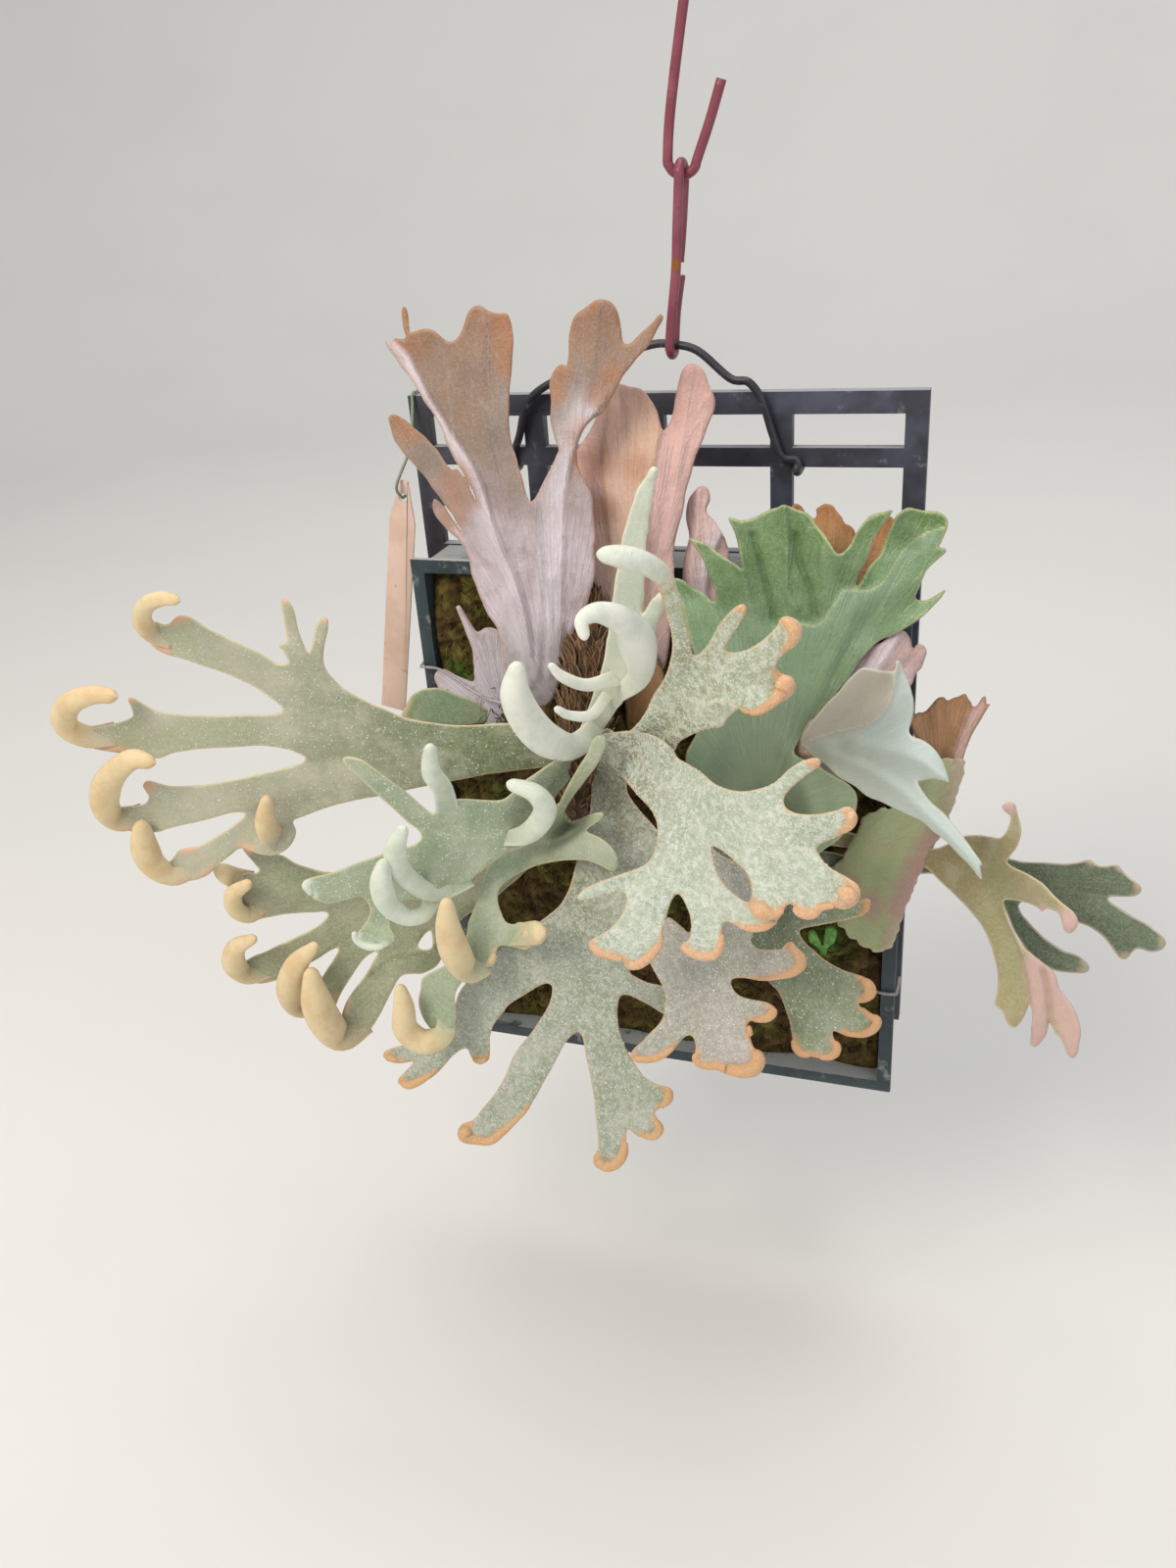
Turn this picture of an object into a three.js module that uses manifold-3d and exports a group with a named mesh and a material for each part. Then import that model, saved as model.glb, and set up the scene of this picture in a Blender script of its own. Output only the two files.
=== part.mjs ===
// A staghorn fern grown out of a shallow basket that hangs by two coated wire hooks.
// Millimetres, +Z up, X to the right as seen from the front, the fern facing -Y.
// Everything is modelled from the middle of the lattice panel's top edge (its front face is y = 0), and the
// whole is then moved so that the origin is where a rail would bear in the top hook.
import * as THREE from "three";
import { mergeVertices } from "three/addons/utils/BufferGeometryUtils.js";
import Module from "manifold-3d";

const wasm = await Module();
wasm.setup();

// Driving dimensions
const seatGap = 0.3;
const panel = {
  width: 200, height: 270, thickness: 5, bar: 8, posts: 5, pitch: 48, rows: 6,
  topRail: 8, secondRail: [20, 27],
};
const pot = { width: 187, shift: 3.5, top: 60, bottom: 283, depth: 30, wall: 2.4, lip: 3.2 };
const moss = {
  rise: 22, mound: 31, peakX: -12, peakZ: -138, spreadX: 62, spreadZ: 76, bump: 1.2, columns: 13, rows: 15,
};
const leafThickness = 1.6;
const curlRoundness = 0.75;
const curlSides = 6;
const stemSides = 8;
const leafTip = { onward: 0.8, width: 0.5 };
const leafBlend = { floor: 0.1, power: 3 };
const plumpness = { rhizome: 1.35, sideRhizome: 0.8, bud: 1 };
const hookWire = 3.5;
const hangerWire = 3;
const tieWire = 1.2;
const label = { width: 11.5, point: 17, nose: 3.2, thickness: 0.8, hole: 3.6, holeDrop: 7, depth: 12 };
const hookSeat = { x: 11, z: 159, innerRadius: 9 };
const upperHook = {
  bight: { x: 14.5, z: 77.5, radius: 5.2 },
  tail: [[28.5, 100], [24.2, 88]],
  shank: [[10.8, 92], [15.5, 118]],
};
const lowerHook = {
  near: [[11.6, -2.2, 44], [12.6, -3, 56]],
  far: [[12.6, 3, 56], [11.4, 2.3, 42], [9.4, 3.2, 26]],
  tip: [8.4, -4.4, 24],
};
const hangerApex = { x: 8.5, z: 17 };

// The outlines of the leaves were read off the photograph (1200 x 1600 pixels). The viewpoint lies in front
// of the panel, and a point of a leaf is the pixel [px, py] carried along its line of sight to a depth, which
// is how far in front of the panel it stands.
const view = {
  eye: new THREE.Vector3(136, -470, 87),
  turn: new THREE.Euler(
    THREE.MathUtils.degToRad(-26.8),
    THREE.MathUtils.degToRad(4.4),
    THREE.MathUtils.degToRad(20.2),
    "ZXY",
  ),
  focal: 1310,
  centre: [600, 800],
};

function sightRay(px, py) {
  const across = (px - view.centre[0]) / view.focal;
  const up = -(py - view.centre[1]) / view.focal;
  return new THREE.Vector3(across, 1, up).applyEuler(view.turn);
}

function sight(px, py, depth) {
  const ray = sightRay(px, py);
  const reach = (-depth - view.eye.y) / ray.y;
  return view.eye.clone().addScaledVector(ray, reach);
}

function millimetresPerPixel([px, py, , depth]) {
  return (-depth - view.eye.y) / sightRay(px, py).y / view.focal;
}

// Leaves. A branch is a list of stations [px, py, half width in px, depth in mm] along its middle. A branch
// whose name starts with "curl" rolls up into a round finger.
const frondLeftLong = {
  trunk: [
    [594, 766, 12, 76], [560, 762, 22, 82], [500, 762, 27, 91], [440, 766, 33, 98],
    [365, 764, 50, 105],
  ],
  webTop: [[400, 745, 20, 102], [350, 715, 28, 107], [308, 690, 20, 110]],
  lobeTop: [
    [335, 728, 25, 107], [300, 702, 24, 110], [250, 678, 16, 113], [210, 659, 17, 116],
    [168, 649, 14, 118],
  ],
  curlTop: [
    [176, 650, 14, 117], [156, 646, 11, 119], [145, 633, 10, 122], [149, 618, 9, 125],
    [164, 611, 8, 127], [178, 612, 6, 127],
  ],
  spikeTall: [[309, 690, 11, 110], [299, 650, 7, 111], [291, 616, 4, 112]],
  toothTall: [[304, 672, 7, 110], [286, 659, 4, 111]],
  spikeShort: [[322, 690, 10, 109], [327, 658, 6, 110], [331, 636, 4, 110]],
  bumpTop: [[196, 650, 9, 117], [183, 633, 5, 117]],
  lobeUpper: [
    [345, 755, 30, 107], [305, 745, 24, 110], [240, 745, 17, 114], [180, 748, 19, 117],
    [110, 748, 14, 118],
  ],
  curlUpper: [
    [118, 749, 14, 117], [92, 752, 12, 119], [71, 744, 12, 122], [65, 730, 13, 125],
    [74, 716, 12, 127], [95, 709, 10, 128], [112, 710, 8, 128],
  ],
  spurUpper: [[146, 742, 9, 117], [134, 714, 4, 118]],
  lobeMid: [
    [345, 792, 28, 106], [300, 806, 22, 108], [250, 811, 17, 111], [200, 820, 17, 114],
    [140, 833, 13, 116],
  ],
  curlMid: [
    [146, 831, 13, 115], [122, 837, 12, 117], [108, 824, 14, 120], [108, 804, 15, 123],
    [118, 787, 13, 125], [135, 775, 11, 126], [151, 777, 8, 126],
  ],
  bumpMid: [[162, 818, 9, 115], [150, 801, 5, 116]],
  lobeLow: [[325, 816, 24, 105], [290, 832, 21, 107], [240, 852, 14, 110], [195, 880, 12, 113]],
  curlLow: [
    [204, 878, 12, 112], [180, 893, 11, 114], [158, 884, 13, 117], [148, 866, 14, 119],
    [145, 847, 10, 120],
  ],
  spurLow: [[206, 874, 7, 112], [194, 863, 4, 113]],
  fingerRoot: [[292, 838, 12, 107], [286, 858, 10, 110], [262, 866, 7, 112]],
  curlFinger: [[286, 860, 12, 110], [277, 852, 13, 113], [271, 838, 11, 115], [272, 819, 7, 117]],
  spurFinger: [[266, 862, 6, 111], [250, 848, 4, 112]],
};

const frondLeftLow = {
  trunk: [
    [590, 812, 10, 66], [530, 862, 16, 73], [470, 900, 28, 82], [420, 924, 36, 88],
    [372, 930, 38, 92],
  ],
  lobeTop: [[375, 920, 28, 92], [335, 908, 24, 95], [290, 904, 22, 98], [258, 903, 15, 100]],
  spikeTop: [[258, 892, 8, 100], [246, 871, 3, 101]],
  curlTopBall: [[258, 898, 10, 100], [238, 895, 11, 103], [226, 889, 9, 105]],
  curlTopHook: [
    [268, 920, 10, 99], [256, 933, 9, 101], [241, 928, 9, 104], [238, 913, 9, 106],
    [251, 903, 6, 107],
  ],
  lobeMid: [[385, 940, 24, 92], [340, 955, 16, 95], [300, 975, 14, 97], [268, 990, 11, 99]],
  curlMid: [
    [274, 988, 11, 98], [253, 995, 10, 101], [239, 983, 12, 104], [241, 967, 10, 106],
    [256, 959, 6, 107],
  ],
  lobeLow: [[395, 935, 22, 91], [370, 965, 15, 94], [350, 995, 14, 96], [325, 1030, 10, 98]],
  curlLow: [
    [330, 1022, 11, 98], [305, 1027, 12, 101], [296, 1008, 14, 105], [303, 984, 12, 108],
    [319, 967, 6, 109],
  ],
  lobeFoot: [[420, 935, 26, 90], [400, 980, 18, 94], [383, 1020, 16, 96], [364, 1052, 14, 98]],
  curlFoot: [
    [372, 1042, 15, 97], [350, 1058, 15, 101], [334, 1045, 17, 105], [323, 1022, 16, 109],
    [318, 996, 9, 110],
  ],
  nubFoot: [[365, 1035, 10, 98], [350, 1025, 8, 100]],
  strip: [[470, 925, 16, 85], [440, 968, 9, 92], [405, 985, 8, 96], [386, 990, 5, 98]],
};

const frondMidLeft = {
  trunk: [
    [597, 795, 9, 76], [578, 830, 14, 84], [550, 856, 26, 94], [510, 860, 34, 105],
    [470, 858, 36, 112], [438, 868, 28, 117],
  ],
  horn: [
    [470, 835, 14, 113], [440, 830, 14, 118], [398, 808, 12, 124], [370, 785, 10, 128],
    [356, 776, 6, 129],
  ],
  curlTop: [[458, 838, 14, 113], [452, 806, 11, 118], [440, 788, 10, 122], [439, 766, 7, 125]],
  curlRight: [
    [524, 868, 14, 102], [546, 852, 11, 106], [554, 830, 10, 110], [543, 810, 9, 114],
    [521, 801, 7, 116],
  ],
  curlNear: [
    [478, 893, 14, 110], [446, 911, 10, 117], [420, 900, 11, 122], [405, 882, 12, 127],
    [404, 864, 11, 129], [410, 849, 7, 130],
  ],
  stripNear: [[486, 885, 16, 109], [455, 902, 14, 114]],
  rootFar: [[446, 876, 20, 115], [442, 912, 11, 118]],
  curlFar: [
    [443, 904, 12, 117], [436, 930, 9, 121], [416, 936, 9, 126], [397, 923, 12, 130],
    [389, 903, 12, 132], [391, 884, 8, 132],
  ],
  stripFar: [[436, 880, 20, 116], [375, 895, 15, 121], [345, 905, 13, 124], [320, 905, 8, 126]],
  crescent: [
    [443, 900, 9, 117], [430, 935, 7, 119], [412, 955, 5, 122], [390, 968, 5, 124],
    [372, 964, 5, 125], [360, 952, 3, 126],
  ],
};

const frondCentreUpright = {
  trunk: [
    [600, 745, 9, 78], [612, 728, 13, 88], [630, 680, 15, 98], [640, 620, 16, 106],
    [646, 560, 13, 112], [656, 510, 9, 116], [667, 481, 5, 118],
  ],
  strip: [[628, 712, 9, 94], [650, 668, 9, 102], [666, 625, 8, 107], [675, 609, 5, 109]],
  curlSpiral: [
    [625, 712, 9, 93], [652, 690, 13, 104], [650, 655, 20, 112], [634, 633, 15, 120],
    [610, 625, 11, 126], [594, 633, 8, 130], [596, 648, 6, 131],
  ],
  curlHorn: [[634, 690, 10, 97], [600, 699, 7, 106], [575, 691, 6, 112], [563, 680, 4, 115]],
  curlLowHorn: [[622, 706, 7, 92], [604, 729, 6, 100], [582, 730, 5, 105], [569, 724, 4, 108]],
  curlBanana: [
    [611, 738, 10, 88], [586, 761, 14, 99], [558, 755, 18, 108], [537, 733, 18, 116],
    [526, 708, 16, 121], [527, 685, 10, 123],
  ],
};

const frondCentreRight = {
  trunk: [
    [604, 757, 10, 77], [640, 762, 15, 87], [666, 736, 24, 98], [700, 706, 36, 110],
    [740, 695, 36, 118],
  ],
  arm: [[700, 700, 20, 110], [692, 645, 12, 121], [684, 606, 8, 132]],
  curlArm: [
    [686, 616, 8, 129], [676, 588, 11, 136], [656, 574, 12, 141], [634, 568, 12, 145],
    [617, 566, 9, 147],
  ],
  horn: [[733, 675, 16, 117], [746, 640, 8, 121], [755, 624, 6, 123]],
  lobeRight: [[750, 690, 24, 118], [782, 668, 12, 122], [805, 645, 9, 126]],
  curlBall: [[770, 700, 14, 119], [790, 702, 12, 123], [801, 700, 10, 126]],
  lobeFoot: [[745, 700, 22, 117], [768, 716, 12, 120], [788, 718, 8, 122]],
  fold: [[672, 760, 8, 96], [700, 742, 12, 106], [738, 727, 10, 114]],
};

const frondRightBroad = {
  trunk: [
    [606, 779, 10, 76], [640, 784, 24, 91], [664, 804, 34, 106], [700, 835, 44, 122],
    [745, 848, 36, 133], [800, 862, 32, 142],
  ],
  lobeTop: [[748, 832, 22, 133], [780, 812, 15, 138], [815, 795, 10, 142], [831, 780, 6, 144]],
  lobeUpper: [[795, 850, 20, 141], [840, 842, 14, 146], [862, 834, 9, 149]],
  lobeRight: [[795, 878, 24, 141], [830, 895, 19, 145], [862, 911, 13, 149]],
  nubRight: [[812, 895, 14, 142], [824, 926, 8, 145]],
  lobeNotch: [[782, 885, 18, 139], [779, 930, 9, 143]],
  lobeInner: [[712, 862, 20, 125], [733, 903, 13, 130], [755, 932, 11, 134], [783, 943, 7, 138]],
  lobeFoot: [[698, 860, 26, 123], [706, 900, 17, 127], [714, 940, 15, 131], [716, 964, 14, 132]],
  lobeLeft: [[688, 860, 28, 121], [678, 905, 21, 125], [664, 945, 18, 128], [648, 973, 12, 130]],
  cornerLeft: [[665, 935, 14, 127], [630, 962, 9, 130], [613, 965, 7, 130]],
  lobeSide: [[668, 868, 20, 118], [640, 894, 12, 121], [597, 911, 6, 124]],
};

const frondBottomCentre = {
  trunk: [
    [606, 796, 10, 73], [628, 826, 26, 83], [624, 868, 34, 91], [612, 930, 44, 97],
    [600, 985, 42, 101],
  ],
  lobeLeft: [
    [598, 960, 34, 100], [540, 988, 32, 102], [490, 1022, 26, 103], [455, 1062, 16, 106],
    [422, 1096, 9, 110],
  ],
  toothLeft: [[440, 1075, 10, 107], [399, 1077, 6, 109]],
  toothInner: [[500, 1030, 16, 103], [493, 1075, 8, 105]],
  lobeMid: [[595, 990, 34, 101], [556, 1062, 26, 104], [512, 1138, 18, 110], [484, 1155, 10, 113]],
  lobeFoot: [[602, 985, 34, 101], [616, 1045, 24, 104], [628, 1100, 24, 107], [621, 1178, 13, 113]],
  lobeCorner: [[634, 1105, 16, 107], [648, 1130, 12, 109], [664, 1152, 9, 112]],
  lobeSide: [[632, 1098, 14, 107], [655, 1110, 10, 109], [679, 1115, 8, 111]],
  arm: [[612, 975, 26, 100], [650, 1003, 14, 98], [692, 1026, 12, 96]],
};

const frondBottomRight = {
  trunk: [
    [602, 800, 8, 69], [645, 824, 10, 72], [695, 862, 16, 83], [740, 905, 22, 93],
    [726, 960, 28, 100], [728, 1010, 33, 108], [737, 1045, 31, 111],
  ],
  lobeLeft: [[712, 1030, 16, 109], [672, 1068, 10, 112], [654, 1077, 6, 113]],
  lobeFoot: [[735, 1045, 26, 111], [745, 1072, 22, 113], [763, 1086, 13, 116]],
  cornerFoot: [[728, 1060, 14, 111], [716, 1080, 8, 113]],
  lobeSide: [[745, 1030, 14, 110], [781, 1031, 8, 114]],
  lobeRight: [[733, 985, 24, 104], [775, 985, 15, 111], [811, 980, 9, 116]],
};

const frondLowRightDark = {
  trunk: [
    [796, 862, 10, 43], [786, 910, 16, 62], [792, 950, 22, 78], [820, 990, 26, 87],
    [842, 1025, 30, 92],
  ],
  horn: [[800, 950, 14, 80], [835, 935, 8, 86], [879, 925, 6, 92]],
  lobeSide: [[838, 1005, 20, 89], [868, 1002, 11, 93], [882, 1010, 9, 95]],
  lobeLow: [[850, 1030, 14, 92], [893, 1045, 8, 96]],
  lobeFoot: [[842, 1035, 26, 92], [836, 1066, 20, 95]],
};

const frondDouble = {
  stem: [
    [594, 836, 8, 68], [566, 858, 12, 82], [540, 872, 13, 91], [510, 886, 14, 98],
    [497, 930, 19, 107], [494, 972, 17, 112],
  ],
  arm: [[530, 880, 12, 94], [560, 862, 17, 99], [585, 856, 18, 102]],
  armTop: [[582, 852, 12, 102], [603, 838, 7, 105], [611, 832, 5, 106]],
  armRight: [[580, 862, 14, 102], [610, 870, 11, 105], [624, 879, 8, 107]],
  curlFinger: [
    [496, 982, 14, 113], [478, 990, 14, 118], [464, 970, 16, 122], [457, 945, 13, 125],
    [456, 924, 8, 126],
  ],
  armBall: [[500, 955, 14, 110], [524, 955, 11, 113]],
  curlArmBall: [[518, 955, 11, 112], [544, 952, 13, 117]],
  strip: [[485, 980, 16, 111], [462, 990, 16, 113], [450, 1012, 16, 115], [456, 1040, 9, 116]],
  curlStrip: [
    [456, 1036, 9, 116], [452, 1056, 12, 118], [432, 1063, 13, 121], [414, 1050, 13, 123],
    [412, 1028, 11, 124], [409, 1011, 7, 124],
  ],
};

const frondRightLong = {
  stem: [
    [804, 850, 9, 42], [880, 862, 10, 43], [940, 870, 12, 46], [985, 885, 27, 58],
    [1015, 903, 27, 72],
  ],
  horn: [[1012, 890, 14, 70], [1034, 858, 8, 78], [1034, 836, 6, 81], [1030, 825, 6, 83]],
  lobeRight: [[1020, 895, 18, 74], [1060, 908, 13, 85], [1086, 925, 9, 92], [1092, 945, 6, 96]],
  toothRight: [[1072, 913, 8, 86], [1062, 930, 4, 88]],
  lobeFoot: [[1008, 915, 20, 72], [1028, 970, 18, 84], [1036, 1005, 15, 90], [1037, 1040, 9, 94]],
  lobeMid: [[1022, 925, 16, 76], [1045, 980, 9, 88], [1059, 1022, 8, 94], [1060, 1059, 6, 97]],
  lobeTip: [[1050, 985, 9, 88], [1072, 1010, 9, 93], [1089, 1045, 9, 97], [1095, 1074, 6, 100]],
};

const frondRightDark = {
  stem: [
    [806, 872, 8, 42], [880, 884, 9, 37], [960, 882, 10, 38], [1040, 886, 10, 46],
    [1080, 900, 17, 54], [1115, 912, 24, 62],
  ],
  lobeTop: [[1105, 900, 14, 60], [1148, 904, 10, 68], [1163, 907, 5, 71]],
  toothTop: [[1130, 898, 8, 64], [1141, 883, 5, 66]],
  toothSide: [[1105, 895, 10, 60], [1113, 880, 5, 61]],
  lobeRight: [[1118, 920, 20, 63], [1142, 942, 18, 68], [1176, 958, 10, 74]],
  nubRight: [[1140, 950, 12, 68], [1146, 971, 6, 69]],
  lobeLow: [
    [1040, 895, 10, 46], [1036, 935, 10, 52], [1054, 962, 12, 58], [1082, 978, 11, 62],
    [1104, 985, 8, 65],
  ],
};

const shieldTallFront = {
  foot: [
    [566, 716, 14, 56], [561, 680, 32, 58], [556, 635, 45, 60], [550, 590, 50, 60],
    [546, 545, 42, 59],
  ],
  lobeLeft: [[545, 560, 40, 59], [520, 500, 36, 56], [496, 440, 42, 53], [478, 395, 42, 50]],
  topLeft: [[470, 405, 34, 51], [440, 354, 22, 48]],
  topRight: [[488, 400, 36, 50], [500, 338, 22, 46]],
  toothLeft: [[425, 368, 12, 48], [392, 342, 3, 46]],
  spikeLeft: [[424, 352, 8, 48], [413, 318, 3, 46]],
  lobeRight: [
    [548, 560, 36, 59], [568, 500, 20, 56], [590, 445, 20, 52], [603, 385, 27, 48],
    [609, 332, 23, 44],
  ],
  earRight: [[590, 420, 12, 51], [573, 388, 11, 49]],
  spikeRight: [[618, 390, 12, 48], [642, 362, 8, 46], [672, 325, 3, 44]],
  foldLeft: [
    [405, 362, 7, 48], [425, 395, 9, 51], [452, 440, 11, 54], [482, 500, 11, 58],
    [512, 560, 13, 61], [532, 615, 14, 62], [546, 680, 10, 60],
  ],
  lobeSide: [
    [405, 434, 10, 42], [430, 459, 12, 45], [456, 492, 12, 49], [482, 532, 16, 54],
    [505, 590, 20, 57],
  ],
  lobeLow: [[447, 517, 7, 46], [465, 538, 8, 49], [485, 560, 12, 53], [506, 600, 18, 57]],
};

const shieldTallBack = {
  foot: [[640, 706, 22, 44], [648, 640, 34, 48], [646, 580, 36, 48], [645, 520, 32, 45]],
  lobeLeft: [[645, 540, 32, 46], [642, 470, 30, 39], [645, 420, 27, 32]],
  topNotch: [[640, 430, 20, 34], [634, 402, 12, 29]],
  lobeRight: [[670, 600, 24, 47], [690, 520, 18, 42], [700, 450, 17, 34], [708, 394, 17, 27]],
  earRight: [[704, 440, 12, 33], [717, 413, 12, 29]],
};

const shieldOldRust = {
  sheet: [[652, 668, 16, 50], [657, 700, 21, 51], [655, 744, 15, 48]],
};

const shieldSmallPink = {
  sheet: [
    [720, 672, 12, 36], [721, 640, 14, 37], [716, 590, 16, 39], [715, 545, 14, 37],
    [714, 509, 8, 34],
  ],
  side: [[722, 610, 12, 38], [740, 580, 9, 37], [745, 562, 7, 36]],
};

const shieldDriedTips = {
  sheet: [
    [846, 690, 16, 26], [850, 640, 20, 34], [850, 590, 26, 36], [848, 555, 24, 33],
    [843, 524, 10, 28],
  ],
  tipRight: [[858, 570, 14, 33], [863, 544, 9, 30]],
  tipLeft: [[835, 565, 14, 32], [812, 524, 9, 28]],
  back: [[870, 600, 14, 35], [895, 560, 14, 30], [905, 535, 10, 27]],
};

const shieldGreenFan = {
  foot: [
    [780, 826, 18, 43], [764, 798, 34, 52], [762, 750, 52, 60], [784, 690, 68, 62],
    [805, 640, 78, 60],
  ],
  lobeLeftLow: [[768, 650, 40, 61], [730, 612, 16, 58], [690, 594, 5, 56]],
  lobeLeftTop: [[778, 630, 34, 60], [740, 578, 14, 57], [705, 550, 4, 54]],
  lobeTop: [[790, 640, 46, 60], [782, 580, 36, 57], [779, 540, 34, 54]],
  lobeFold: [[818, 630, 34, 60], [822, 575, 22, 56], [818, 534, 18, 53]],
  lobeMid: [[838, 640, 34, 60], [872, 575, 14, 56], [899, 526, 7, 52]],
  lobeRight: [[850, 645, 36, 59], [905, 580, 22, 53], [942, 535, 18, 46]],
  toothTop: [[915, 590, 14, 52], [962, 562, 4, 47]],
  toothLow: [[885, 635, 24, 55], [930, 610, 10, 51], [963, 603, 4, 48]],
};

const shieldYoung = {
  blade: [
    [802, 802, 9, 45], [820, 778, 11, 58], [838, 762, 14, 68], [868, 774, 28, 76],
    [905, 792, 32, 84], [940, 824, 20, 95], [972, 862, 14, 104], [1000, 893, 4, 110],
  ],
  lobeTop: [[878, 766, 26, 78], [905, 722, 18, 80], [912, 681, 5, 78]],
  lobeSide: [[900, 775, 24, 83], [945, 782, 11, 92], [965, 796, 4, 96]],
  cheek: [[842, 752, 14, 67], [866, 722, 24, 70], [893, 700, 14, 72]],
};

const shieldPinkLilac = {
  sheet: [
    [812, 812, 8, 43], [836, 778, 12, 48], [862, 722, 15, 53], [882, 690, 18, 56],
    [908, 664, 16, 54], [927, 648, 9, 51],
  ],
  side: [[880, 705, 16, 55], [912, 690, 12, 54], [928, 682, 8, 52]],
};

const shieldRightLow = {
  sheet: [
    [822, 890, 12, 38], [850, 908, 22, 42], [884, 920, 32, 45], [902, 875, 36, 48],
    [932, 832, 28, 47], [962, 800, 18, 44], [980, 780, 9, 42],
  ],
  foot: [[884, 920, 30, 45], [886, 958, 16, 42]],
};

const shieldDriedRight = {
  sheet: [[956, 812, 12, 44.5], [962, 788, 16, 42], [964, 755, 24, 37], [948, 728, 10, 32]],
  tipMid: [[968, 750, 14, 35], [974, 719, 8, 30]],
  tipRight: [[974, 755, 16, 35], [992, 730, 12, 31], [1004, 716, 6, 28]],
};

const shieldLowLeft = {
  sheet: [[518, 744, 20, 38], [508, 698, 24, 40], [500, 655, 14, 40]],
  spike: [[494, 672, 9, 40], [480, 645, 5, 41], [468, 620, 3, 41]],
  back: [[492, 712, 12, 38], [464, 702, 13, 34], [452, 692, 9, 32]],
};

const leafSmallRound = {
  blade: [[496, 730, 7, 39], [464, 724, 16, 42], [438, 722, 20, 44], [420, 729, 10, 44]],
};

const mossSprout = {
  leafLarge: [[843, 977, 4, 24], [846, 970, 8, 29], [846, 960, 8, 31], [847, 948, 5, 31]],
  leafSmall: [[843, 975, 3, 24], [834, 966, 6, 29], [829, 958, 5, 30]],
};

const rhizomeLine = [
  [600, 602, 8, 46], [602, 650, 20, 55], [600, 700, 25, 62], [597, 750, 27, 66],
  [592, 800, 23, 64], [588, 846, 9, 58],
];
const sideRhizomeLine = [
  [770, 792, 8, 38], [788, 828, 20, 40], [800, 866, 20, 39], [808, 905, 8, 34],
];
const budLine = [
  [804, 806, 6, 45], [815, 782, 8, 50], [824, 760, 10, 57], [829, 744, 8, 62],
  [832, 734, 3, 65],
];

// Solids
function closedGeometry(geometry) {
  geometry.deleteAttribute("normal");
  geometry.deleteAttribute("uv");
  const merged = mergeVertices(geometry, 1e-4);
  if (signedVolume(merged) < 0) {
    const order = merged.index.array;
    for (let i = 0; i < order.length; i += 3) {
      [order[i], order[i + 1]] = [order[i + 1], order[i]];
    }
  }
  return merged;
}

function signedVolume(geometry) {
  const place = geometry.attributes.position;
  const order = geometry.index.array;
  const [a, b, c] = [new THREE.Vector3(), new THREE.Vector3(), new THREE.Vector3()];
  let volume = 0;
  for (let i = 0; i < order.length; i += 3) {
    a.fromBufferAttribute(place, order[i]);
    b.fromBufferAttribute(place, order[i + 1]);
    c.fromBufferAttribute(place, order[i + 2]);
    volume += a.dot(b.cross(c)) / 6;
  }
  return volume;
}

function toSolid(geometry) {
  const merged = closedGeometry(geometry);
  const vertProperties = new Float32Array(merged.attributes.position.array);
  const triVerts = new Uint32Array(merged.index.array);
  return new wasm.Manifold(new wasm.Mesh({ numProp: 3, vertProperties, triVerts }));
}

function toGeometry(solid) {
  const mesh = solid.getMesh();
  const geometry = new THREE.BufferGeometry();
  geometry.setAttribute("position", new THREE.BufferAttribute(new Float32Array(mesh.vertProperties), 3));
  geometry.setIndex(new THREE.BufferAttribute(new Uint32Array(mesh.triVerts), 1));
  return geometry;
}

function largestBody(solid) {
  return solid.decompose().reduce((best, next) => (next.volume() > best.volume() ? next : best));
}

function joinAll(solids) {
  return solids.reduce((whole, next) => whole.add(next));
}

// A skin stretched over rings of points, one ring for each station, closed by a flat cap at each end.
function loft(rings) {
  const sides = rings[0].length;
  const order = [];
  for (let r = 0; r + 1 < rings.length; r += 1) {
    for (let s = 0; s < sides; s += 1) {
      const here = r * sides + s;
      const next = r * sides + ((s + 1) % sides);
      order.push(here, next, next + sides, here, next + sides, here + sides);
    }
  }
  const last = (rings.length - 1) * sides;
  for (let s = 1; s + 1 < sides; s += 1) {
    order.push(0, s + 1, s, last, last + s, last + s + 1);
  }
  const geometry = new THREE.BufferGeometry().setFromPoints(rings.flat());
  geometry.setIndex(order);
  return geometry;
}

// A leaf is one sheet. The depth of its surface at a pixel comes from all its flat branches, each weighed by
// how near the pixel lies to it, measured in that branch's half widths.
function nearestStation(stations, px, py) {
  let best = { reach: Infinity, depth: 0 };
  for (let i = 0; i + 1 < stations.length; i += 1) {
    const [x0, y0, half0, depth0] = stations[i];
    const [x1, y1, half1, depth1] = stations[i + 1];
    const [dx, dy] = [x1 - x0, y1 - y0];
    const t = THREE.MathUtils.clamp(((px - x0) * dx + (py - y0) * dy) / (dx * dx + dy * dy), 0, 1);
    const away = Math.hypot(px - x0 - t * dx, py - y0 - t * dy);
    const reach = away / THREE.MathUtils.lerp(half0, half1, t);
    if (reach < best.reach) {
      best = { reach, depth: THREE.MathUtils.lerp(depth0, depth1, t) };
    }
  }
  return best;
}

function isCurl(name) {
  return name.startsWith("curl");
}

function flatBranches(branches) {
  return Object.keys(branches).filter((name) => !isCurl(name)).map((name) => branches[name]);
}

function curledBranches(branches) {
  return Object.keys(branches).filter(isCurl).map((name) => branches[name]);
}

function surfaceDepth(branches) {
  const flat = flatBranches(branches);
  return (px, py) => {
    let total = 0;
    let sum = 0;
    for (const stations of flat) {
      const { reach, depth } = nearestStation(stations, px, py);
      const share = 1 / (reach * reach + leafBlend.floor) ** leafBlend.power;
      total += share;
      sum += share * depth;
    }
    return sum / total;
  };
}

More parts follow.
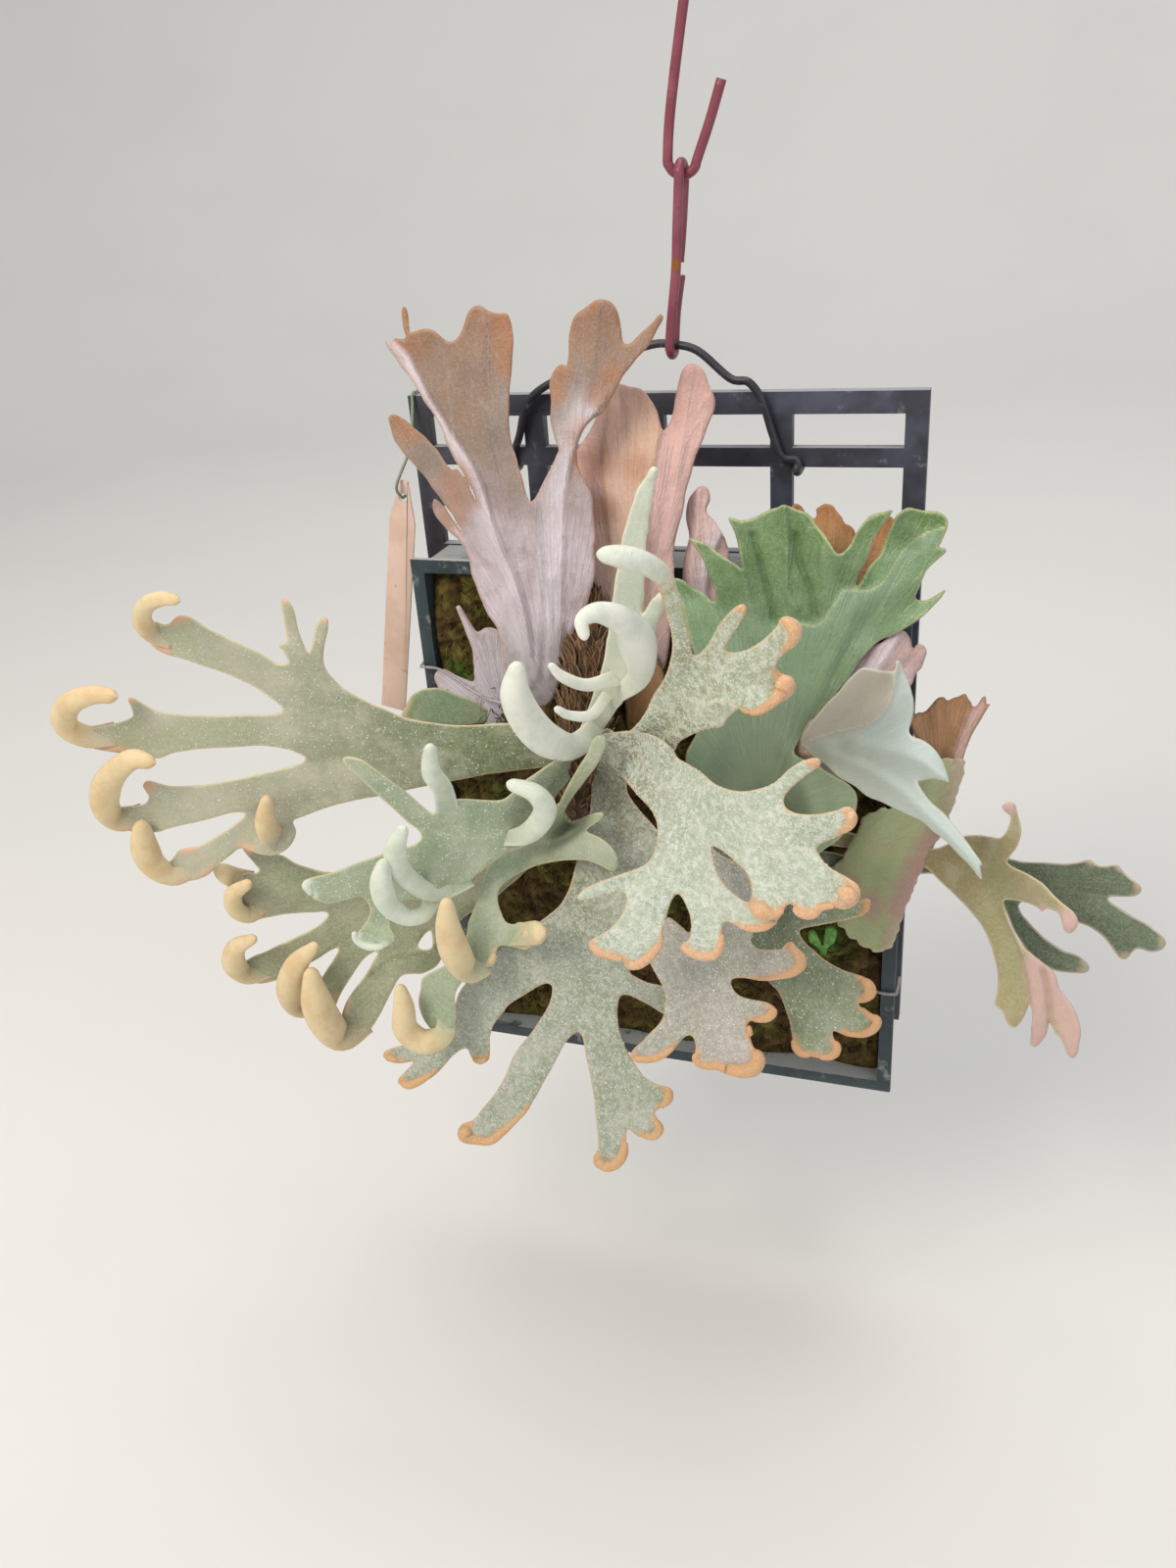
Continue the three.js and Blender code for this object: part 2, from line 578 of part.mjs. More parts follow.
// A rounded tip: one more station past the last one, half as wide.
function withTip(stations, grow) {
  const [x0, y0, , depth0] = stations[stations.length - 2];
  const [x1, y1, half, depth1] = stations[stations.length - 1];
  const long = Math.hypot(x1 - x0, y1 - y0);
  const onward = (leafTip.onward * half + grow) / long;
  const tip = [x0, y0, 0, depth0].map((start, i) => {
    const end = [x1, y1, 0, depth1][i];
    return end + onward * (end - start);
  });
  tip[2] = leafTip.width * half;
  return [...stations, tip];
}

// The outline of a leaf's sheet: its flat branches are joined as slabs of the picture, one pixel thick, so
// that their faces fall together, and the slabs' front faces are kept.
function branchSlab(stations, growPx) {
  const line = withTip(stations, growPx);
  const rings = line.map(([px, py, half], i) => {
    const before = line[Math.max(i - 1, 0)];
    const after = line[Math.min(i + 1, line.length - 1)];
    const long = Math.hypot(after[0] - before[0], after[1] - before[1]);
    const reach = (half + growPx) / long;
    const [dx, dy] = [-(after[1] - before[1]) * reach, (after[0] - before[0]) * reach];
    const corners = [[1, 0], [-1, 0], [-1, 1], [1, 1]];
    return corners.map(([side, z]) => new THREE.Vector3(px + side * dx, py + side * dy, z));
  });
  return toSolid(loft(rings));
}

function sheetFace(branches, growPx) {
  const slabs = flatBranches(branches).map((stations) => branchSlab(stations, growPx));
  const { vertProperties, triVerts } = joinAll(slabs).getMesh();
  const triangles = [];
  for (let i = 0; i < triVerts.length; i += 3) {
    const corners = Array.from(triVerts.slice(i, i + 3));
    if (corners.every((corner) => vertProperties[3 * corner + 2] > 0.5)) {
      triangles.push(corners);
    }
  }
  return { triangles, pixel: (corner) => [vertProperties[3 * corner], vertProperties[3 * corner + 1]] };
}

// The sheet itself: the outline laid on the leaf's surface, with the same triangles before and behind.
function sheetSolid(branches, depthAt, grow) {
  const [firstFlat] = flatBranches(branches);
  const { triangles, pixel } = sheetFace(branches, grow / millimetresPerPixel(firstFlat[0]));
  const points = [];
  const numbers = new Map();
  const numberOf = (corner) => {
    if (!numbers.has(corner)) {
      numbers.set(corner, points.length);
      const [px, py] = pixel(corner);
      const middle = sight(px, py, depthAt(px, py));
      const look = middle.clone().sub(view.eye).normalize();
      const offset = leafThickness / 2 + grow;
      points.push(middle.clone().addScaledVector(look, -offset));
      points.push(middle.clone().addScaledVector(look, offset));
    }
    return numbers.get(corner);
  };
  const order = [];
  const edges = new Set();
  for (const corners of triangles) {
    const [a, b, c] = corners.map(numberOf);
    order.push(a, b, c, a + 1, c + 1, b + 1);
    [[a, b], [b, c], [c, a]].forEach(([from, to]) => edges.add(`${from} ${to}`));
  }
  for (const edge of edges) {
    const [from, to] = edge.split(" ").map(Number);
    if (!edges.has(`${to} ${from}`)) {
      order.push(from, from + 1, to + 1, from, to + 1, to);
    }
  }
  const geometry = new THREE.BufferGeometry().setFromPoints(points);
  geometry.setIndex(order);
  return toSolid(geometry);
}

// A curl: it leaves the leaf's surface as flat as the leaf and rolls up into a round finger.
function curlBranch(stations, depthAt, grow) {
  const shift = depthAt(stations[0][0], stations[0][1]) - stations[0][3];
  const line = withTip(stations, 0).map(([px, py, half, depth]) => [px, py, half, depth + shift]);
  const points = line.map(([px, py, , depth]) => sight(px, py, depth));
  const rings = line.map(([px, py, half, depth], i) => {
    const before = points[Math.max(i - 1, 0)];
    const after = points[Math.min(i + 1, points.length - 1)];
    const along = after.clone().sub(before).normalize();
    const look = points[i].clone().sub(view.eye).normalize();
    const across = along.clone().cross(look).normalize();
    const outward = across.clone().cross(along).normalize();
    const halfWidth = half * millimetresPerPixel(line[i]);
    const rolling = Math.min(1, i / 2);
    const halfThick = THREE.MathUtils.lerp(leafThickness / 2, curlRoundness * halfWidth, rolling);
    return Array.from({ length: curlSides }, (_, k) => {
      const angle = (2 * Math.PI * k) / curlSides;
      return points[i]
        .clone()
        .addScaledVector(across, Math.cos(angle) * (halfWidth + grow))
        .addScaledVector(outward, Math.sin(angle) * (halfThick + grow));
    });
  });
  return toSolid(loft(rings));
}

function leafSolid(branches, grow = 0) {
  const depthAt = surfaceDepth(branches);
  const curls = curledBranches(branches).map((stations) => curlBranch(stations, depthAt, grow));
  return joinAll([sheetSolid(branches, depthAt, grow), ...curls]);
}

// A plump body along a line of stations, with round rings.
function plumpSolid(line, roundness, grow = 0) {
  const points = line.map(([px, py, , depth]) => sight(px, py, depth));
  const halves = line.map((station) => station[2] * millimetresPerPixel(station));
  const rings = points.map((point, i) => {
    const before = points[Math.max(i - 1, 0)];
    const after = points[Math.min(i + 1, points.length - 1)];
    const along = after.clone().sub(before).normalize();
    const across = along.clone().cross(new THREE.Vector3(0, 1, 0)).normalize();
    const outward = across.clone().cross(along).normalize();
    const end = i === 0 ? -1 : i === points.length - 1 ? 1 : 0;
    return Array.from({ length: stemSides }, (_, k) => {
      const angle = (2 * Math.PI * k) / stemSides;
      return point
        .clone()
        .addScaledVector(across, Math.cos(angle) * (halves[i] + grow))
        .addScaledVector(outward, Math.sin(angle) * (roundness * halves[i] + grow))
        .addScaledVector(along, end * grow);
    });
  });
  return toSolid(loft(rings));
}

// A round wire along a smooth curve through points.
function wireGeometry(points, diameter, sides, steps) {
  const outline = Array.from({ length: sides }, (_, k) => {
    const angle = (2 * Math.PI * k) / sides;
    return new THREE.Vector2(Math.cos(angle), Math.sin(angle)).multiplyScalar(diameter / 2);
  });
  const path = new THREE.CatmullRomCurve3(points, false, "centripetal");
  const settings = { extrudePath: path, steps, bevelEnabled: false };
  return new THREE.ExtrudeGeometry(new THREE.Shape(outline), settings);
}

function boxSolid(x0, x1, y0, y1, z0, z1) {
  const box = new THREE.BoxGeometry(x1 - x0, y1 - y0, z1 - z0);
  box.translate((x0 + x1) / 2, (y0 + y1) / 2, (z0 + z1) / 2);
  return toSolid(box);
}

// Lattice panel at the back: five posts, a top rail, a second rail close under it, and square windows below
function latticePanel() {
  const half = panel.width / 2;
  const bars = [];
  for (let post = 0; post < panel.posts; post += 1) {
    const middle = (post - (panel.posts - 1) / 2) * panel.pitch;
    const left = Math.max(middle - panel.bar / 2, -half);
    const right = Math.min(middle + panel.bar / 2, half);
    bars.push(boxSolid(left, right, 0, panel.thickness, -panel.height, 0));
  }
  const rails = [[0, panel.topRail], panel.secondRail];
  const rowPitch = (panel.height - panel.secondRail[1]) / panel.rows;
  for (let row = 1; row <= panel.rows; row += 1) {
    const bottom = panel.secondRail[1] + row * rowPitch;
    rails.push([bottom - panel.bar, bottom]);
  }
  for (const [top, bottom] of rails) {
    bars.push(boxSolid(-half, half, 0, panel.thickness, -bottom, -top));
  }
  return joinAll(bars);
}

// Shallow basket, open to the front, seated against the panel
function potSolid(grow = 0) {
  const left = pot.shift - pot.width / 2;
  const right = pot.shift + pot.width / 2;
  const front = -pot.depth - grow;
  const outer = pot.lip + grow;
  const inner = pot.wall + grow;
  const lipBack = pot.wall - pot.depth + grow;
  const [top, bottom] = [-pot.top, -pot.bottom];
  const shell = boxSolid(left - grow, right + grow, front, -seatGap, bottom - grow, top + grow);
  const rim = boxSolid(left - outer, right + outer, front, lipBack, bottom - outer, top + outer);
  const floor = -seatGap - inner;
  const hollow = boxSolid(left + inner, right - inner, front - 1, floor, bottom + inner, top - inner);
  return shell.add(rim).subtract(hollow);
}

// Moss root ball: it fills the basket and rises to a mound behind the fern's crown.
function mossDepth(x, z) {
  const u = (x - moss.peakX) / moss.spreadX;
  const v = (z - moss.peakZ) / moss.spreadZ;
  const tufts = Math.sin(x * 0.15 + 1.3) * Math.sin(z * 0.13);
  const rolls = 0.5 * Math.sin(x * 0.09 - z * 0.11);
  return moss.rise + moss.mound * Math.exp(-u * u - v * v) + moss.bump * (tufts + rolls);
}

function mossSolid(grow = 0) {
  const inset = pot.wall + seatGap - grow;
  const left = pot.shift - pot.width / 2 + inset;
  const right = pot.shift + pot.width / 2 - inset;
  const top = -pot.top - inset;
  const bottom = -pot.bottom + inset;
  const back = -(2 * seatGap + pot.wall) + grow;
  const rings = [];
  for (let row = 0; row <= moss.rows; row += 1) {
    const z = THREE.MathUtils.lerp(top, bottom, row / moss.rows);
    const ring = [new THREE.Vector3(left, back, z)];
    for (let column = 0; column <= moss.columns; column += 1) {
      const x = THREE.MathUtils.lerp(left, right, column / moss.columns);
      ring.push(new THREE.Vector3(x, -mossDepth(x, z) - grow, z));
    }
    ring.push(new THREE.Vector3(right, back, z));
    rings.push(ring);
  }
  return toSolid(loft(rings));
}

// Hooks: the lower one is bent in the YZ plane, the upper one in the XZ plane.
function arc(centre, radius, from, to, count, plane) {
  return Array.from({ length: count }, (_, i) => {
    const angle = THREE.MathUtils.degToRad(THREE.MathUtils.lerp(from, to, i / (count - 1)));
    const side = radius * Math.cos(angle);
    const rise = radius * Math.sin(angle);
    const [x, y] = plane === "XZ" ? [side, 0] : [0, side];
    return new THREE.Vector3(centre.x + x, y, centre.z + rise);
  });
}

function upperHookPoints() {
  const { bight, tail, shank } = upperHook;
  const centreRadius = hookSeat.innerRadius + hookWire / 2;
  const crown = { x: hookSeat.x, z: hookSeat.z - hookSeat.innerRadius };
  const inPlane = ([x, z]) => new THREE.Vector3(x, 0, z);
  return [
    ...tail.map(inPlane),
    ...arc(bight, bight.radius, -5, -185, 7, "XZ"),
    ...shank.map(inPlane),
    ...arc(crown, centreRadius, -14, 190, 9, "XZ"),
    inPlane([crown.x - centreRadius + 0.6, crown.z - hookSeat.innerRadius]),
  ];
}

function lowerHookPoints() {
  const { near, far } = lowerHook;
  const bent = ([x, y, z]) => new THREE.Vector3(x, y, z);
  const eye = { x: upperHook.bight.x - 0.5, z: upperHook.bight.z - upperHook.bight.radius };
  const eyeRadius = hookWire + seatGap;
  const footRadius = (hookWire + hangerWire) / 2 + seatGap;
  return [
    ...near.map(bent),
    ...arc(eye, eyeRadius, 185, -5, 7, "YZ"),
    ...far.map(bent),
    ...arc(hangerApex, footRadius, 5, -185, 7, "YZ"),
    bent(lowerHook.tip),
  ];
}

// Hanger wire: it rests in the lower hook and each leg hooks back under the panel's second rail.
function hangerPoints() {
  const off = hangerWire / 2 + seatGap;
  const railFoot = -panel.secondRail[1];
  const legEnd = (x) => [
    new THREE.Vector3(x, -off, railFoot + 3),
    new THREE.Vector3(x, -0.9 * off, railFoot - 0.55 * off),
    new THREE.Vector3(x, 0.6, railFoot - off - 0.1),
    new THREE.Vector3(x, panel.thickness - 0.6, railFoot - off - 0.1),
    new THREE.Vector3(x, panel.thickness + 0.9 * off, railFoot - 0.55 * off),
    new THREE.Vector3(x, panel.thickness + off, railFoot + 4),
  ];
  const left = legEnd(sight(525, 478, 0).x);
  const right = legEnd(panel.pitch + panel.bar / 2 + off + 0.4);
  return [
    ...left.reverse(),
    sight(530, 445, 2.2),
    sight(538, 412, 3),
    sight(562, 391, 3),
    sight(620, 367, 2),
    sight(664, 352, 0.6),
    new THREE.Vector3(hangerApex.x, 0, hangerApex.z),
    sight(712, 358, 0.6),
    sight(745, 386, 2.4),
    sight(764, 390, 3),
    sight(778, 410, 3),
    sight(788, 442, 2.4),
    sight(798, 466, 2.2),
    ...right,
  ];
}

// Label, blank, hung on a thin wire from the panel's top rail
function labelGeometry() {
  const top = sight(413, 490, label.depth);
  const foot = sight(402, 722, label.depth);
  const long = Math.hypot(foot.x - top.x, foot.z - top.z);
  const half = label.width / 2;
  const outline = new THREE.Shape([
    new THREE.Vector2(-label.nose / 2, 0),
    new THREE.Vector2(-half, -label.point),
    new THREE.Vector2(-half, -long),
    new THREE.Vector2(half, -long),
    new THREE.Vector2(half, -label.point),
    new THREE.Vector2(label.nose / 2, 0),
  ]);
  const holeSides = 10;
  const hole = Array.from({ length: holeSides }, (_, k) => {
    const angle = (2 * Math.PI * k) / holeSides;
    const edge = new THREE.Vector2(Math.cos(angle), Math.sin(angle)).multiplyScalar(label.hole / 2);
    return edge.add(new THREE.Vector2(0, -label.holeDrop));
  });
  outline.holes.push(new THREE.Path(hole));
  const plate = new THREE.ExtrudeGeometry(outline, { depth: label.thickness, bevelEnabled: false });
  plate.rotateX(Math.PI / 2);
  plate.rotateY(Math.atan2(foot.x - top.x, foot.z - top.z) + Math.PI);
  plate.translate(top.x, top.y, top.z);
  return plate;
}

function labelWirePoints() {
  const off = tieWire / 2 + seatGap;
  const railX = 2.5 - panel.width / 2;
  const hole = sight(412.5, 508, label.depth);
  return [
    new THREE.Vector3(railX, panel.thickness + off, -5),
    new THREE.Vector3(railX, panel.thickness + 0.7 * off, 0.7 * off),
    new THREE.Vector3(railX, panel.thickness / 2, off),
    new THREE.Vector3(railX, -0.7 * off, 0.7 * off),
    new THREE.Vector3(railX, -off - 1.2, -5),
    new THREE.Vector3(railX, -8, -18),
    new THREE.Vector3(hole.x - 1, -label.depth - 3, hole.z + 6),
    new THREE.Vector3(hole.x, -label.depth - 2.4, hole.z + 1.2),
    new THREE.Vector3(hole.x, -label.depth - 0.4, hole.z + 0.4),
    new THREE.Vector3(hole.x, -label.depth + 2.6, hole.z + 1.4),
    new THREE.Vector3(hole.x - 0.3, -label.depth + 3.4, hole.z + 6),
  ];
}

// Binding lines: each comes round the basket's lip and lies over the moss.
const tieLeftPixels = [[456, 687, 37], [484, 706, 42], [500, 714, 42.6], [520, 718, 43], [548, 721, 46.2]];
const tieRightPixels = [[868, 1004, 25], [850, 990, 25.2], [836, 984, 25.4]];

function tieLinePoints(side, rimPixel, pixels) {
  const off = tieWire / 2 + seatGap;
  const z = sight(...rimPixel, pot.depth).z;
  const wallInside = pot.shift + side * (pot.width / 2 - pot.wall);
  const lipOutside = pot.shift + side * (pot.width / 2 + pot.lip);
  return [
    new THREE.Vector3(lipOutside + side * off, -20, z + 1),
    new THREE.Vector3(lipOutside + side * off, -pot.depth, z + 0.5),
    new THREE.Vector3(lipOutside, -pot.depth - off, z),
    new THREE.Vector3(wallInside, -pot.depth - off - 0.2, z),
    ...pixels.map((pixel) => sight(...pixel)),
  ];
}

// Materials
function finish(colour, roughness) {
  return new THREE.MeshStandardMaterial({ color: colour, roughness, metalness: 0 });
}

const finishes = {
  blackPlastic: finish("#3a3a42", 0.55),
  darkPlastic: finish("#33424a", 0.5),
  moss: finish("#4c4720", 0.95),
  blackWire: finish("#26262b", 0.4),
  coatedWire: finish("#a5566a", 0.45),
  label: finish("#d9b99b", 0.6),
  greenWire: finish("#7d8b74", 0.5),
  clearLine: finish("#b9b3b6", 0.3),
  scales: finish("#4a3626", 0.9),
  bud: finish("#b59a86", 0.85),
  sprout: finish("#4f8f35", 0.6),
  oliveFelt: finish("#98a382", 0.8),
  greyFelt: finish("#939d86", 0.8),
  greenFelt: finish("#8fa888", 0.78),
  whiteFelt: finish("#cbd5c6", 0.85),
  speckledFelt: finish("#b3bfae", 0.8),
  lilacFelt: finish("#a49c8f", 0.8),
  darkFelt: finish("#74815f", 0.75),
  oliveTan: finish("#a39a70", 0.75),
  greyGreen: finish("#6f7f68", 0.75),
  shieldTan: finish("#a58a78", 0.85),
  shieldRose: finish("#b3958c", 0.85),
  shieldRust: finish("#a87a55", 0.85),
  shieldGreen: finish("#7d9f72", 0.65),
  shieldBlue: finish("#a9b6b0", 0.75),
  shieldLilac: finish("#b59fa3", 0.8),
};

const basket = new THREE.Group();
basket.position.set(-hookSeat.x, 0, -hookSeat.z);

function addMesh(name, geometry, material) {
  const mesh = new THREE.Mesh(closedGeometry(geometry), material);
  mesh.name = name;
  basket.add(mesh);
}

addMesh("grid_panel", toGeometry(latticePanel()), finishes.blackPlastic);
addMesh("pot", toGeometry(potSolid()), finishes.darkPlastic);
addMesh("moss_root_ball", toGeometry(mossSolid()), finishes.moss);
addMesh("hook_upper", wireGeometry(upperHookPoints(), hookWire, 8, 44), finishes.coatedWire);
addMesh("hook_lower", wireGeometry(lowerHookPoints(), hookWire, 8, 44), finishes.coatedWire);
addMesh("wire_hanger", wireGeometry(hangerPoints(), hangerWire, 8, 46), finishes.blackWire);
addMesh("plant_label", labelGeometry(), finishes.label);
addMesh("label_wire", wireGeometry(labelWirePoints(), tieWire, 5, 26), finishes.greenWire);
const tieLeft = tieLinePoints(-1, [436, 680], tieLeftPixels);
const tieRight = tieLinePoints(1, [903, 1012], tieRightPixels);
addMesh("tie_line_left", wireGeometry(tieLeft, tieWire, 5, 20), finishes.clearLine);
addMesh("tie_line_right", wireGeometry(tieRight, tieWire, 5, 18), finishes.clearLine);

// The plant is set out from the crown outwards. What comes later is trimmed 0.3 mm clear of what is there.
const placed = [
  mossSolid(seatGap),
  boxSolid(
    -panel.width / 2 - seatGap, panel.width / 2 + seatGap,
    -seatGap, panel.thickness + seatGap,
    -panel.height - seatGap, seatGap,
  ),
  potSolid(seatGap),
];

function addPlant(name, shape, material) {
  let solid = shape(0);
  for (const other of placed) {
    solid = solid.subtract(other);
  }
  placed.push(shape(seatGap));
  addMesh(name, toGeometry(largestBody(solid)), material);
}

function addLeaf(name, branches, material) {
  addPlant(name, (grow) => leafSolid(branches, grow), material);
}

addPlant("rhizome", (grow) => plumpSolid(rhizomeLine, plumpness.rhizome, grow), finishes.scales);
addPlant("rhizome_side", (grow) => plumpSolid(sideRhizomeLine, plumpness.sideRhizome, grow), finishes.scales);
addLeaf("frond_left_long", frondLeftLong, finishes.oliveFelt);
addLeaf("frond_centre_upright", frondCentreUpright, finishes.whiteFelt);
addLeaf("frond_centre_right", frondCentreRight, finishes.speckledFelt);
addLeaf("frond_right_broad", frondRightBroad, finishes.speckledFelt);
addLeaf("frond_mid_left", frondMidLeft, finishes.greenFelt);
addLeaf("frond_double", frondDouble, finishes.greenFelt);
addLeaf("frond_bottom_centre", frondBottomCentre, finishes.greyFelt);
addLeaf("frond_left_low", frondLeftLow, finishes.oliveFelt);
addLeaf("frond_bottom_right", frondBottomRight, finishes.lilacFelt);
addLeaf("frond_low_right_dark", frondLowRightDark, finishes.darkFelt);
addLeaf("frond_right_long", frondRightLong, finishes.oliveTan);
addLeaf("frond_right_dark", frondRightDark, finishes.greyGreen);
addLeaf("shield_tall_front", shieldTallFront, finishes.shieldTan);
addLeaf("shield_tall_back", shieldTallBack, finishes.shieldRose);
addLeaf("shield_old_rust", shieldOldRust, finishes.shieldRust);
addLeaf("shield_green_fan", shieldGreenFan, finishes.shieldGreen);
addLeaf("shield_young", shieldYoung, finishes.shieldBlue);
addLeaf("shield_pink_lilac", shieldPinkLilac, finishes.shieldLilac);
addLeaf("shield_right_low", shieldRightLow, finishes.shieldGreen);
addLeaf("shield_dried_right", shieldDriedRight, finishes.shieldRust);
addLeaf("shield_small_pink", shieldSmallPink, finishes.shieldLilac);
addLeaf("shield_dried_tips", shieldDriedTips, finishes.shieldRust);
addLeaf("shield_low_left", shieldLowLeft, finishes.shieldLilac);
addLeaf("leaf_small_round", leafSmallRound, finishes.greenFelt);
addLeaf("moss_sprout", mossSprout, finishes.sprout);
addPlant("pup_bud", (grow) => plumpSolid(budLine, plumpness.bud, grow), finishes.bud);

export default basket;
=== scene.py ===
# A staghorn fern on its moss in a shallow basket, held by two coated wire hooks.
# Metres, +Z up, the fern faces -Y. The working sizes below are millimetres, measured from the middle of the
# lattice panel's top edge, as in the CAD source; toFrame carries them into the shared frame.
import math
import re

import bmesh
import bpy
import numpy as np
from mathutils import Matrix, Vector


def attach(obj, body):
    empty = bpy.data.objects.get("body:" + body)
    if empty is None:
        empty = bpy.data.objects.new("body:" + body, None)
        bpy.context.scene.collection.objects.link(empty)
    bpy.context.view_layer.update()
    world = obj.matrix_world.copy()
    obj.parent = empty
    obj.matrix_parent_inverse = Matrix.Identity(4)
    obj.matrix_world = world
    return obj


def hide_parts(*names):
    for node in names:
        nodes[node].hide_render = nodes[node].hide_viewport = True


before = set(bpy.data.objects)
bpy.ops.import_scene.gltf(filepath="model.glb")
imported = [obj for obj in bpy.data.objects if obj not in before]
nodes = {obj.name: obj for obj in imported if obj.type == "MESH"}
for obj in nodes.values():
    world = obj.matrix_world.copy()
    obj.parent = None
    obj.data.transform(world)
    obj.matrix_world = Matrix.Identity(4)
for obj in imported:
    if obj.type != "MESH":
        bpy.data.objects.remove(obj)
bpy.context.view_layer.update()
print("frame loaded:", len(nodes), "nodes")

panelTop = np.array([11.0, 0.0, 159.0])  # the hook's seat, seen from the panel's top edge


def toFrame(points):
    return (np.asarray(points, float) - panelTop) / 1000


# Viewpoint of the photograph (1200 x 1600 pixels)
viewpoint = {
    "eye": [136.0, -470.0, 87.0],
    "turn": 20.2, "tilt": -26.8, "roll": 4.4,
    "focalPx": 1310.0, "centrePx": [600.0, 800.0], "imageHeight": 1600.0,
    "sensor": 36.0,
}
eye = np.array(viewpoint["eye"])
# turn about Z, then tilt about X, then roll about Y
viewMatrix = np.array(Matrix.Rotation(math.radians(viewpoint["turn"]), 3, "Z")
                      @ Matrix.Rotation(math.radians(viewpoint["tilt"]), 3, "X")
                      @ Matrix.Rotation(math.radians(viewpoint["roll"]), 3, "Y"))


def sight(px, py, depth):
    # a pixel carried along its line of sight until it stands depth mm in front of the panel
    px, py, depth = np.broadcast_arrays(px, py, depth)
    focal, (cx, cy) = viewpoint["focalPx"], viewpoint["centrePx"]
    ray = np.stack([(px - cx) / focal, np.ones(px.shape), (cy - py) / focal], -1) @ viewMatrix.T
    return eye + ray * ((-depth - eye[1]) / ray[..., 1])[..., None]


def mmPerPixel(px, py, depth):
    # how many mm one pixel spans there: the way ahead of the eye over the focal length
    return ((sight(px, py, depth) - eye) @ viewMatrix[:, 1]) / viewpoint["focalPx"]


def placed(name, data):
    # an object of its own in the scene
    thing = bpy.data.objects.new(name, data)
    bpy.context.scene.collection.objects.link(thing)
    return thing


def addCamera():
    data = bpy.data.cameras.new("photoCamera")
    data.sensor_width = viewpoint["sensor"]
    data.lens = viewpoint["focalPx"] * viewpoint["sensor"] / viewpoint["imageHeight"]
    data.clip_start = 0.01
    camera = placed("photoCamera", data)
    right, ahead, up = viewMatrix.T
    place = toFrame(eye)
    camera.matrix_world = Matrix([[*map(float, (right[i], up[i], -ahead[i], place[i]))] for i in range(3)]
                                 + [[0, 0, 0, 1]])
    bpy.context.scene.camera = camera


addCamera()


# Materials
def hexColour(code):
    # sRGB hex to linear light
    parts = [int(code[i:i + 2], 16) / 255 for i in (1, 3, 5)]
    return tuple(c / 12.92 if c <= 0.04045 else ((c + 0.055) / 1.055) ** 2.4 for c in parts) + (1.0,)


def addNode(tree, kind, inputs=None, out=0, stops=None, **settings):
    # one node with its settings, its links and the stops of its ramp, its colours given as hex codes
    node = tree.nodes.new("ShaderNode" + kind)
    for name, value in settings.items():
        setattr(node, name, value)
    for key, value in (inputs or {}).items():
        if isinstance(value, bpy.types.NodeSocket):
            tree.links.new(value, node.inputs[key])
        else:
            node.inputs[key].default_value = hexColour(value) if isinstance(value, str) else value
    if stops:
        while len(node.color_ramp.elements) < len(stops):
            node.color_ramp.elements.new(0.5)
        for element, (place, code) in zip(node.color_ramp.elements, stops):
            element.position, element.color = place, hexColour(code)
    return node.outputs[out]


def newMaterial(name, finish):
    # finish holds what is the same all over, set on the shader's own sockets
    material = bpy.data.materials.new(name)
    material.use_nodes = True
    shader = material.node_tree.nodes["Principled BSDF"]
    for key, value in finish.items():
        shader.inputs[key].default_value = value
    return material, material.node_tree, shader


eased = {"interpolation_type": "SMOOTHSTEP"}
painted = {"data_type": "RGBA", "out": 2}


def blotches(tree, place, under, tint, size, low=0.45, high=0.65, share=1.0, detail=3.0):
    # tint over a colour, where a noise with blotches size mm wide rises through low..high
    noise = {"Vector": place, "Scale": 1000 / size, "Detail": detail, "Roughness": 0.6}
    rise = {"Value": addNode(tree, "TexNoise", noise), "From Min": low, "From Max": high, "To Max": share}
    mask = addNode(tree, "MapRange", rise, **eased)
    return addNode(tree, "Mix", {0: mask, 6: under, 7: tint}, **painted), mask


def surface(tree, shader, colour, heights, strength, distance):
    # joins the colour to the shader, and the sum of the weighted heights to its bump, distance mm high
    total = None
    for weight, height in heights:
        total = addNode(tree, "Math", {0: height, 1: weight, 2: total or 0.0}, operation="MULTIPLY_ADD")
    tree.links.new(colour, shader.inputs["Base Color"])
    if heights:
        bump = addNode(tree, "Bump", {"Height": total, "Strength": strength, "Distance": distance / 1000})
        tree.links.new(bump, shader.inputs["Normal"])


def mottled(name, finish, base, layers, grain=(), strength=0.0, distance=0.0):
    # a base colour under layers of blotches; a grain of (mm, detail) makes the bump, or else the last layer
    material, tree, shader = newMaterial(name, finish)
    place = addNode(tree, "TexCoord", out="Object")
    colour = base
    for layer in layers:
        colour, height = blotches(tree, place, colour, *layer)
    if grain:
        height = addNode(tree, "TexNoise", {"Vector": place, "Scale": 1000 / grain[0], "Detail": grain[1]})
    surface(tree, shader, colour, [(1.0, height)] if strength else [], strength, distance)
    return material


# Meshes
def makePiece(name, vertices, faces, material, replaced, slot, attributes=None, uv=None, smooth=True):
    # vertices are panel millimetres; the object stays at the origin with its place in the mesh
    mesh = bpy.data.meshes.new(name)
    mesh.from_pydata(toFrame(vertices).tolist(), [], faces if isinstance(faces, list) else faces.tolist())
    for key, values in (attributes or {}).items():
        mesh.attributes.new(key, "FLOAT", "POINT").data.foreach_set("value", np.asarray(values, np.float32))
    if uv is not None:
        corners = np.empty(len(mesh.loops), np.int32)
        mesh.loops.foreach_get("vertex_index", corners)
        layer = mesh.uv_layers.new(name="pieceUv")
        layer.data.foreach_set("uv", np.asarray(uv, np.float32)[corners].ravel())
    mesh.polygons.foreach_set("use_smooth", [smooth] * len(mesh.polygons))
    mesh.materials.append(material)
    mesh.update()
    piece = placed(name, mesh)
    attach(piece, "root")
    if replaced:
        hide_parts(*replaced)
    return piece


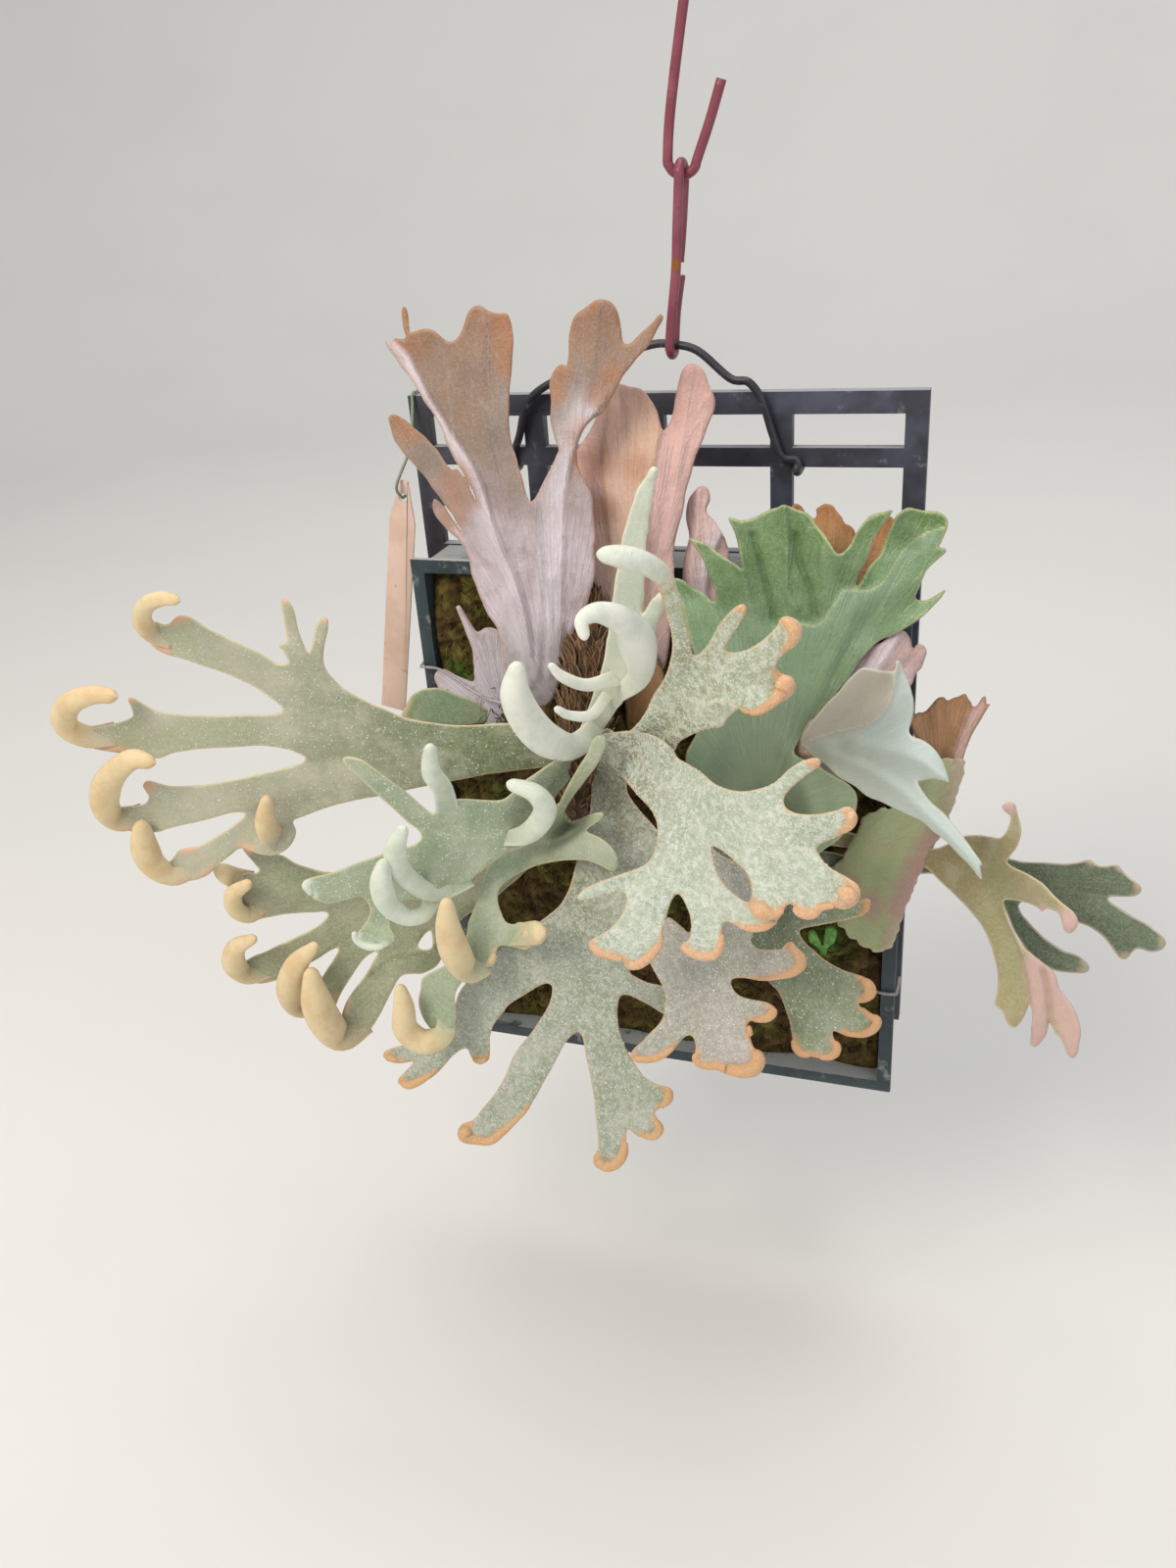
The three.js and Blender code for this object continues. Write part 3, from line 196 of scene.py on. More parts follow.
def outwards(vertices, faces):
    # six times the signed volume is the sum of a . (b x c); where it is negative the faces are turned round
    volume = 0
    for i in range(1, faces.shape[1] - 1):
        a, b, c = vertices[faces[:, [0, i, i + 1]]].transpose(1, 0, 2)
        volume += (a * np.cross(b, c)).sum()
    return faces[:, ::-1] if volume < 0 else faces


def smoothLine(stations, pieces=5):
    # Catmull-Rom: each span between two stations is a cubic that also leans on the stations either side
    p = np.vstack([2 * stations[0] - stations[1], stations, 2 * stations[-1] - stations[-2]])
    a, b, c, d = (v[:, None, :] for v in (p[:-3], p[1:-2], p[2:-1], p[3:]))
    t = np.linspace(0, 1, pieces, endpoint=False)[None, :, None]
    cubic = 2 * b + (c - a) * t + (2 * a - 5 * b + 4 * c - d) * t ** 2 + (3 * b - a - 3 * c + d) * t ** 3
    return np.vstack([(cubic / 2).reshape(-1, p.shape[1]), p[-2]])


def readPath(path):
    # stations are numbers joined by commas, with a space between one station and the next
    return np.array([station.split(",") for station in path.split()], float)


def gridFaces(rows, cols):
    # the quads of a grid of points, and its rim walked once around
    ids = np.arange(rows * cols).reshape(rows, cols)
    quads = np.stack([ids[:-1, :-1], ids[:-1, 1:], ids[1:, 1:], ids[1:, :-1]], -1).reshape(-1, 4)
    return quads, np.concatenate([ids[0, :-1], ids[:-1, -1], ids[-1, :0:-1], ids[:0:-1, 0]])


def joined(vertices, faces):
    # several surfaces as one
    starts = np.cumsum([0] + [len(some) for some in vertices])
    return np.vstack(vertices), np.vstack([some + start for some, start in zip(faces, starts)])


def unit(v):
    return v / np.maximum(np.linalg.norm(v, axis=-1, keepdims=True), 1e-12)


def tubeSurface(points, across, outward, halfWidth, halfThick, sides):
    # ring i is point i + halfWidth cos(angle) across + halfThick sin(angle) outward; the ends close on a pole
    angle = np.linspace(0, 2 * np.pi, sides, endpoint=False)
    ring = (points[:, None] + across[:, None] * (np.cos(angle)[None, :, None] * halfWidth[:, None, None])
            + outward[:, None] * (np.sin(angle)[None, :, None] * halfThick[:, None, None]))
    vertices = np.vstack([ring.reshape(-1, 3), points[:1], points[-1:]])
    s = np.arange(sides)
    t, start = (s + 1) % sides, np.arange(len(points) - 1)[:, None] * sides
    last, pole = (len(points) - 1) * sides, len(points) * sides
    here, nxt = (start + s).ravel(), (start + t).ravel()
    faces = np.concatenate([np.stack(three, -1) for three in (
        (here, nxt, nxt + sides), (here, nxt + sides, here + sides),
        (0 * s + pole, t, s), (0 * s + pole + 1, last + s, last + t))])
    return vertices, outwards(vertices, faces)


def aroundTube(values, sides):
    # each ring's value on its points, and the first and the last on the poles
    return np.concatenate([np.repeat(values, sides), values[[0, -1]]])


def wireSurface(points, diameter, sides, pieces):
    # a circle carried along the smooth curve; its frame is turned as little as possible from ring to ring
    line = smoothLine(points, pieces)
    along = unit(np.gradient(line, axis=0))
    across = np.empty_like(line)
    across[0] = unit(np.cross(along[0], [0.3, 0.5, 0.9]))
    for i in range(1, len(line)):
        across[i] = unit(across[i - 1] - along[i] * (across[i - 1] @ along[i]))
    outward = np.cross(along, across)
    half = np.full(len(line), diameter / 2)
    return tubeSurface(line, across, outward, half, half, sides)


def waves(x, y, length, seed):
    # an even, smooth roughness, mostly between -1 and 1: a third of the sum of six sines, each one across a
    # random direction
    draw = np.random.default_rng(seed)
    turns, phases, stretches = draw.uniform(0, np.pi, 6), draw.uniform(0, 6.3, 6), draw.uniform(0.7, 1.5, 6)
    total = 0
    for turn, phase, stretch in zip(turns, phases, stretches):
        total = total + np.sin(2 * np.pi * (x * np.cos(turn) + y * np.sin(turn)) / (length * stretch) + phase)
    return total / 3


# Leaf surfaces
leafForm = {
    "step": 2.4,          # grid pitch in pixels of the photograph, about 0.8 mm
    "halfThickness": 0.8,
    "rim": 1.0,           # mm over which the margin rounds off
    "webbing": 7.0,       # how softly branches join, in pixels
    "ragged": 0.5,        # how far the margin wanders, in pixels
    "raggedLength": 30,
    "softening": 5.0,     # pixels over which the depth is evened out
    "blendFloor": 0.1,
    "blendPower": 3,
    "ripple": 0.5,        # mm, dying out over rippleReach mm in from the margin
    "rippleLength": 60,
    "rippleReach": 5,
    "tipOnward": 0.8,
    "tipReach": 5,        # pixels past a tip that take its colour
    "tipRoll": 0.9,       # mm by which a tip's rim stands forward
    "lip": 0.7,           # mm by which it is thicker
    "curlRoundness": 0.78,
    "sunk": 1.0,          # mm by which a rolled tip starts behind the blade
}


def nearestOn(line, px, py):
    # for every pixel and span: how far along the span its nearest point lies, and how far away
    a, step = line[:-1], np.diff(line, axis=0)
    long2 = np.maximum((step[:, :2] ** 2).sum(1), 1e-6)
    relX, relY = px[..., None] - a[:, 0], py[..., None] - a[:, 1]
    t = np.clip((relX * step[:, 0] + relY * step[:, 1]) / long2, 0, 1)
    gap = np.hypot(relX - t * step[:, 0], relY - t * step[:, 1])
    return t, gap, a, step


def outlineField(line, px, py, flatStart):
    # distance outside a chain of tapered capsules, least over its spans; a flat start cuts off the round end
    t, gap, a, step = nearestOn(line, px, py)
    field = (gap - (a[:, 2] + t * step[:, 2])).min(-1)
    if flatStart:
        ahead = unit(step[0, :2])
        behind = -((px - line[0, 0]) * ahead[0] + (py - line[0, 1]) * ahead[1]) - 0.3 * line[0, 2]
        field = np.maximum(field, behind)
    return field


def softUnion(a, b, width):
    # the lesser of the two, rounded over width where they are nearly alike
    near = np.maximum(width - np.abs(a - b), 0) / width
    return np.minimum(a, b) - near ** 2 * width / 4


def flatNames(branches):
    return [name for name in branches if not name.startswith("curl")]


def leafOutline(branches, px, py, webbing):
    # the flat branches' fields, each one where it comes near, joined two by two with softUnion
    total = np.full(px.shape, 60.0)
    for i, name in enumerate(flatNames(branches)):
        line = smoothLine(branches[name], 4)
        line[:, 2] = np.maximum(line[:, 2], 1.5)
        room = line[:, 2].max() + 3 * webbing
        near = ((px > line[:, 0].min() - room) & (px < line[:, 0].max() + room)
                & (py > line[:, 1].min() - room) & (py < line[:, 1].max() + room))
        field = np.full(px.shape, 60.0)
        field[near] = outlineField(line, px[near], py[near], i == 0)
        total = softUnion(total, field, webbing)
    return total


def marginField(outline, px, py):
    # distance from a closed smooth line, less than nothing inside it; a pixel is inside where a line drawn
    # from it to the right crosses the margin an odd number of times
    loop = smoothLine(np.vstack([outline[-1:], outline, outline[:2]]), 3)[3:-3]
    away, inside = np.full(px.shape, 1e9), np.zeros(px.shape, bool)
    for (ax, ay), (bx, by) in zip(loop[:-1], loop[1:]):
        dx, dy = bx - ax, by - ay
        t = np.clip(((px - ax) * dx + (py - ay) * dy) / max(dx * dx + dy * dy, 1e-9), 0, 1)
        away = np.minimum(away, (px - ax - t * dx) ** 2 + (py - ay - t * dy) ** 2)
        if ay != by:
            inside ^= ((ay > py) != (by > py)) & (px < dx * (py - ay) / dy + ax)
    return np.sqrt(away) * np.where(inside, -1, 1)


def creaseRise(form, px, py):
    # a crease with a reach is a step: its left side, drawn downwards, stands height mm proud at the line and
    # comes down over the reach; one with no reach is a ridge, height exp(-(d / width)^2)
    rise, away, flap = np.zeros(px.shape), np.full(px.shape, 99.0), np.zeros(px.shape)
    for path, ((height, width, reach),) in zip(form["crease"], form["rise"]):
        t, gap, a, step = nearestOn(smoothLine(path, 3), px, py)
        best = gap.argmin(-1)[..., None]
        gap = np.take_along_axis(gap, best, -1)[..., 0]
        if not reach:
            rise = rise + height * np.exp(-(gap / width) ** 2)
            continue
        turn = step[:, 0] * (py[..., None] - a[:, 1]) - step[:, 1] * (px[..., None] - a[:, 0])
        side = np.sign(np.take_along_axis(turn, best, -1)[..., 0]) * gap
        raised = np.clip(0.5 + side / width / 2, 0, 1)
        raised = raised * raised * (3 - 2 * raised) * np.exp(-(np.maximum(side, 0) / reach) ** 2)
        rise = rise + height * raised
        flap = np.maximum(flap, raised)
        away = np.where(np.abs(side) < 12, np.minimum(away, 2.2 * np.abs(side - 0.6 * width)), away)
    return rise, away, flap


def leafDepth(branches, px, py):
    # depth at a pixel: every flat branch's own depth there, weighed by how near the pixel is in half widths
    total, sum_ = 0, 0
    for name in flatNames(branches):
        t, gap, a, step = nearestOn(branches[name], px, py)
        reach = gap / (a[:, 2] + t * step[:, 2])
        best = reach.argmin(-1)[..., None]
        depth = np.take_along_axis(a[:, 3] + t * step[:, 3], best, -1)[..., 0]
        reach = np.take_along_axis(reach, best, -1)[..., 0]
        share = 1 / (reach ** 2 + leafForm["blendFloor"]) ** leafForm["blendPower"]
        total, sum_ = total + share, sum_ + share * depth
    return sum_ / total


def evened(values, weights, sigma):
    # Gaussian mean over the leaf's own cells, first across and then down
    offsets = np.arange(-int(3 * sigma), int(3 * sigma) + 1)
    kernel = np.exp(-(offsets / sigma) ** 2 / 2)
    top, bottom = values * weights, weights.astype(float)
    for axis in (0, 1):
        top = sum(k * np.roll(top, o, axis) for k, o in zip(kernel, offsets))
        bottom = sum(k * np.roll(bottom, o, axis) for k, o in zip(kernel, offsets))
    return top / np.maximum(bottom, 1e-9)


def sampled(grid, col, row):
    # bilinear reading of a grid at broken columns and rows
    c, r = np.clip(col.astype(int), 0, grid.shape[1] - 2), np.clip(row.astype(int), 0, grid.shape[0] - 2)
    u, v = col - c, row - r
    return ((grid[r, c] * (1 - u) + grid[r, c + 1] * u) * (1 - v)
            + (grid[r + 1, c] * (1 - u) + grid[r + 1, c + 1] * u) * v)


def clippedGrid(field):
    # the part of a grid where field < 0: each cell is two triangles, cut along the zero line
    rows, cols = field.shape
    ids = np.arange(rows * cols).reshape(rows, cols)
    a, b, c, d = ids[:-1, :-1], ids[:-1, 1:], ids[1:, 1:], ids[1:, :-1]
    tris = np.concatenate([np.stack([a, b, c], -1).reshape(-1, 3), np.stack([a, c, d], -1).reshape(-1, 3)])
    value = field.ravel()
    inside = value < 0
    count = inside[tris].sum(1)

    def oddFirst(some, flag):
        start = (inside[some] == flag).argmax(1)
        return np.take_along_axis(some, (start[:, None] + np.arange(3)) % 3, 1)

    one, two = oddFirst(tris[count == 1], True), oddFirst(tris[count == 2], False)
    edges = np.sort(np.concatenate([one[:, [0, 1]], one[:, [0, 2]], two[:, [0, 1]], two[:, [0, 2]]]), 1)
    cut, where = np.unique(edges, axis=0, return_inverse=True)
    where = where.ravel() + rows * cols
    share = value[cut[:, 0]] / (value[cut[:, 0]] - value[cut[:, 1]])
    n, m = len(one), len(two)
    c1, c2, c3, c4 = where[:n], where[n:2 * n], where[2 * n:2 * n + m], where[2 * n + m:]
    faces = np.concatenate([tris[count == 3], np.stack([one[:, 0], c1, c2], 1),
                            np.stack([c3, two[:, 1], two[:, 2]], 1), np.stack([c3, two[:, 2], c4], 1)])
    (row, rowA, rowB), (col, colA, colB) = zip(*(divmod(some, cols) for some in (ids.ravel(), *cut.T)))
    col = np.concatenate([col, colA + share * (colB - colA)])
    row = np.concatenate([row, rowA + share * (rowB - rowA)])
    used, faces = np.unique(faces, return_inverse=True)
    return col[used], row[used], faces.reshape(-1, 3), used >= rows * cols


def leafTips(branches):
    # the ends of the branches that stick out of the leaf
    ends = []
    flat = flatNames(branches)
    for name in flat:
        line = branches[name]
        x, y = line[-1, :2] + unit(line[-1, :2] - line[-2, :2]) * line[-1, 2] * leafForm["tipOnward"]
        others = {key: branches[key] for key in flat if key != name}
        if not others or leafOutline(others, np.array([x]), np.array([y]), 1.0)[0] > 0:
            ends.append(line[-1:, :3])
    return ends


def sheetSurface(branches, form):
    # a leaf's flat part: the outline cut from a grid, laid at its depth, with a front and a back that meet at
    # the margin; half the thickness there is h sqrt(1 - (1 - d / rim)^2), d being the way in from the margin
    step = form["step"]
    if form["outline"]:
        reached, room = form["outline"][0], 8
    else:
        reached = np.vstack([branches[name] for name in flatNames(branches)])
        reached, room = reached[:, :2], reached[:, 2].max() + 12
    x0, y0 = reached.min(0) - room
    gx, gy = np.meshgrid(np.arange(x0, reached[:, 0].max() + room, step),
                         np.arange(y0, reached[:, 1].max() + room, step))
    if form["outline"]:
        field = marginField(form["outline"][0], gx, gy)
        for hole in form["hole"]:
            field = np.maximum(field, -marginField(hole, gx, gy))
        ends = form["roll"] + form["tint"]
    else:
        field = leafOutline(branches, gx, gy, form["webbing"])
        ends = leafTips(branches)
    field = field + form["ragged"] * waves(gx, gy, form["raggedLength"], form["seed"])
    depth = evened(leafDepth(branches, gx, gy), field < 3, form["softening"] / step)
    rise, crease, flap = creaseRise(form, gx, gy)
    col, row, faces, onMargin = clippedGrid(field)
    px, py = x0 + col * step, y0 + row * step
    depth, crease, flap = (sampled(grid, col, row) for grid in (depth + rise, crease, flap))
    perPixel = mmPerPixel(px, py, depth)
    edge = np.where(onMargin, 0, np.maximum(-sampled(field, col, row), 0)) * perPixel
    tip = np.zeros(len(px))
    if ends:
        ends = np.vstack(ends)
        away = np.hypot(px[:, None] - ends[:, 0], py[:, None] - ends[:, 1])
        tip = np.exp(-(away / (1.1 * ends[:, 2] + form["tipReach"])) ** 4).max(1)
    depth = depth + form["ripple"] * waves(px, py, form["rippleLength"], form["seed"] + 1) * np.exp(
        -edge / form["rippleReach"])
    depth = depth + form["tipRoll"] * tip * np.exp(-((edge - 1.1) / 0.9) ** 2)
    middle = sight(px, py, depth)
    look = unit(middle - eye)
    half = form["halfThickness"] * np.sqrt(1 - (1 - np.clip(edge / form["rim"], 0, 1)) ** 2)
    half = half + form["lip"] * tip * np.exp(-((edge - 1.5) / 1.1) ** 2)
    count = len(px)
    inner = np.flatnonzero(~onMargin)
    backOf = np.arange(count)
    backOf[inner] = count + np.arange(len(inner))
    vertices = np.vstack([middle - look * half[:, None], (middle + look * half[:, None])[inner]])
    faces = np.concatenate([faces, backOf[faces][:, ::-1]])
    take = np.concatenate([np.arange(count), inner])
    values = {"edge": np.minimum(edge, crease * perPixel), "tip": tip, "curl": np.zeros(count), "flap": flap}
    values = {key: value[take] for key, value in values.items()}
    return vertices, outwards(vertices, faces), values, px[take], py[take]


def tubeFrame(points):
    # directions along a line, across it and outwards as seen from the viewpoint, and the mm walked along it
    along = unit(np.gradient(points, axis=0))
    across = unit(np.cross(along, unit(points - eye)))
    walked = np.concatenate([[0], np.cumsum(np.linalg.norm(np.diff(points, axis=0), axis=1))])
    return along, across, np.cross(across, along), walked


def curlSurface(stations, shift, form):
    # a rolled tip: an ellipse carried along the smooth line; it leaves the blade flat, with its start sunk
    # behind it, and is round by the third station; its end is a quarter of an ellipse
    long = np.linalg.norm(stations[-1, :2] - stations[-2, :2])
    onward = stations[-1] + (stations[-1] - stations[-2]) * stations[-1, 2] / long
    onward[2] = 0.72 * stations[-1, 2]
    pieces, sides = 6, 20
    line = smoothLine(np.vstack([stations, onward]), pieces)
    rolled = np.clip(np.arange(len(line)) / pieces / 2, 0, 1)
    rolled = rolled ** 2 * (3 - 2 * rolled)
    line[:, 3] += shift - form["sunk"] * (1 - rolled)
    points = sight(line[:, 0], line[:, 1], line[:, 3])
    _, across, outward, walked = tubeFrame(points)
    halfWidth = np.maximum(line[:, 2], 1.5) * mmPerPixel(line[:, 0], line[:, 1], line[:, 3])
    left = np.clip((walked[-1] - walked) / (1.25 * halfWidth[-pieces]), 0, 1)
    ending = np.sqrt(1 - (1 - left) ** 2)
    halfThick = (1 - rolled) * 0.55 * form["halfThickness"] + rolled * form["curlRoundness"] * halfWidth
    halfWidth = halfWidth * ending * (1 - 0.08 * (1 - rolled))
    vertices, faces = tubeSurface(points, across, outward, halfWidth, halfThick * ending, sides)
    turned = np.append(np.tile(np.arange(sides) / sides, len(line)), [0, 0])
    edge = np.abs(np.sin(2 * np.pi * turned)) * aroundTube(halfWidth, sides)
    ones = np.ones(len(vertices))
    values = {"edge": edge, "tip": ones, "curl": aroundTube(rolled, sides) * np.clip(edge / 0.7 + 0.25, 0, 1),
              "flap": 0 * ones}
    return vertices, faces, values, aroundTube(line[:, 0], sides), aroundTube(line[:, 1], sides)


def rollSurface(stations, branches, form):
    # a rolled rim: an ellipse carried along the margin, 0.8 as thick as it is wide, with both ends round
    line, sides = smoothLine(stations, 5), 14
    depth = leafDepth(branches, line[:, 0], line[:, 1])
    rise, _, _ = creaseRise(form, line[:, 0], line[:, 1])
    half = line[:, 2] * mmPerPixel(line[:, 0], line[:, 1], depth)
    points = sight(line[:, 0], line[:, 1], depth + rise + 0.45 * half)
    _, across, outward, walked = tubeFrame(points)
    near = np.clip(np.minimum(walked, walked[-1] - walked) / half, 0, 1)
    half = half * np.sqrt(1 - (1 - near) ** 2)
    vertices, faces = tubeSurface(points, across, outward, half, 0.8 * half, sides)
    ones = np.ones(len(vertices))
    values = {"edge": 0.9 * ones, "tip": ones, "curl": 0 * ones, "flap": 0 * ones}
    return vertices, faces, values, aroundTube(line[:, 0], sides), aroundTube(line[:, 1], sides)


def leafPiece(name, leaf, material, node, slot, **changes):
    # a leaf is its flat sheet with its rolled tips and rolled rims on it
    branches = leaf["branches"]
    form = {**leafForm, **leaf, "seed": len(name) * 7 + len(branches), **changes}
    parts = [sheetSurface(branches, form)]
    for key, stations in branches.items():
        if key.startswith("curl"):
            depth = leafDepth(branches, stations[:1, 0], stations[:1, 1])[0]
            parts.append(curlSurface(stations, depth - stations[0, 3], form))
    parts += [rollSurface(roll, branches, form) for roll in form["roll"]]
    vertices, faces, values, px, py = zip(*parts)
    vertices, faces = joined(vertices, faces)
    values = {key: np.concatenate([some[key] for some in values]) for key in values[0]}
    px, py = np.concatenate(px), np.concatenate(py)
    # the leaf's own fan, for its veins: turn about its foot and distance from it
    foot = branches[flatNames(branches)[0]][0, :2]
    mean = np.arctan2((py - foot[1]).mean(), (px - foot[0]).mean())
    away = np.hypot(px - foot[0], py - foot[1])
    turn = (np.arctan2(py - foot[1], px - foot[0]) - mean + np.pi) % (2 * np.pi) - np.pi
    values["root"] = away / away.max()
    fan = np.stack([turn * 60, away * 0.34], -1)  # about millimetres across and along at 60 mm from the foot
    return makePiece(name, vertices, faces, material, [node], slot, values, fan)


def drawnLeaf(text):
    # sorts the chains of a leaf's table by their words; a word that isn't one of these names a branch
    leaf = {"outline": [], "hole": [], "roll": [], "tint": [], "crease": [], "rise": [], "branches": {}}
    for word, path in re.findall("([a-zA-Z]+)([^a-zA-Z]+)", text):
        if word in leaf:
            leaf[word].append(readPath(path))
        else:
            leaf["branches"][word] = readPath(path)
    return leaf


# Leaf tables, read along each leaf, in pixels of the photograph. A word starts a chain of stations.
# A branch has stations of x,y,half width,depth in mm, and is a rolled tip if its name starts with curl.
# outline and hole are closed margins of x,y. roll is a thick rolled rim of x,y,half width. crease is a line
# of x,y; the rise after it holds its height in mm, its width and the reach of a step, or 0 for a ridge. tint
# holds places x,y,radius that take the colour of a tip.
frondLeftLong = drawnLeaf("""
trunk 594,766,12,76 560,762,22,82 500,762,27,91 440,766,33,98 365,764,50,105
webTop 400,745,20,102 350,715,28,107 308,690,20,110
lobeTop 335,728,25,107 300,702,24,110 250,678,16,113 210,659,17,116 168,649,14,118
curlTop 176,650,14,117 156,646,11,119 145,633,10,122 149,618,9,125 164,611,8,127 178,612,6,127
spikeTall 309,690,11,110 299,650,7,111 291,616,4,112
toothTall 304,672,7,110 286,659,4,111
spikeShort 322,690,10,109 327,658,6,110 331,636,4,110
bumpTop 196,650,9,117 183,633,5,117
lobeUpper 345,755,30,107 305,745,24,110 240,745,17,114 180,748,19,117 110,748,14,118
curlUpper 118,749,14,117 92,752,12,119 71,744,12,122 65,730,13,125 74,716,12,127 95,709,10,128
  112,710,8,128
spurUpper 146,742,9,117 134,714,4,118
lobeMid 345,792,28,106 300,806,22,108 250,811,17,111 200,820,17,114 140,833,13,116
curlMid 146,831,13,115 122,837,12,117 108,824,14,120 108,804,15,123 118,787,13,125 135,775,11,126
  151,777,8,126
bumpMid 162,818,9,115 150,801,5,116
lobeLow 325,816,24,105 290,832,21,107 240,852,14,110 195,880,12,113
curlLow 204,878,12,112 180,893,11,114 158,884,13,117 148,866,14,119 145,847,10,120
spurLow 206,874,7,112 194,863,4,113
fingerRoot 292,838,12,107 286,858,10,110 262,866,7,112
curlFinger 286,860,12,110 277,852,13,113 271,838,11,115 272,819,7,117
spurFinger 266,862,6,111 250,848,4,112
outline 600,755 578,747 552,741 522,738 492,739 465,740 440,737 425,735 405,729 390,722 380,718 365,711
  350,702 340,692 333,683 330,675 330,665 332,655 335,643 335,634 333,630 329,630 325,634 321,643 319,655
  316,664 312,662 307,650 304,640 301,627 297,617 292,611 288,611 287,616 289,628 291,642 293,653 290,656
  285,657 285,661 288,664 293,672 293,677 283,677 275,672 265,666 250,659 235,652 222,646 210,640 200,633
  192,629 184,628 178,631 173,636 166,637 159,634 152,641 150,650 156,660 168,667 185,672 200,677 215,682
  230,687 245,694 258,700 270,708 280,715 287,721 288,726 283,728 270,729 250,729 230,730 210,730 190,729
  175,728 160,725 148,719 140,714 133,711 131,715 134,722 136,730 130,734 120,737 108,740 94,744 87,753
  94,763 110,767 130,769 148,770 162,774 175,769 190,766 205,764 230,763 260,761 280,762 295,765 305,769
  311,773 309,777 300,781 285,785 265,790 245,794 225,798 205,801 190,802 175,802 165,800 158,798 150,797
  146,802 149,808 152,814 148,820 138,822 125,823 114,827 109,836 116,844 130,848 148,849 162,849 170,846
  185,842 200,839 215,835 235,830 248,829 250,831 245,837 235,845 222,853 210,860 200,864 192,865 182,868
  177,875 172,880 164,882 162,889 170,896 185,899 200,898 212,893 220,885 228,878 236,872 244,866 254,868
  266,872 280,873 292,867 300,857 302,847 299,838 310,833 325,827 345,821 365,816 383,813 400,810 430,803
  462,797 500,790 545,784 575,780 600,776
tint 183,633,6 150,802,7 134,713,3 192,868,6 207,884,9 252,860,9 168,661,6 118,764,7 290,613,2 332,632,2""")
frondLeftLow = drawnLeaf("""
trunk 590,812,10,66 530,862,16,73 470,900,28,82 420,924,36,88 372,930,38,92
lobeTop 375,920,28,92 335,908,24,95 290,904,22,98 258,903,15,100
spikeTop 258,892,8,100 246,871,3,101
curlTopBall 258,898,10,100 238,895,11,103 226,889,9,105
curlTopHook 268,920,10,99 256,933,9,101 241,928,9,104 238,913,9,106 251,903,6,107
lobeMid 385,940,24,92 340,955,16,95 300,975,14,97 268,990,11,99
curlMid 274,988,11,98 253,995,10,101 239,983,12,104 241,967,10,106 256,959,6,107
lobeLow 395,935,22,91 370,965,15,94 350,995,14,96 325,1030,10,98
curlLow 330,1022,11,98 305,1027,12,101 296,1008,14,105 303,984,12,108 319,967,6,109
lobeFoot 420,935,26,90 400,980,18,94 383,1020,16,96 364,1052,14,98
curlFoot 372,1042,15,97 350,1058,15,101 334,1045,17,105 323,1022,16,109 318,996,9,110
nubFoot 365,1035,10,98 350,1025,8,100
strip 470,925,16,85 440,968,9,92 405,985,8,96 386,990,5,98
outline 596,800 560,826 520,850 480,868 450,876 420,882 390,884 366,888 345,890 337,890 325,888 310,884
  300,880 288,873 275,870 262,866 252,863 248,866 251,871 257,878 262,884 265,888 261,891 253,890 246,893
  240,899 236,907 236,918 240,928 248,935 260,939 270,937 285,934 300,932 318,931 330,930 335,933 332,938
  324,945 312,951 300,957 285,964 270,971 258,976 250,981 247,989 250,998 260,1003 272,1003 286,999 300,992
  312,985 324,979 335,971 346,967 341,978 333,990 324,1005 316,1020 313,1033 320,1040 332,1039 341,1029
  347,1016 357,999 367,984 376,974 386,971 378,986 366,1004 354,1021 349,1034 347,1048 353,1058 364,1061
  374,1055 381,1046 390,1031 399,1013 408,997 420,994 432,993 446,985 453,970 459,951 475,935 500,920
  530,895 560,865 590,828 600,812
hole 426,965 433,954 440,950 441,966 432,969
crease 383,990 400,978 425,975 446,968 rise -1.4,2.5,18
tint 262,930,6 346,1027,9 250,868,4 240,925,5 262,1002,6 366,1058,8""")
frondMidLeft = drawnLeaf("""
trunk 597,795,9,76 578,830,14,84 550,856,26,94 510,860,34,105 470,858,36,112 438,868,28,117
horn 470,835,14,113 440,830,14,118 398,808,12,124 370,785,10,128 356,776,6,129
curlTop 458,838,14,113 452,806,11,118 440,788,10,122 439,766,7,125
curlRight 512,856,8,103 535,852,11,104 550,840,12,107 556,824,12,111 545,809,10,114 523,801,7,116
curlNear 478,893,14,110 446,911,10,117 420,900,11,122 405,882,12,127 404,864,11,129 410,849,7,130
stripNear 486,885,16,109 455,902,14,114
rootFar 446,876,20,115 442,912,11,118
curlFar 443,904,12,117 436,930,9,121 416,936,9,126 397,923,12,130 389,903,12,132 391,884,8,132
stripFar 436,880,20,116 375,895,15,121 345,905,13,124 320,905,8,126
crescent 443,900,9,117 430,935,7,119 412,955,5,122 390,968,5,124 372,964,5,125 360,952,3,126
outline 349,776 352,772 360,772 371,776 385,786 398,796 411,805 423,815 434,825 442,830 447,824 455,818
  470,815 492,816 512,816 523,808 530,800 545,790 559,780 580,768 600,760 606,770 588,788 566,815 558,840
  546,857 532,865 520,868 510,875 496,885 483,896 472,907 458,918 440,922 420,918 404,924 398,944 404,958
  392,967 372,966 360,958 368,948 378,930 370,915 352,919 336,922 322,918 312,908 309,900 316,896 340,890
  360,882 380,875 398,868 415,864 424,861 430,855 427,847 415,838 400,824 384,810 368,795 354,782
roll 309,900,4 313,904,5 319,914,3
roll 361,950,2.5 364,959,4 376,966,4 392,966,3""")
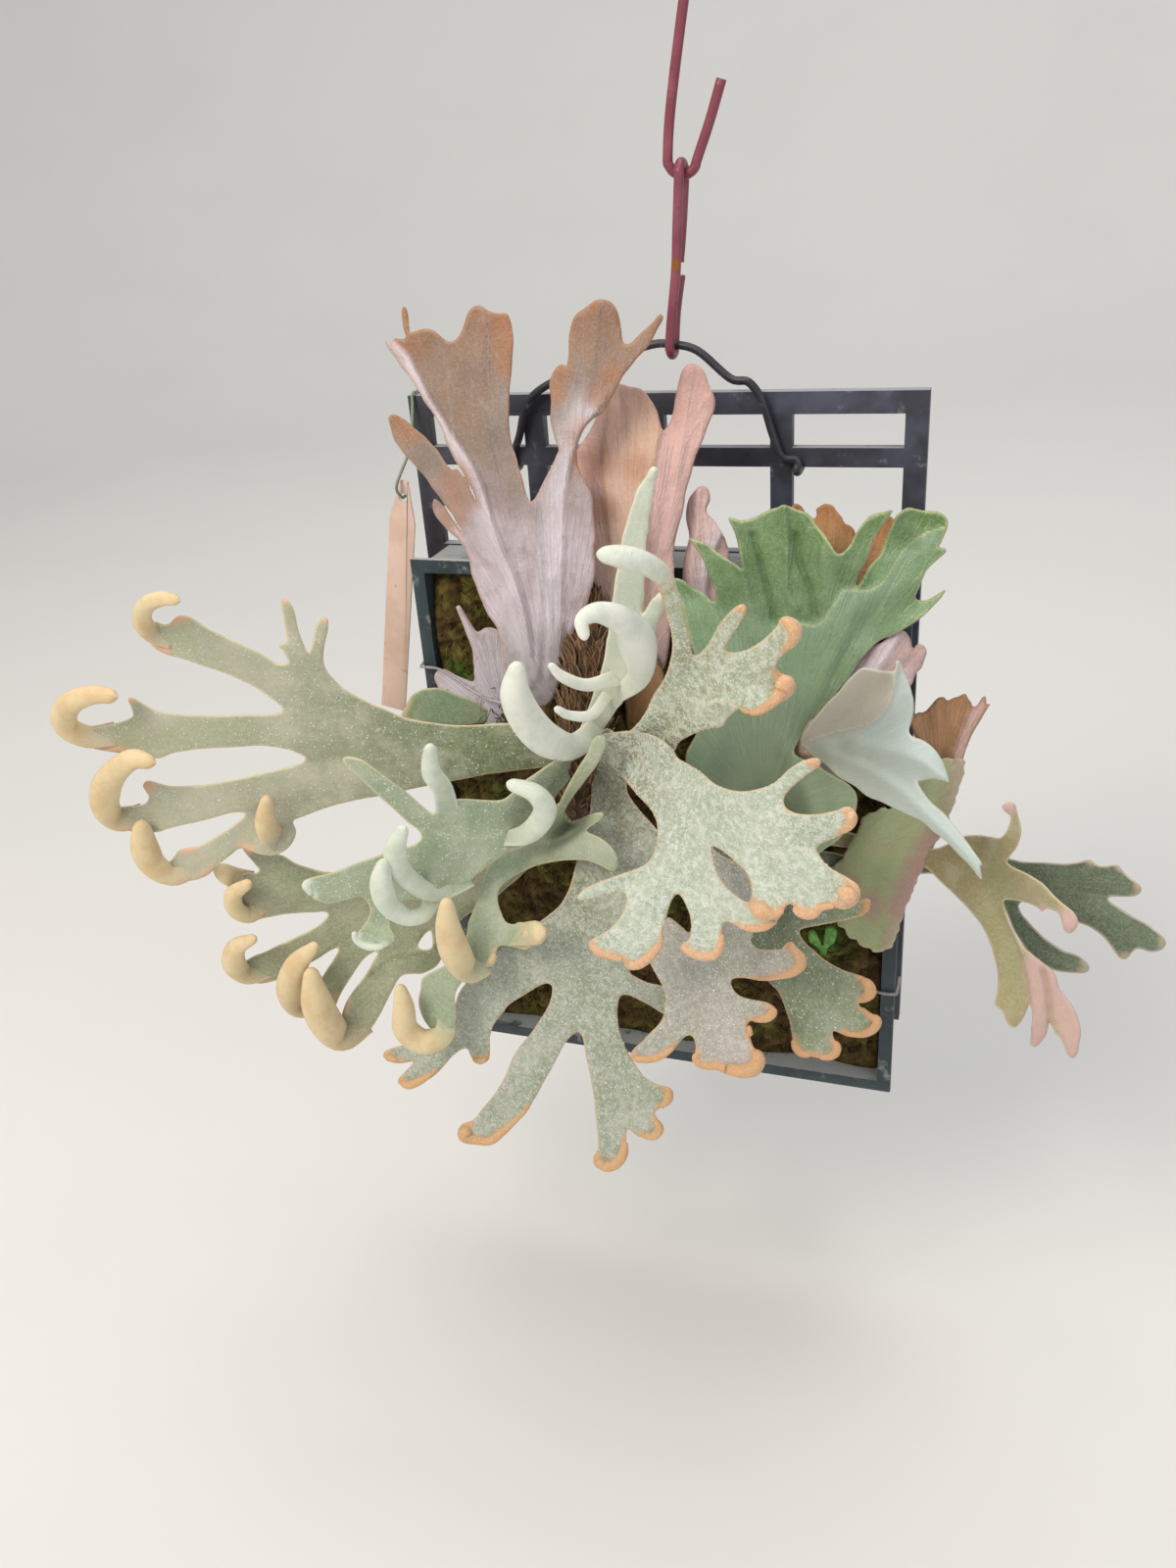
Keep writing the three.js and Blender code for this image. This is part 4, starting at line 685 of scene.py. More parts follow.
frondCentreUpright = drawnLeaf("""
trunk 600,745,9,78 612,728,13,88 630,680,15,98 640,620,16,106 646,560,13,112 656,510,9,116 667,481,5,118
strip 628,712,9,94 650,668,9,102 666,625,8,107 675,609,5,109
curlSpiral 625,712,9,93 652,690,13,104 650,655,20,112 634,633,15,120 610,625,11,126 594,633,8,130
  596,648,6,131
curlHorn 634,690,10,97 600,699,7,106 575,691,6,112 563,680,4,115
curlLowHorn 622,706,7,92 604,729,6,100 582,730,5,105 569,724,4,108
curlBanana 611,738,10,88 586,761,14,99 558,755,18,108 537,733,18,116 526,708,16,121 527,685,10,123""")
frondCentreRight = drawnLeaf("""
trunk 604,757,10,77 640,762,15,87 666,736,24,98 700,706,36,110 740,695,36,118
arm 700,700,20,110 692,645,12,121 684,606,8,132
curlArm 686,616,8,129 676,588,11,136 656,574,12,141 634,568,12,145 617,566,9,147
horn 733,675,16,117 746,640,8,121 755,624,6,123
lobeRight 750,690,24,118 782,668,12,122 805,645,9,126
lobeFoot 745,700,22,117 768,716,12,120 788,718,8,122
fold 672,760,8,96 700,742,12,106 738,727,10,114
outline 612,762 612,750 620,743 631,750 640,748 651,738 660,724 667,709 676,695 682,681 686,663 685,647
  682,633 679,620 677,610 675,600 678,594 688,593 693,608 697,624 701,640 704,654 706,666 710,669 716,665
  722,658 728,647 735,636 745,624 754,617 760,617 762,623 756,634 749,645 743,656 741,663 747,666 760,664
  774,656 785,647 793,639 797,631 804,629 815,634 819,643 815,654 806,663 797,670 792,678 793,684 799,688
  808,691 812,701 808,710 797,717 783,724 771,730 759,728 754,723 748,728 742,734 737,742 721,744 703,751
  692,758 687,768 664,786 636,776
roll 799,632,3 806,637,6 811,646,7 808,656,5 801,663,2.5
roll 795,690,7 800,699,12 795,709,7 786,719,5 774,726,4 761,727,3
roll 752,619,2 758,621,4
crease 676,754 688,742 700,730 714,720 728,715 744,715 755,722 rise 2.6,3,26""")
frondRightBroad = drawnLeaf("""
trunk 606,779,10,76 640,784,24,91 664,804,34,106 700,835,44,122 745,848,36,133 800,862,32,142
lobeTop 748,832,22,133 780,812,15,138 815,795,10,142 831,780,6,144
lobeUpper 795,850,20,141 840,842,14,146 862,834,9,149
lobeRight 795,878,24,141 830,895,19,145 862,911,13,149
nubRight 812,895,14,142 824,926,8,145
lobeNotch 782,885,18,139 779,930,9,143
lobeInner 712,862,20,125 733,903,13,130 755,932,11,134 783,943,7,138
lobeFoot 698,860,26,123 706,900,17,127 714,940,15,131 716,964,14,132
lobeLeft 688,860,28,121 678,905,21,125 664,945,18,128 648,973,12,130
cornerLeft 665,935,14,127 630,962,9,130 613,965,7,130
lobeSide 668,868,20,118 640,894,12,121 597,911,6,124
outline 606,752 604,768 618,778 634,792 645,805 654,815 663,824 669,836 671,848 671,857 668,868 660,880
  648,887 636,891 620,897 606,902 595,908 589,915 592,919 604,918 618,914 630,911 637,912 639,918 637,928
  632,937 624,946 612,954 603,959 600,964 605,971 614,976 626,977 635,979 638,986 644,990 654,988 663,980
  671,972 676,963 677,950 679,940 681,932 684,922 689,914 693,913 698,920 703,931 705,941 705,950 702,959
  696,963 694,968 699,973 708,976 717,979 726,979 733,976 736,968 737,955 738,944 741,941 748,943 758,948
  768,950 779,949 787,945 795,937 800,929 803,924 808,923 813,929 819,935 827,937 834,935 838,929 841,924
  848,924 855,927 863,928 871,925 877,918 878,909 875,902 868,897 859,892 850,887 841,880 836,872 833,866
  838,861 847,857 857,853 867,847 873,839 874,831 870,825 863,823 856,826 846,829 834,831 820,831 810,829
  802,824 800,816 804,808 812,800 821,792 830,786 837,781 837,775 832,773 826,774 815,778 804,786 796,794
  788,800 778,804 764,807 750,807 738,804 727,798 718,790 708,783 700,778 692,773 687,765 676,755 660,748
  636,746
hole 727,865 733,866 742,872 751,880 760,889 766,900 767,911 764,920 757,918 748,911 740,903 733,893
  729,882
roll 603,963,3 611,971,5 623,975,4 636,979,3
roll 641,985,5 652,984,5 663,976,5 672,965,4 676,953,2
roll 697,967,3.5 706,972,5 718,976,5 729,974,5 735,965,4 737,953,2
roll 752,944,2 766,947,4 780,945,5 791,937,5
roll 767,922,4 776,929,9 788,932,6 800,928,4
roll 809,926,3 818,931,6 829,932,6 838,926,4 852,924,3
roll 858,920,6 865,913,12 869,906,9
roll 866,828,4 869,834,6 867,842,5 858,850,2.5
roll 826,777,2 833,778,4.5""")
frondBottomCentre = drawnLeaf("""
trunk 606,796,10,73 628,826,26,83 624,868,34,91 612,930,44,97 600,985,42,101
lobeLeft 598,960,34,100 540,988,32,102 490,1022,26,103 455,1062,16,106 422,1096,9,110
toothLeft 440,1075,10,107 399,1077,6,109
toothInner 500,1030,16,103 493,1075,8,105
lobeMid 595,990,34,101 556,1062,26,104 512,1138,18,110 484,1155,10,113
lobeFoot 602,985,34,101 616,1045,24,104 628,1100,24,107 621,1178,13,113
lobeCorner 634,1105,16,107 648,1130,12,109 664,1152,9,112
lobeSide 632,1098,14,107 655,1110,10,109 679,1115,8,111
arm 612,975,26,100 650,1003,14,98 692,1026,12,96
outline 606,752 604,775 602,830 591,868 583,900 574,920 562,932 548,942 532,952 512,964 492,984 478,1000
  468,1014 462,1032 452,1052 430,1062 404,1068 394,1072 391,1077 396,1083 408,1085 422,1083 416,1091
  408,1099 406,1105 414,1110 427,1107 440,1100 449,1092 457,1083 466,1074 473,1070 478,1071 481,1079
  487,1084 494,1085 499,1080 500,1069 500,1058 503,1047 511,1036 520,1025 532,1017 547,1008 557,1004
  563,1006 563,1016 559,1027 551,1041 541,1055 531,1067 523,1080 517,1095 510,1108 501,1121 490,1134
  482,1143 472,1147 467,1154 469,1161 477,1166 491,1166 501,1168 511,1162 524,1148 537,1136 545,1122
  553,1108 564,1088 574,1069 582,1058 589,1053 594,1058 597,1073 600,1088 604,1107 607,1124 608,1143
  610,1162 610,1172 606,1180 606,1188 613,1194 626,1193 636,1184 640,1173 639,1160 641,1152 650,1159
  664,1163 674,1159 677,1151 671,1142 668,1135 673,1131 682,1127 687,1120 686,1112 679,1108 669,1106
  657,1098 648,1086 641,1074 635,1060 631,1046 630,1031 632,1019 637,1015 648,1018 661,1025 674,1033
  690,1042 706,1040 704,1020 690,1010 676,1006 660,1002 648,996 643,991 646,975 660,950 678,915 684,880
  676,855 666,841 654,828 645,816 640,806 640,790 640,752
roll 395,1078,4 407,1083,3
roll 409,1104,4 418,1107,4.5 430,1102,4 442,1094,2.5
roll 482,1080,2.5 490,1082,4 497,1079,3
roll 476,1150,6 475,1158,8 486,1163,5 500,1164,4.5 511,1156,4.5 524,1145,3 538,1131,2
roll 609,1183,5 618,1190,5.5 629,1187,5.5 636,1177,5 638,1164,2.5
roll 655,1159,2.5 667,1159,4.5 673,1152,4.5 669,1142,2.5
roll 673,1130,2.5 682,1122,4.5 682,1113,4.5""")
frondBottomRight = drawnLeaf("""
trunk 602,800,8,69 645,824,10,72 695,862,16,83 740,905,22,93 726,960,28,100 728,1010,33,108 737,1045,31,111
lobeLeft 712,1030,16,109 672,1068,10,112 654,1077,6,113
lobeFoot 735,1045,26,111 745,1072,22,113 763,1086,13,116
cornerFoot 728,1060,14,111 716,1080,8,113
lobeSide 745,1030,14,110 781,1031,8,114
lobeRight 733,985,24,104 775,985,15,111 811,980,9,116
outline 606,756 616,778 640,800 665,828 682,856 696,882 706,910 708,932 704,951 694,944 681,936 674,955
  664,974 663,982 670,995 676,1006 679,1016 679,1026 677,1036 672,1045 664,1053 655,1063 647,1070 643,1078
  649,1084 660,1085 674,1082 685,1074 694,1063 701,1057 707,1058 710,1067 709,1075 708,1083 714,1089
  723,1089 731,1089 740,1094 749,1098 760,1099 770,1097 777,1089 779,1081 776,1073 770,1069 767,1063
  765,1055 763,1046 766,1042 775,1043 786,1041 792,1035 791,1028 784,1023 775,1021 764,1019 755,1016
  749,1011 746,1004 748,999 760,998 777,1001 792,1000 805,998 816,993 822,987 823,980 820,975 815,973
  813,966 808,961 802,963 797,968 786,969 777,969 770,966 766,960 768,955 769,940 769,918 764,896 751,880
  735,872 722,858 710,832 690,800 650,772 622,752
roll 646,1079,4 660,1081,4 675,1077,4 688,1068,2.5
roll 710,1074,3 711,1082,4.5 720,1087,4.5 732,1087,5 744,1091,6 757,1093,7 769,1090,8 774,1080,7 770,1071,3
roll 768,1041,2 781,1039,4.5 788,1034,5 788,1028,4
roll 764,1046,2.5 766,1058,3
roll 806,964,3 811,970,4 817,978,5.5 816,986,5.5 807,993,4.5 790,997,3 770,999,2""")
frondLowRightDark = drawnLeaf("""
trunk 796,862,10,43 786,910,16,62 792,950,22,78 820,990,26,87 842,1025,30,92
horn 800,950,14,80 835,935,8,86 879,925,6,92
lobeSide 838,1005,20,89 868,1002,11,93 882,1010,9,95
lobeLow 850,1030,14,92 893,1045,8,96
lobeFoot 842,1035,26,92 836,1066,20,95
outline 640,768 678,806 712,850 738,900 758,958 770,980 784,1001 794,1012 801,1028 806,1043 808,1056
  809,1067 812,1074 820,1078 829,1078 840,1081 849,1082 857,1077 857,1070 854,1064 850,1058 850,1052
  855,1053 864,1057 875,1059 885,1058 894,1054 899,1047 900,1041 896,1036 887,1034 880,1029 876,1024
  883,1023 891,1019 893,1010 889,1002 880,996 866,992 853,986 841,979 831,970 821,961 816,952 818,948
  827,946 842,943 860,940 871,937 881,934 887,928 889,920 885,916 880,918 868,922 845,926 822,922 800,912
  775,880 740,832 700,792 656,760
roll 879,999,3 886,1005,5.5 888,1013,6 881,1019,5
roll 879,1028,1.5 888,1036,2.5 895,1042,4.5 891,1050,4.5 880,1055,4 862,1054,3
roll 852,1062,3 854,1071,4.5 847,1078,4 835,1078,3
roll 809,1060,2 812,1069,4 819,1075,4 828,1076,3
roll 882,931,3.5 885,922,4""")
frondDouble = drawnLeaf("""
stem 594,836,8,68 566,858,12,82 540,872,13,91 510,886,14,98 497,930,19,107 494,972,17,112
arm 530,880,12,94 560,862,17,99 585,856,18,102
armTop 582,852,12,102 603,838,7,105 611,832,5,106
armRight 580,862,14,102 610,870,11,105 624,879,8,107
curlFinger 496,982,14,113 478,990,14,118 464,970,16,122 457,945,13,125 456,924,8,126
armBall 500,955,14,110 524,955,11,113
curlArmBall 518,955,11,112 544,952,13,117
strip 485,980,16,111 462,990,16,113 450,1012,16,115 456,1040,9,116
curlStrip 456,1036,9,116 452,1056,12,118 432,1063,13,121 414,1050,13,123 412,1028,11,124 409,1011,7,124
outline 607,752 598,770 580,800 560,838 540,858 520,868 503,878 496,888 491,904 485,923 478,941 477,951
  472,965 458,982 442,991 431,998 429,1010 427,1024 432,1040 442,1052 454,1055 463,1047 466,1034 464,1020
  467,1008 476,998 488,992 496,988 503,985 506,976 508,967 514,965 527,967 537,969 546,960 542,944 530,941
  525,943 517,941 512,932 508,918 510,907 519,898 536,888 556,881 579,878 597,878 612,883 624,889 630,886
  631,876 625,865 613,855 600,849 601,845 611,838 617,831 611,829 599,832 579,839 576,828 590,806 607,784
  618,762 617,752
roll 540,940,8 545,952,13 542,962,10
roll 500,984,5 505,972,3""")
frondRightLong = drawnLeaf("""
stem 804,850,9,42 880,862,10,43 940,870,12,46 985,885,27,58 1015,903,27,72
horn 1012,890,14,70 1034,858,8,78 1034,836,6,81 1030,825,6,83
lobeRight 1020,895,18,74 1060,908,13,85 1086,925,9,92 1092,945,6,96
toothRight 1072,913,8,86 1062,930,4,88
lobeFoot 1008,915,20,72 1028,970,18,84 1036,1005,15,90 1037,1040,9,94
lobeMid 1022,925,16,76 1045,980,9,88 1059,1022,8,94 1060,1059,6,97
lobeTip 1050,985,9,88 1072,1010,9,93 1089,1045,9,97 1095,1074,6,100
outline 800,850 806,842 850,846 900,857 930,862 953,866 965,862 975,857 985,853 1000,852 1012,854 1020,855
  1026,850 1030,841 1031,833 1026,829 1022,824 1025,820 1031,818 1036,821 1038,828 1041,838 1042,848
  1040,858 1036,867 1030,875 1028,880 1033,884 1043,889 1056,896 1066,903 1075,913 1084,921 1094,929
  1099,936 1100,942 1097,949 1091,953 1086,949 1084,941 1081,933 1076,929 1068,927 1064,930 1060,927
  1053,923 1044,921 1035,919 1027,918 1024,921 1026,930 1031,943 1038,957 1044,966 1051,972 1059,978
  1068,985 1075,991 1079,999 1081,1008 1088,1018 1096,1029 1101,1041 1103,1055 1101,1065 1100,1074
  1095,1080 1090,1077 1086,1068 1082,1059 1075,1052 1071,1043 1069,1052 1065,1060 1060,1066 1055,1069
  1051,1065 1052,1056 1053,1040 1052,1028 1050,1025 1046,1035 1041,1044 1035,1049 1029,1046 1026,1040
  1024,1034 1019,1029 1015,1025 1016,1019 1018,1010 1018,996 1015,978 1010,962 1002,945 990,930 975,914
  960,900 946,887 925,878 890,870 850,863 806,858
crease 1052,1040 1051,1012 1046,985 1038,962 1030,945 1025,926 rise 1.6,2.5,22
crease 1064,990 1069,1010 1071,1030 1071,1044 rise -1.5,2.5,0
tint 1057,986,11 1061,1002,12 1062,1019,11 1060,1036,12 1058,1055,11 1075,1001,10 1080,1015,11 1086,1031,12
  1092,1047,12 1095,1062,11 1094,1075,8 1030,823,7 1091,940,11 1063,928,3""")
frondRightDark = drawnLeaf("""
stem 806,872,8,42 880,884,9,37 960,882,10,38 1040,886,10,46 1080,900,17,54 1115,912,24,62
lobeTop 1105,900,14,60 1148,904,10,68 1163,907,5,71
toothTop 1130,898,8,64 1141,883,5,66
toothSide 1105,895,10,60 1113,880,5,61
lobeRight 1118,920,20,63 1142,942,18,68 1176,958,10,74
nubRight 1140,950,12,68 1146,971,6,69
lobeLow 1040,895,10,46 1036,935,10,52 1054,962,12,58 1082,978,11,62 1104,985,8,65
outline 800,871 806,863 850,870 880,874 960,872 1000,873 1030,876 1045,879 1065,880 1085,881 1100,880
  1108,878 1114,878 1119,882 1126,884 1134,883 1141,883 1145,888 1151,894 1158,899 1163,903 1165,908
  1161,913 1153,915 1142,915 1133,915 1131,918 1135,922 1145,928 1156,935 1170,942 1180,950 1187,956
  1190,962 1187,968 1180,971 1172,971 1166,969 1160,968 1156,971 1151,977 1147,979 1142,977 1137,971
  1131,962 1122,953 1112,946 1101,942 1090,935 1075,929 1060,922 1046,920 1040,924 1043,933 1050,941
  1058,949 1066,957 1075,963 1086,970 1098,974 1106,979 1111,985 1111,990 1106,993 1096,993 1085,992
  1075,990 1064,985 1054,976 1044,965 1036,951 1029,936 1023,921 1014,908 990,898 960,892 920,892 880,892
  840,886 806,880
tint 1113,879,3 1143,885,3 1163,907,5 1188,962,5 1148,977,4 1108,987,6""")
shieldTallFront = drawnLeaf("""
foot 566,716,14,56 561,680,32,58 556,635,45,60 550,590,50,60 546,545,42,59
lobeLeft 545,560,40,59 520,500,36,56 496,440,42,53 478,395,42,50
topLeft 470,405,34,51 440,354,22,48
topRight 488,400,36,50 500,338,22,46
toothLeft 425,368,12,48 392,342,3,46
spikeLeft 424,352,8,48 413,318,3,46
lobeRight 548,560,36,59 568,500,20,56 590,445,20,52 603,385,27,48 609,332,23,44
earRight 590,420,12,51 573,388,11,49
spikeRight 618,390,12,48 642,362,8,46 672,325,3,44
foldLeft 405,362,7,48 425,395,9,51 452,440,11,54 482,500,11,58 512,560,13,61 532,615,14,62 546,680,10,60
lobeSide 405,434,10,42 430,459,12,45 456,492,12,49 482,532,16,54 505,590,20,57
lobeLow 447,517,7,46 465,538,8,49 485,560,12,53 506,600,18,57
outline 389,341 393,347 399,351 403,346 409,346 414,344 411,332 410,318 413,313 416,321 418,338 422,338
  430,335 440,337 450,343 459,349 467,345 472,333 477,321 483,313 490,311 499,317 509,319 517,319 522,327
  523,342 523,370 521,392 519,417 520,440 526,465 533,491 539,508 543,511 550,501 559,482 567,465 570,458
  566,446 562,429 562,409 561,390 566,376 573,371 578,373 580,356 582,333 587,322 596,315 607,307 616,305
  624,308 629,317 633,331 635,347 641,351 651,343 663,331 673,321 676,325 670,338 661,353 649,367 638,380
  632,391 625,404 617,420 605,427 594,443 588,457 590,475 597,492 603,504 606,530 607,560 606,590 600,614
  592,628 586,648 580,662 576,680 572,697 562,716 548,723 535,717 524,704 516,684 512,664 507,643 503,635
  495,620 489,606 482,589 479,573 472,558 461,544 448,531 441,519 442,509 447,510 456,521 465,535 474,546
  462,526 447,506 433,486 419,470 404,453 399,440 397,427 402,423 409,426 419,434 433,446 441,454 450,465
  460,479 467,479 476,492 488,517 484,505 477,491 464,468 454,449 444,426 433,408 422,390 409,374 397,357
crease 404,350 417,362 429,384 443,412 456,432 472,457 486,479 495,502 503,530 514,561 523,580 531,603
  537,625 541,645 543,662 rise 2,2.5,17
crease 492,330 492,400 500,470 512,520 530,560 rise 1,6,0
crease 544,514 550,560 551,620 548,690 rise 1.3,5,0
crease 604,428 594,444 584,470 578,500 576,560 575,620 573,680 rise 1.6,3,26
crease 520,600 530,650 540,700 rise 0.9,4,0
crease 562,590 562,640 560,690 rise 0.8,4,0
crease 610,312 606,350 598,400 588,440 rise 1,7,0
tint 517,332,9 519,352,9 519,374,8 404,429,9 418,442,8 466,490,13 470,508,12 462,524,11 600,446,16
  596,470,10 569,380,9 567,400,7 612,404,10 624,384,9""")
# its first two tint places, beside the front leaf's edge, take the brown tip colour: partly the leaf's own
# darker brown and partly painted shade where it lies behind the front leaf
shieldTallBack = drawnLeaf("""
foot 640,706,22,44 648,640,34,48 646,580,36,48 645,520,32,45
lobeLeft 645,540,32,46 642,470,30,39 645,420,27,32
topNotch 640,430,20,34 634,402,12,29
lobeRight 670,600,24,47 690,520,18,42 700,450,17,34 708,394,17,27
earRight 704,440,12,33 717,413,12,29
outline 602,440 611,420 618,408 621,397 632,391 643,395 656,398 664,407 670,419 674,434 677,439 684,429
  688,415 691,395 695,380 702,372 711,372 719,380 723,392 729,406 728,420 721,437 712,461 707,479 702,496
  699,508 693,538 688,560 688,590 686,630 682,660 677,684 655,690 630,690 606,680 596,650 592,620 592,590
  593,560 592,530 587,505 582,484 587,462
crease 676,441 669,470 664,510 661,560 660,620 rise 1.6,2.5,60
crease 622,560 618,524 614,470 617,435 621,400 rise 1.2,2.5,12
crease 700,378 697,440 690,500 680,560 rise 0.9,5,0
crease 640,400 646,450 648,500 650,560 rise 0.9,6,0
tint 608,470,14 612,520,12 650,476,10""")
shieldOldRust = drawnLeaf("""
sheet 652,668,16,50 657,700,21,51 655,744,15,48""")
shieldSmallPink = drawnLeaf("""
sheet 720,672,12,36 721,640,14,37 716,590,16,39 715,545,14,37 714,509,8,34
side 722,610,12,38 740,580,9,37 745,562,7,36
outline 702,510 708,501 714,496 722,498 725,510 721,521 728,530 735,541 741,552 745,575 746,620 742,660
  728,686 706,682 700,640 696,600 698,570 703,548 700,528
crease 712,500 712,540 706,590 712,640 rise 1.1,4,0
crease 737,548 724,580 722,640 rise 1.2,2,14""")
shieldDriedTips = drawnLeaf("""
sheet 846,690,16,26 850,640,20,34 850,590,26,36 848,555,24,33 843,524,10,28
tipRight 858,570,14,33 863,544,9,30
tipLeft 835,565,14,32 812,524,9,28
back 870,600,14,35 895,560,14,30 905,535,10,27""")
# the green fan's tint places lie along its grooves and in the notches between its lobes, where freshGreen's
# dark green tip colour is painted shade
shieldGreenFan = drawnLeaf("""
foot 780,826,18,43 764,798,34,52 762,750,52,60 784,690,68,62 805,640,78,60
lobeLeftLow 768,650,40,61 730,612,16,58 690,594,5,56
lobeLeftTop 778,630,34,60 740,578,14,57 705,550,4,54
lobeTop 790,640,46,60 782,580,36,57 779,540,34,54
lobeFold 818,630,34,60 822,575,22,56 818,534,18,53
lobeMid 838,640,34,60 872,575,14,56 899,526,7,52
lobeRight 850,645,36,59 905,580,22,53 942,535,18,46
toothTop 915,590,14,52 962,562,4,47
toothLow 885,635,24,55 930,610,10,51 963,603,4,48
outline 702,549 712,551 724,556 736,566 749,575 758,581 754,560 749,543 743,529 749,529 757,531 768,528
  782,521 794,518 800,515 815,520 824,523 832,534 841,544 848,557 856,564 867,556 873,544 882,533 891,525
  902,521 911,520 908,527 899,539 891,553 885,570 877,585 873,600 880,590 887,578 897,566 906,546 913,529
  923,520 930,518 943,521 955,521 963,526 967,535 964,545 960,553 957,559 966,561 956,571 946,581 942,589
  938,601 935,610 945,612 957,607 966,601 955,615 944,626 929,639 914,646 897,655 880,672 867,690 850,711
  832,732 818,752 810,767 822,775 850,790 872,806 874,822 866,842 850,862 810,880 760,878 722,850 704,800
  700,774 702,764 709,752 716,735 714,700 706,660 696,622 686,592 697,592 707,600 719,606 729,612 727,597
  722,584 716,568 709,558
crease 818,636 832,637 840,632 850,617 859,603 868,601 885,602 903,591 920,562 941,545 962,537 rise
  2.2,1.4,26
crease 800,517 803,560 802,600 812,622 rise 1.8,4,0
crease 768,545 776,575 784,605 790,636 rise -2,2.5,0
crease 812,545 816,575 826,600 832,628 rise -1.8,2.5,0
crease 838,560 842,590 846,615 rise 1,4,0
crease 744,545 756,585 764,620 rise 1.2,4,0
crease 752,560 762,600 768,650 rise 0.9,6,0
crease 890,560 876,600 862,640 842,690 820,740 rise 1,8,0
crease 930,560 912,590 880,640 850,690 rise -0.9,6,0
tint 758,552,10 766,574,12 776,600,12 786,622,10 814,548,8 818,572,11 820,598,12 826,622,10 728,585,9
  742,606,10 880,592,6 926,548,7 700,604,6 862,588,7""")
shieldYoung = drawnLeaf("""
blade 802,802,9,45 820,778,11,58 838,762,14,68 868,774,28,76 905,792,32,84 940,824,20,95 972,862,14,104
  1000,893,4,110
lobeTop 878,766,26,78 905,722,18,80 912,681,5,78
lobeSide 900,775,24,83 945,782,11,92 965,796,4,96
cheek 842,752,14,67 866,722,24,70 893,700,14,72
outline 823,765 817,752 832,731 850,711 867,692 880,681 900,684 912,684 914,676 918,674 923,687 929,702
  933,714 933,726 929,738 927,746 931,752 941,755 952,762 960,774 966,787 969,799 961,796 947,795 936,797
  939,805 950,817 967,834 982,852 996,872 1002,881 1000,885 1002,897 996,892 985,878 970,864 958,852
  944,842 926,830 908,823 891,815 876,805 861,796 844,782 832,773
crease 917,676 914,700 906,724 890,739 861,747 842,752 826,758 rise 1.2,4,300
crease 836,768 870,778 910,800 950,835 998,888 rise 1.4,7,0
crease 845,760 890,762 935,775 965,795 rise 0.9,7,0""")
shieldPinkLilac = drawnLeaf("""
sheet 812,812,8,43 836,778,12,48 862,722,15,53 882,690,18,56 908,664,16,54 927,648,9,51
side 880,705,16,55 912,690,12,54 928,682,8,52
outline 868,684 875,673 882,667 891,659 900,655 911,648 922,643 929,652 931,663 936,657 943,658 946,665
  943,673 940,682 935,688 930,700 915,715 895,742 870,778 845,804 822,820 806,814 812,796 830,765 848,722
crease 922,646 906,672 884,704 860,740 rise 1.2,2,16
crease 940,662 922,680 900,706 rise -1.2,3,0""")
shieldRightLow = drawnLeaf("""
sheet 822,890,12,38 850,908,22,42 884,920,32,45 902,875,36,48 932,832,28,47 962,800,18,44 980,780,9,42
foot 884,920,30,45 886,958,16,42
outline 879,837 886,830 897,825 912,822 930,800 950,778 966,773 978,775 985,776 983,790 977,811 969,834
  958,855 952,867 944,884 935,902 926,920 920,938 914,958 908,968 896,972 882,966 868,956 857,944 850,925
  846,905 850,884 857,878 862,870 867,858 874,850
crease 905,945 922,898 942,862 957,826 972,780 rise 0.8,8,30
crease 935,802 915,850 890,900 876,945 rise -0.9,8,0
tint 957,846,9 948,864,11 938,884,12 928,904,12 920,924,11 890,925,9 868,905,7""")
shieldDriedRight = drawnLeaf("""
sheet 956,812,12,44.5 962,788,16,42 964,755,24,37 948,728,10,32
tipMid 968,750,14,35 974,719,8,30
tipRight 974,755,16,35 992,730,12,31 1004,716,6,28
outline 929,738 935,728 941,726 947,723 952,719 958,712 966,714 973,712 985,708 989,713 991,722 997,719
  1002,713 1005,711 1007,718 1012,717 1005,728 997,741 989,757 984,775 974,790 958,792 944,776 936,756
crease 968,790 978,752 990,724 rise 1.4,1.6,30
crease 962,716 964,745 962,775 rise -1,4,0""")
shieldLowLeft = drawnLeaf("""
sheet 518,744,20,38 508,698,24,40 500,655,14,40
spike 494,672,9,40 480,645,5,41 468,620,3,41
back 492,712,12,38 464,702,13,34 452,692,9,32""")
leafSmallRound = drawnLeaf("""
blade 496,730,7,39 464,724,16,42 438,722,20,44 420,729,10,44""")
mossSprout = drawnLeaf("""
leafLarge 841,972,2,24 843,966,3,29 847,957,6,31 848,950,6,31
leafSmall 841,972,2,24 836,965,3,29 831,959,5,30 829,954,5,30""")
rhizomeLine = readPath("600,602,8,46 602,650,20,55 600,700,25,62 597,750,27,66 592,800,23,64 588,846,9,58")
sideRhizomeLine = readPath("770,792,8,38 788,828,20,40 800,866,20,39 808,905,8,34")
budLine = readPath("804,806,6,45 815,782,8,50 824,760,10,57 829,744,8,62 832,734,3,65")


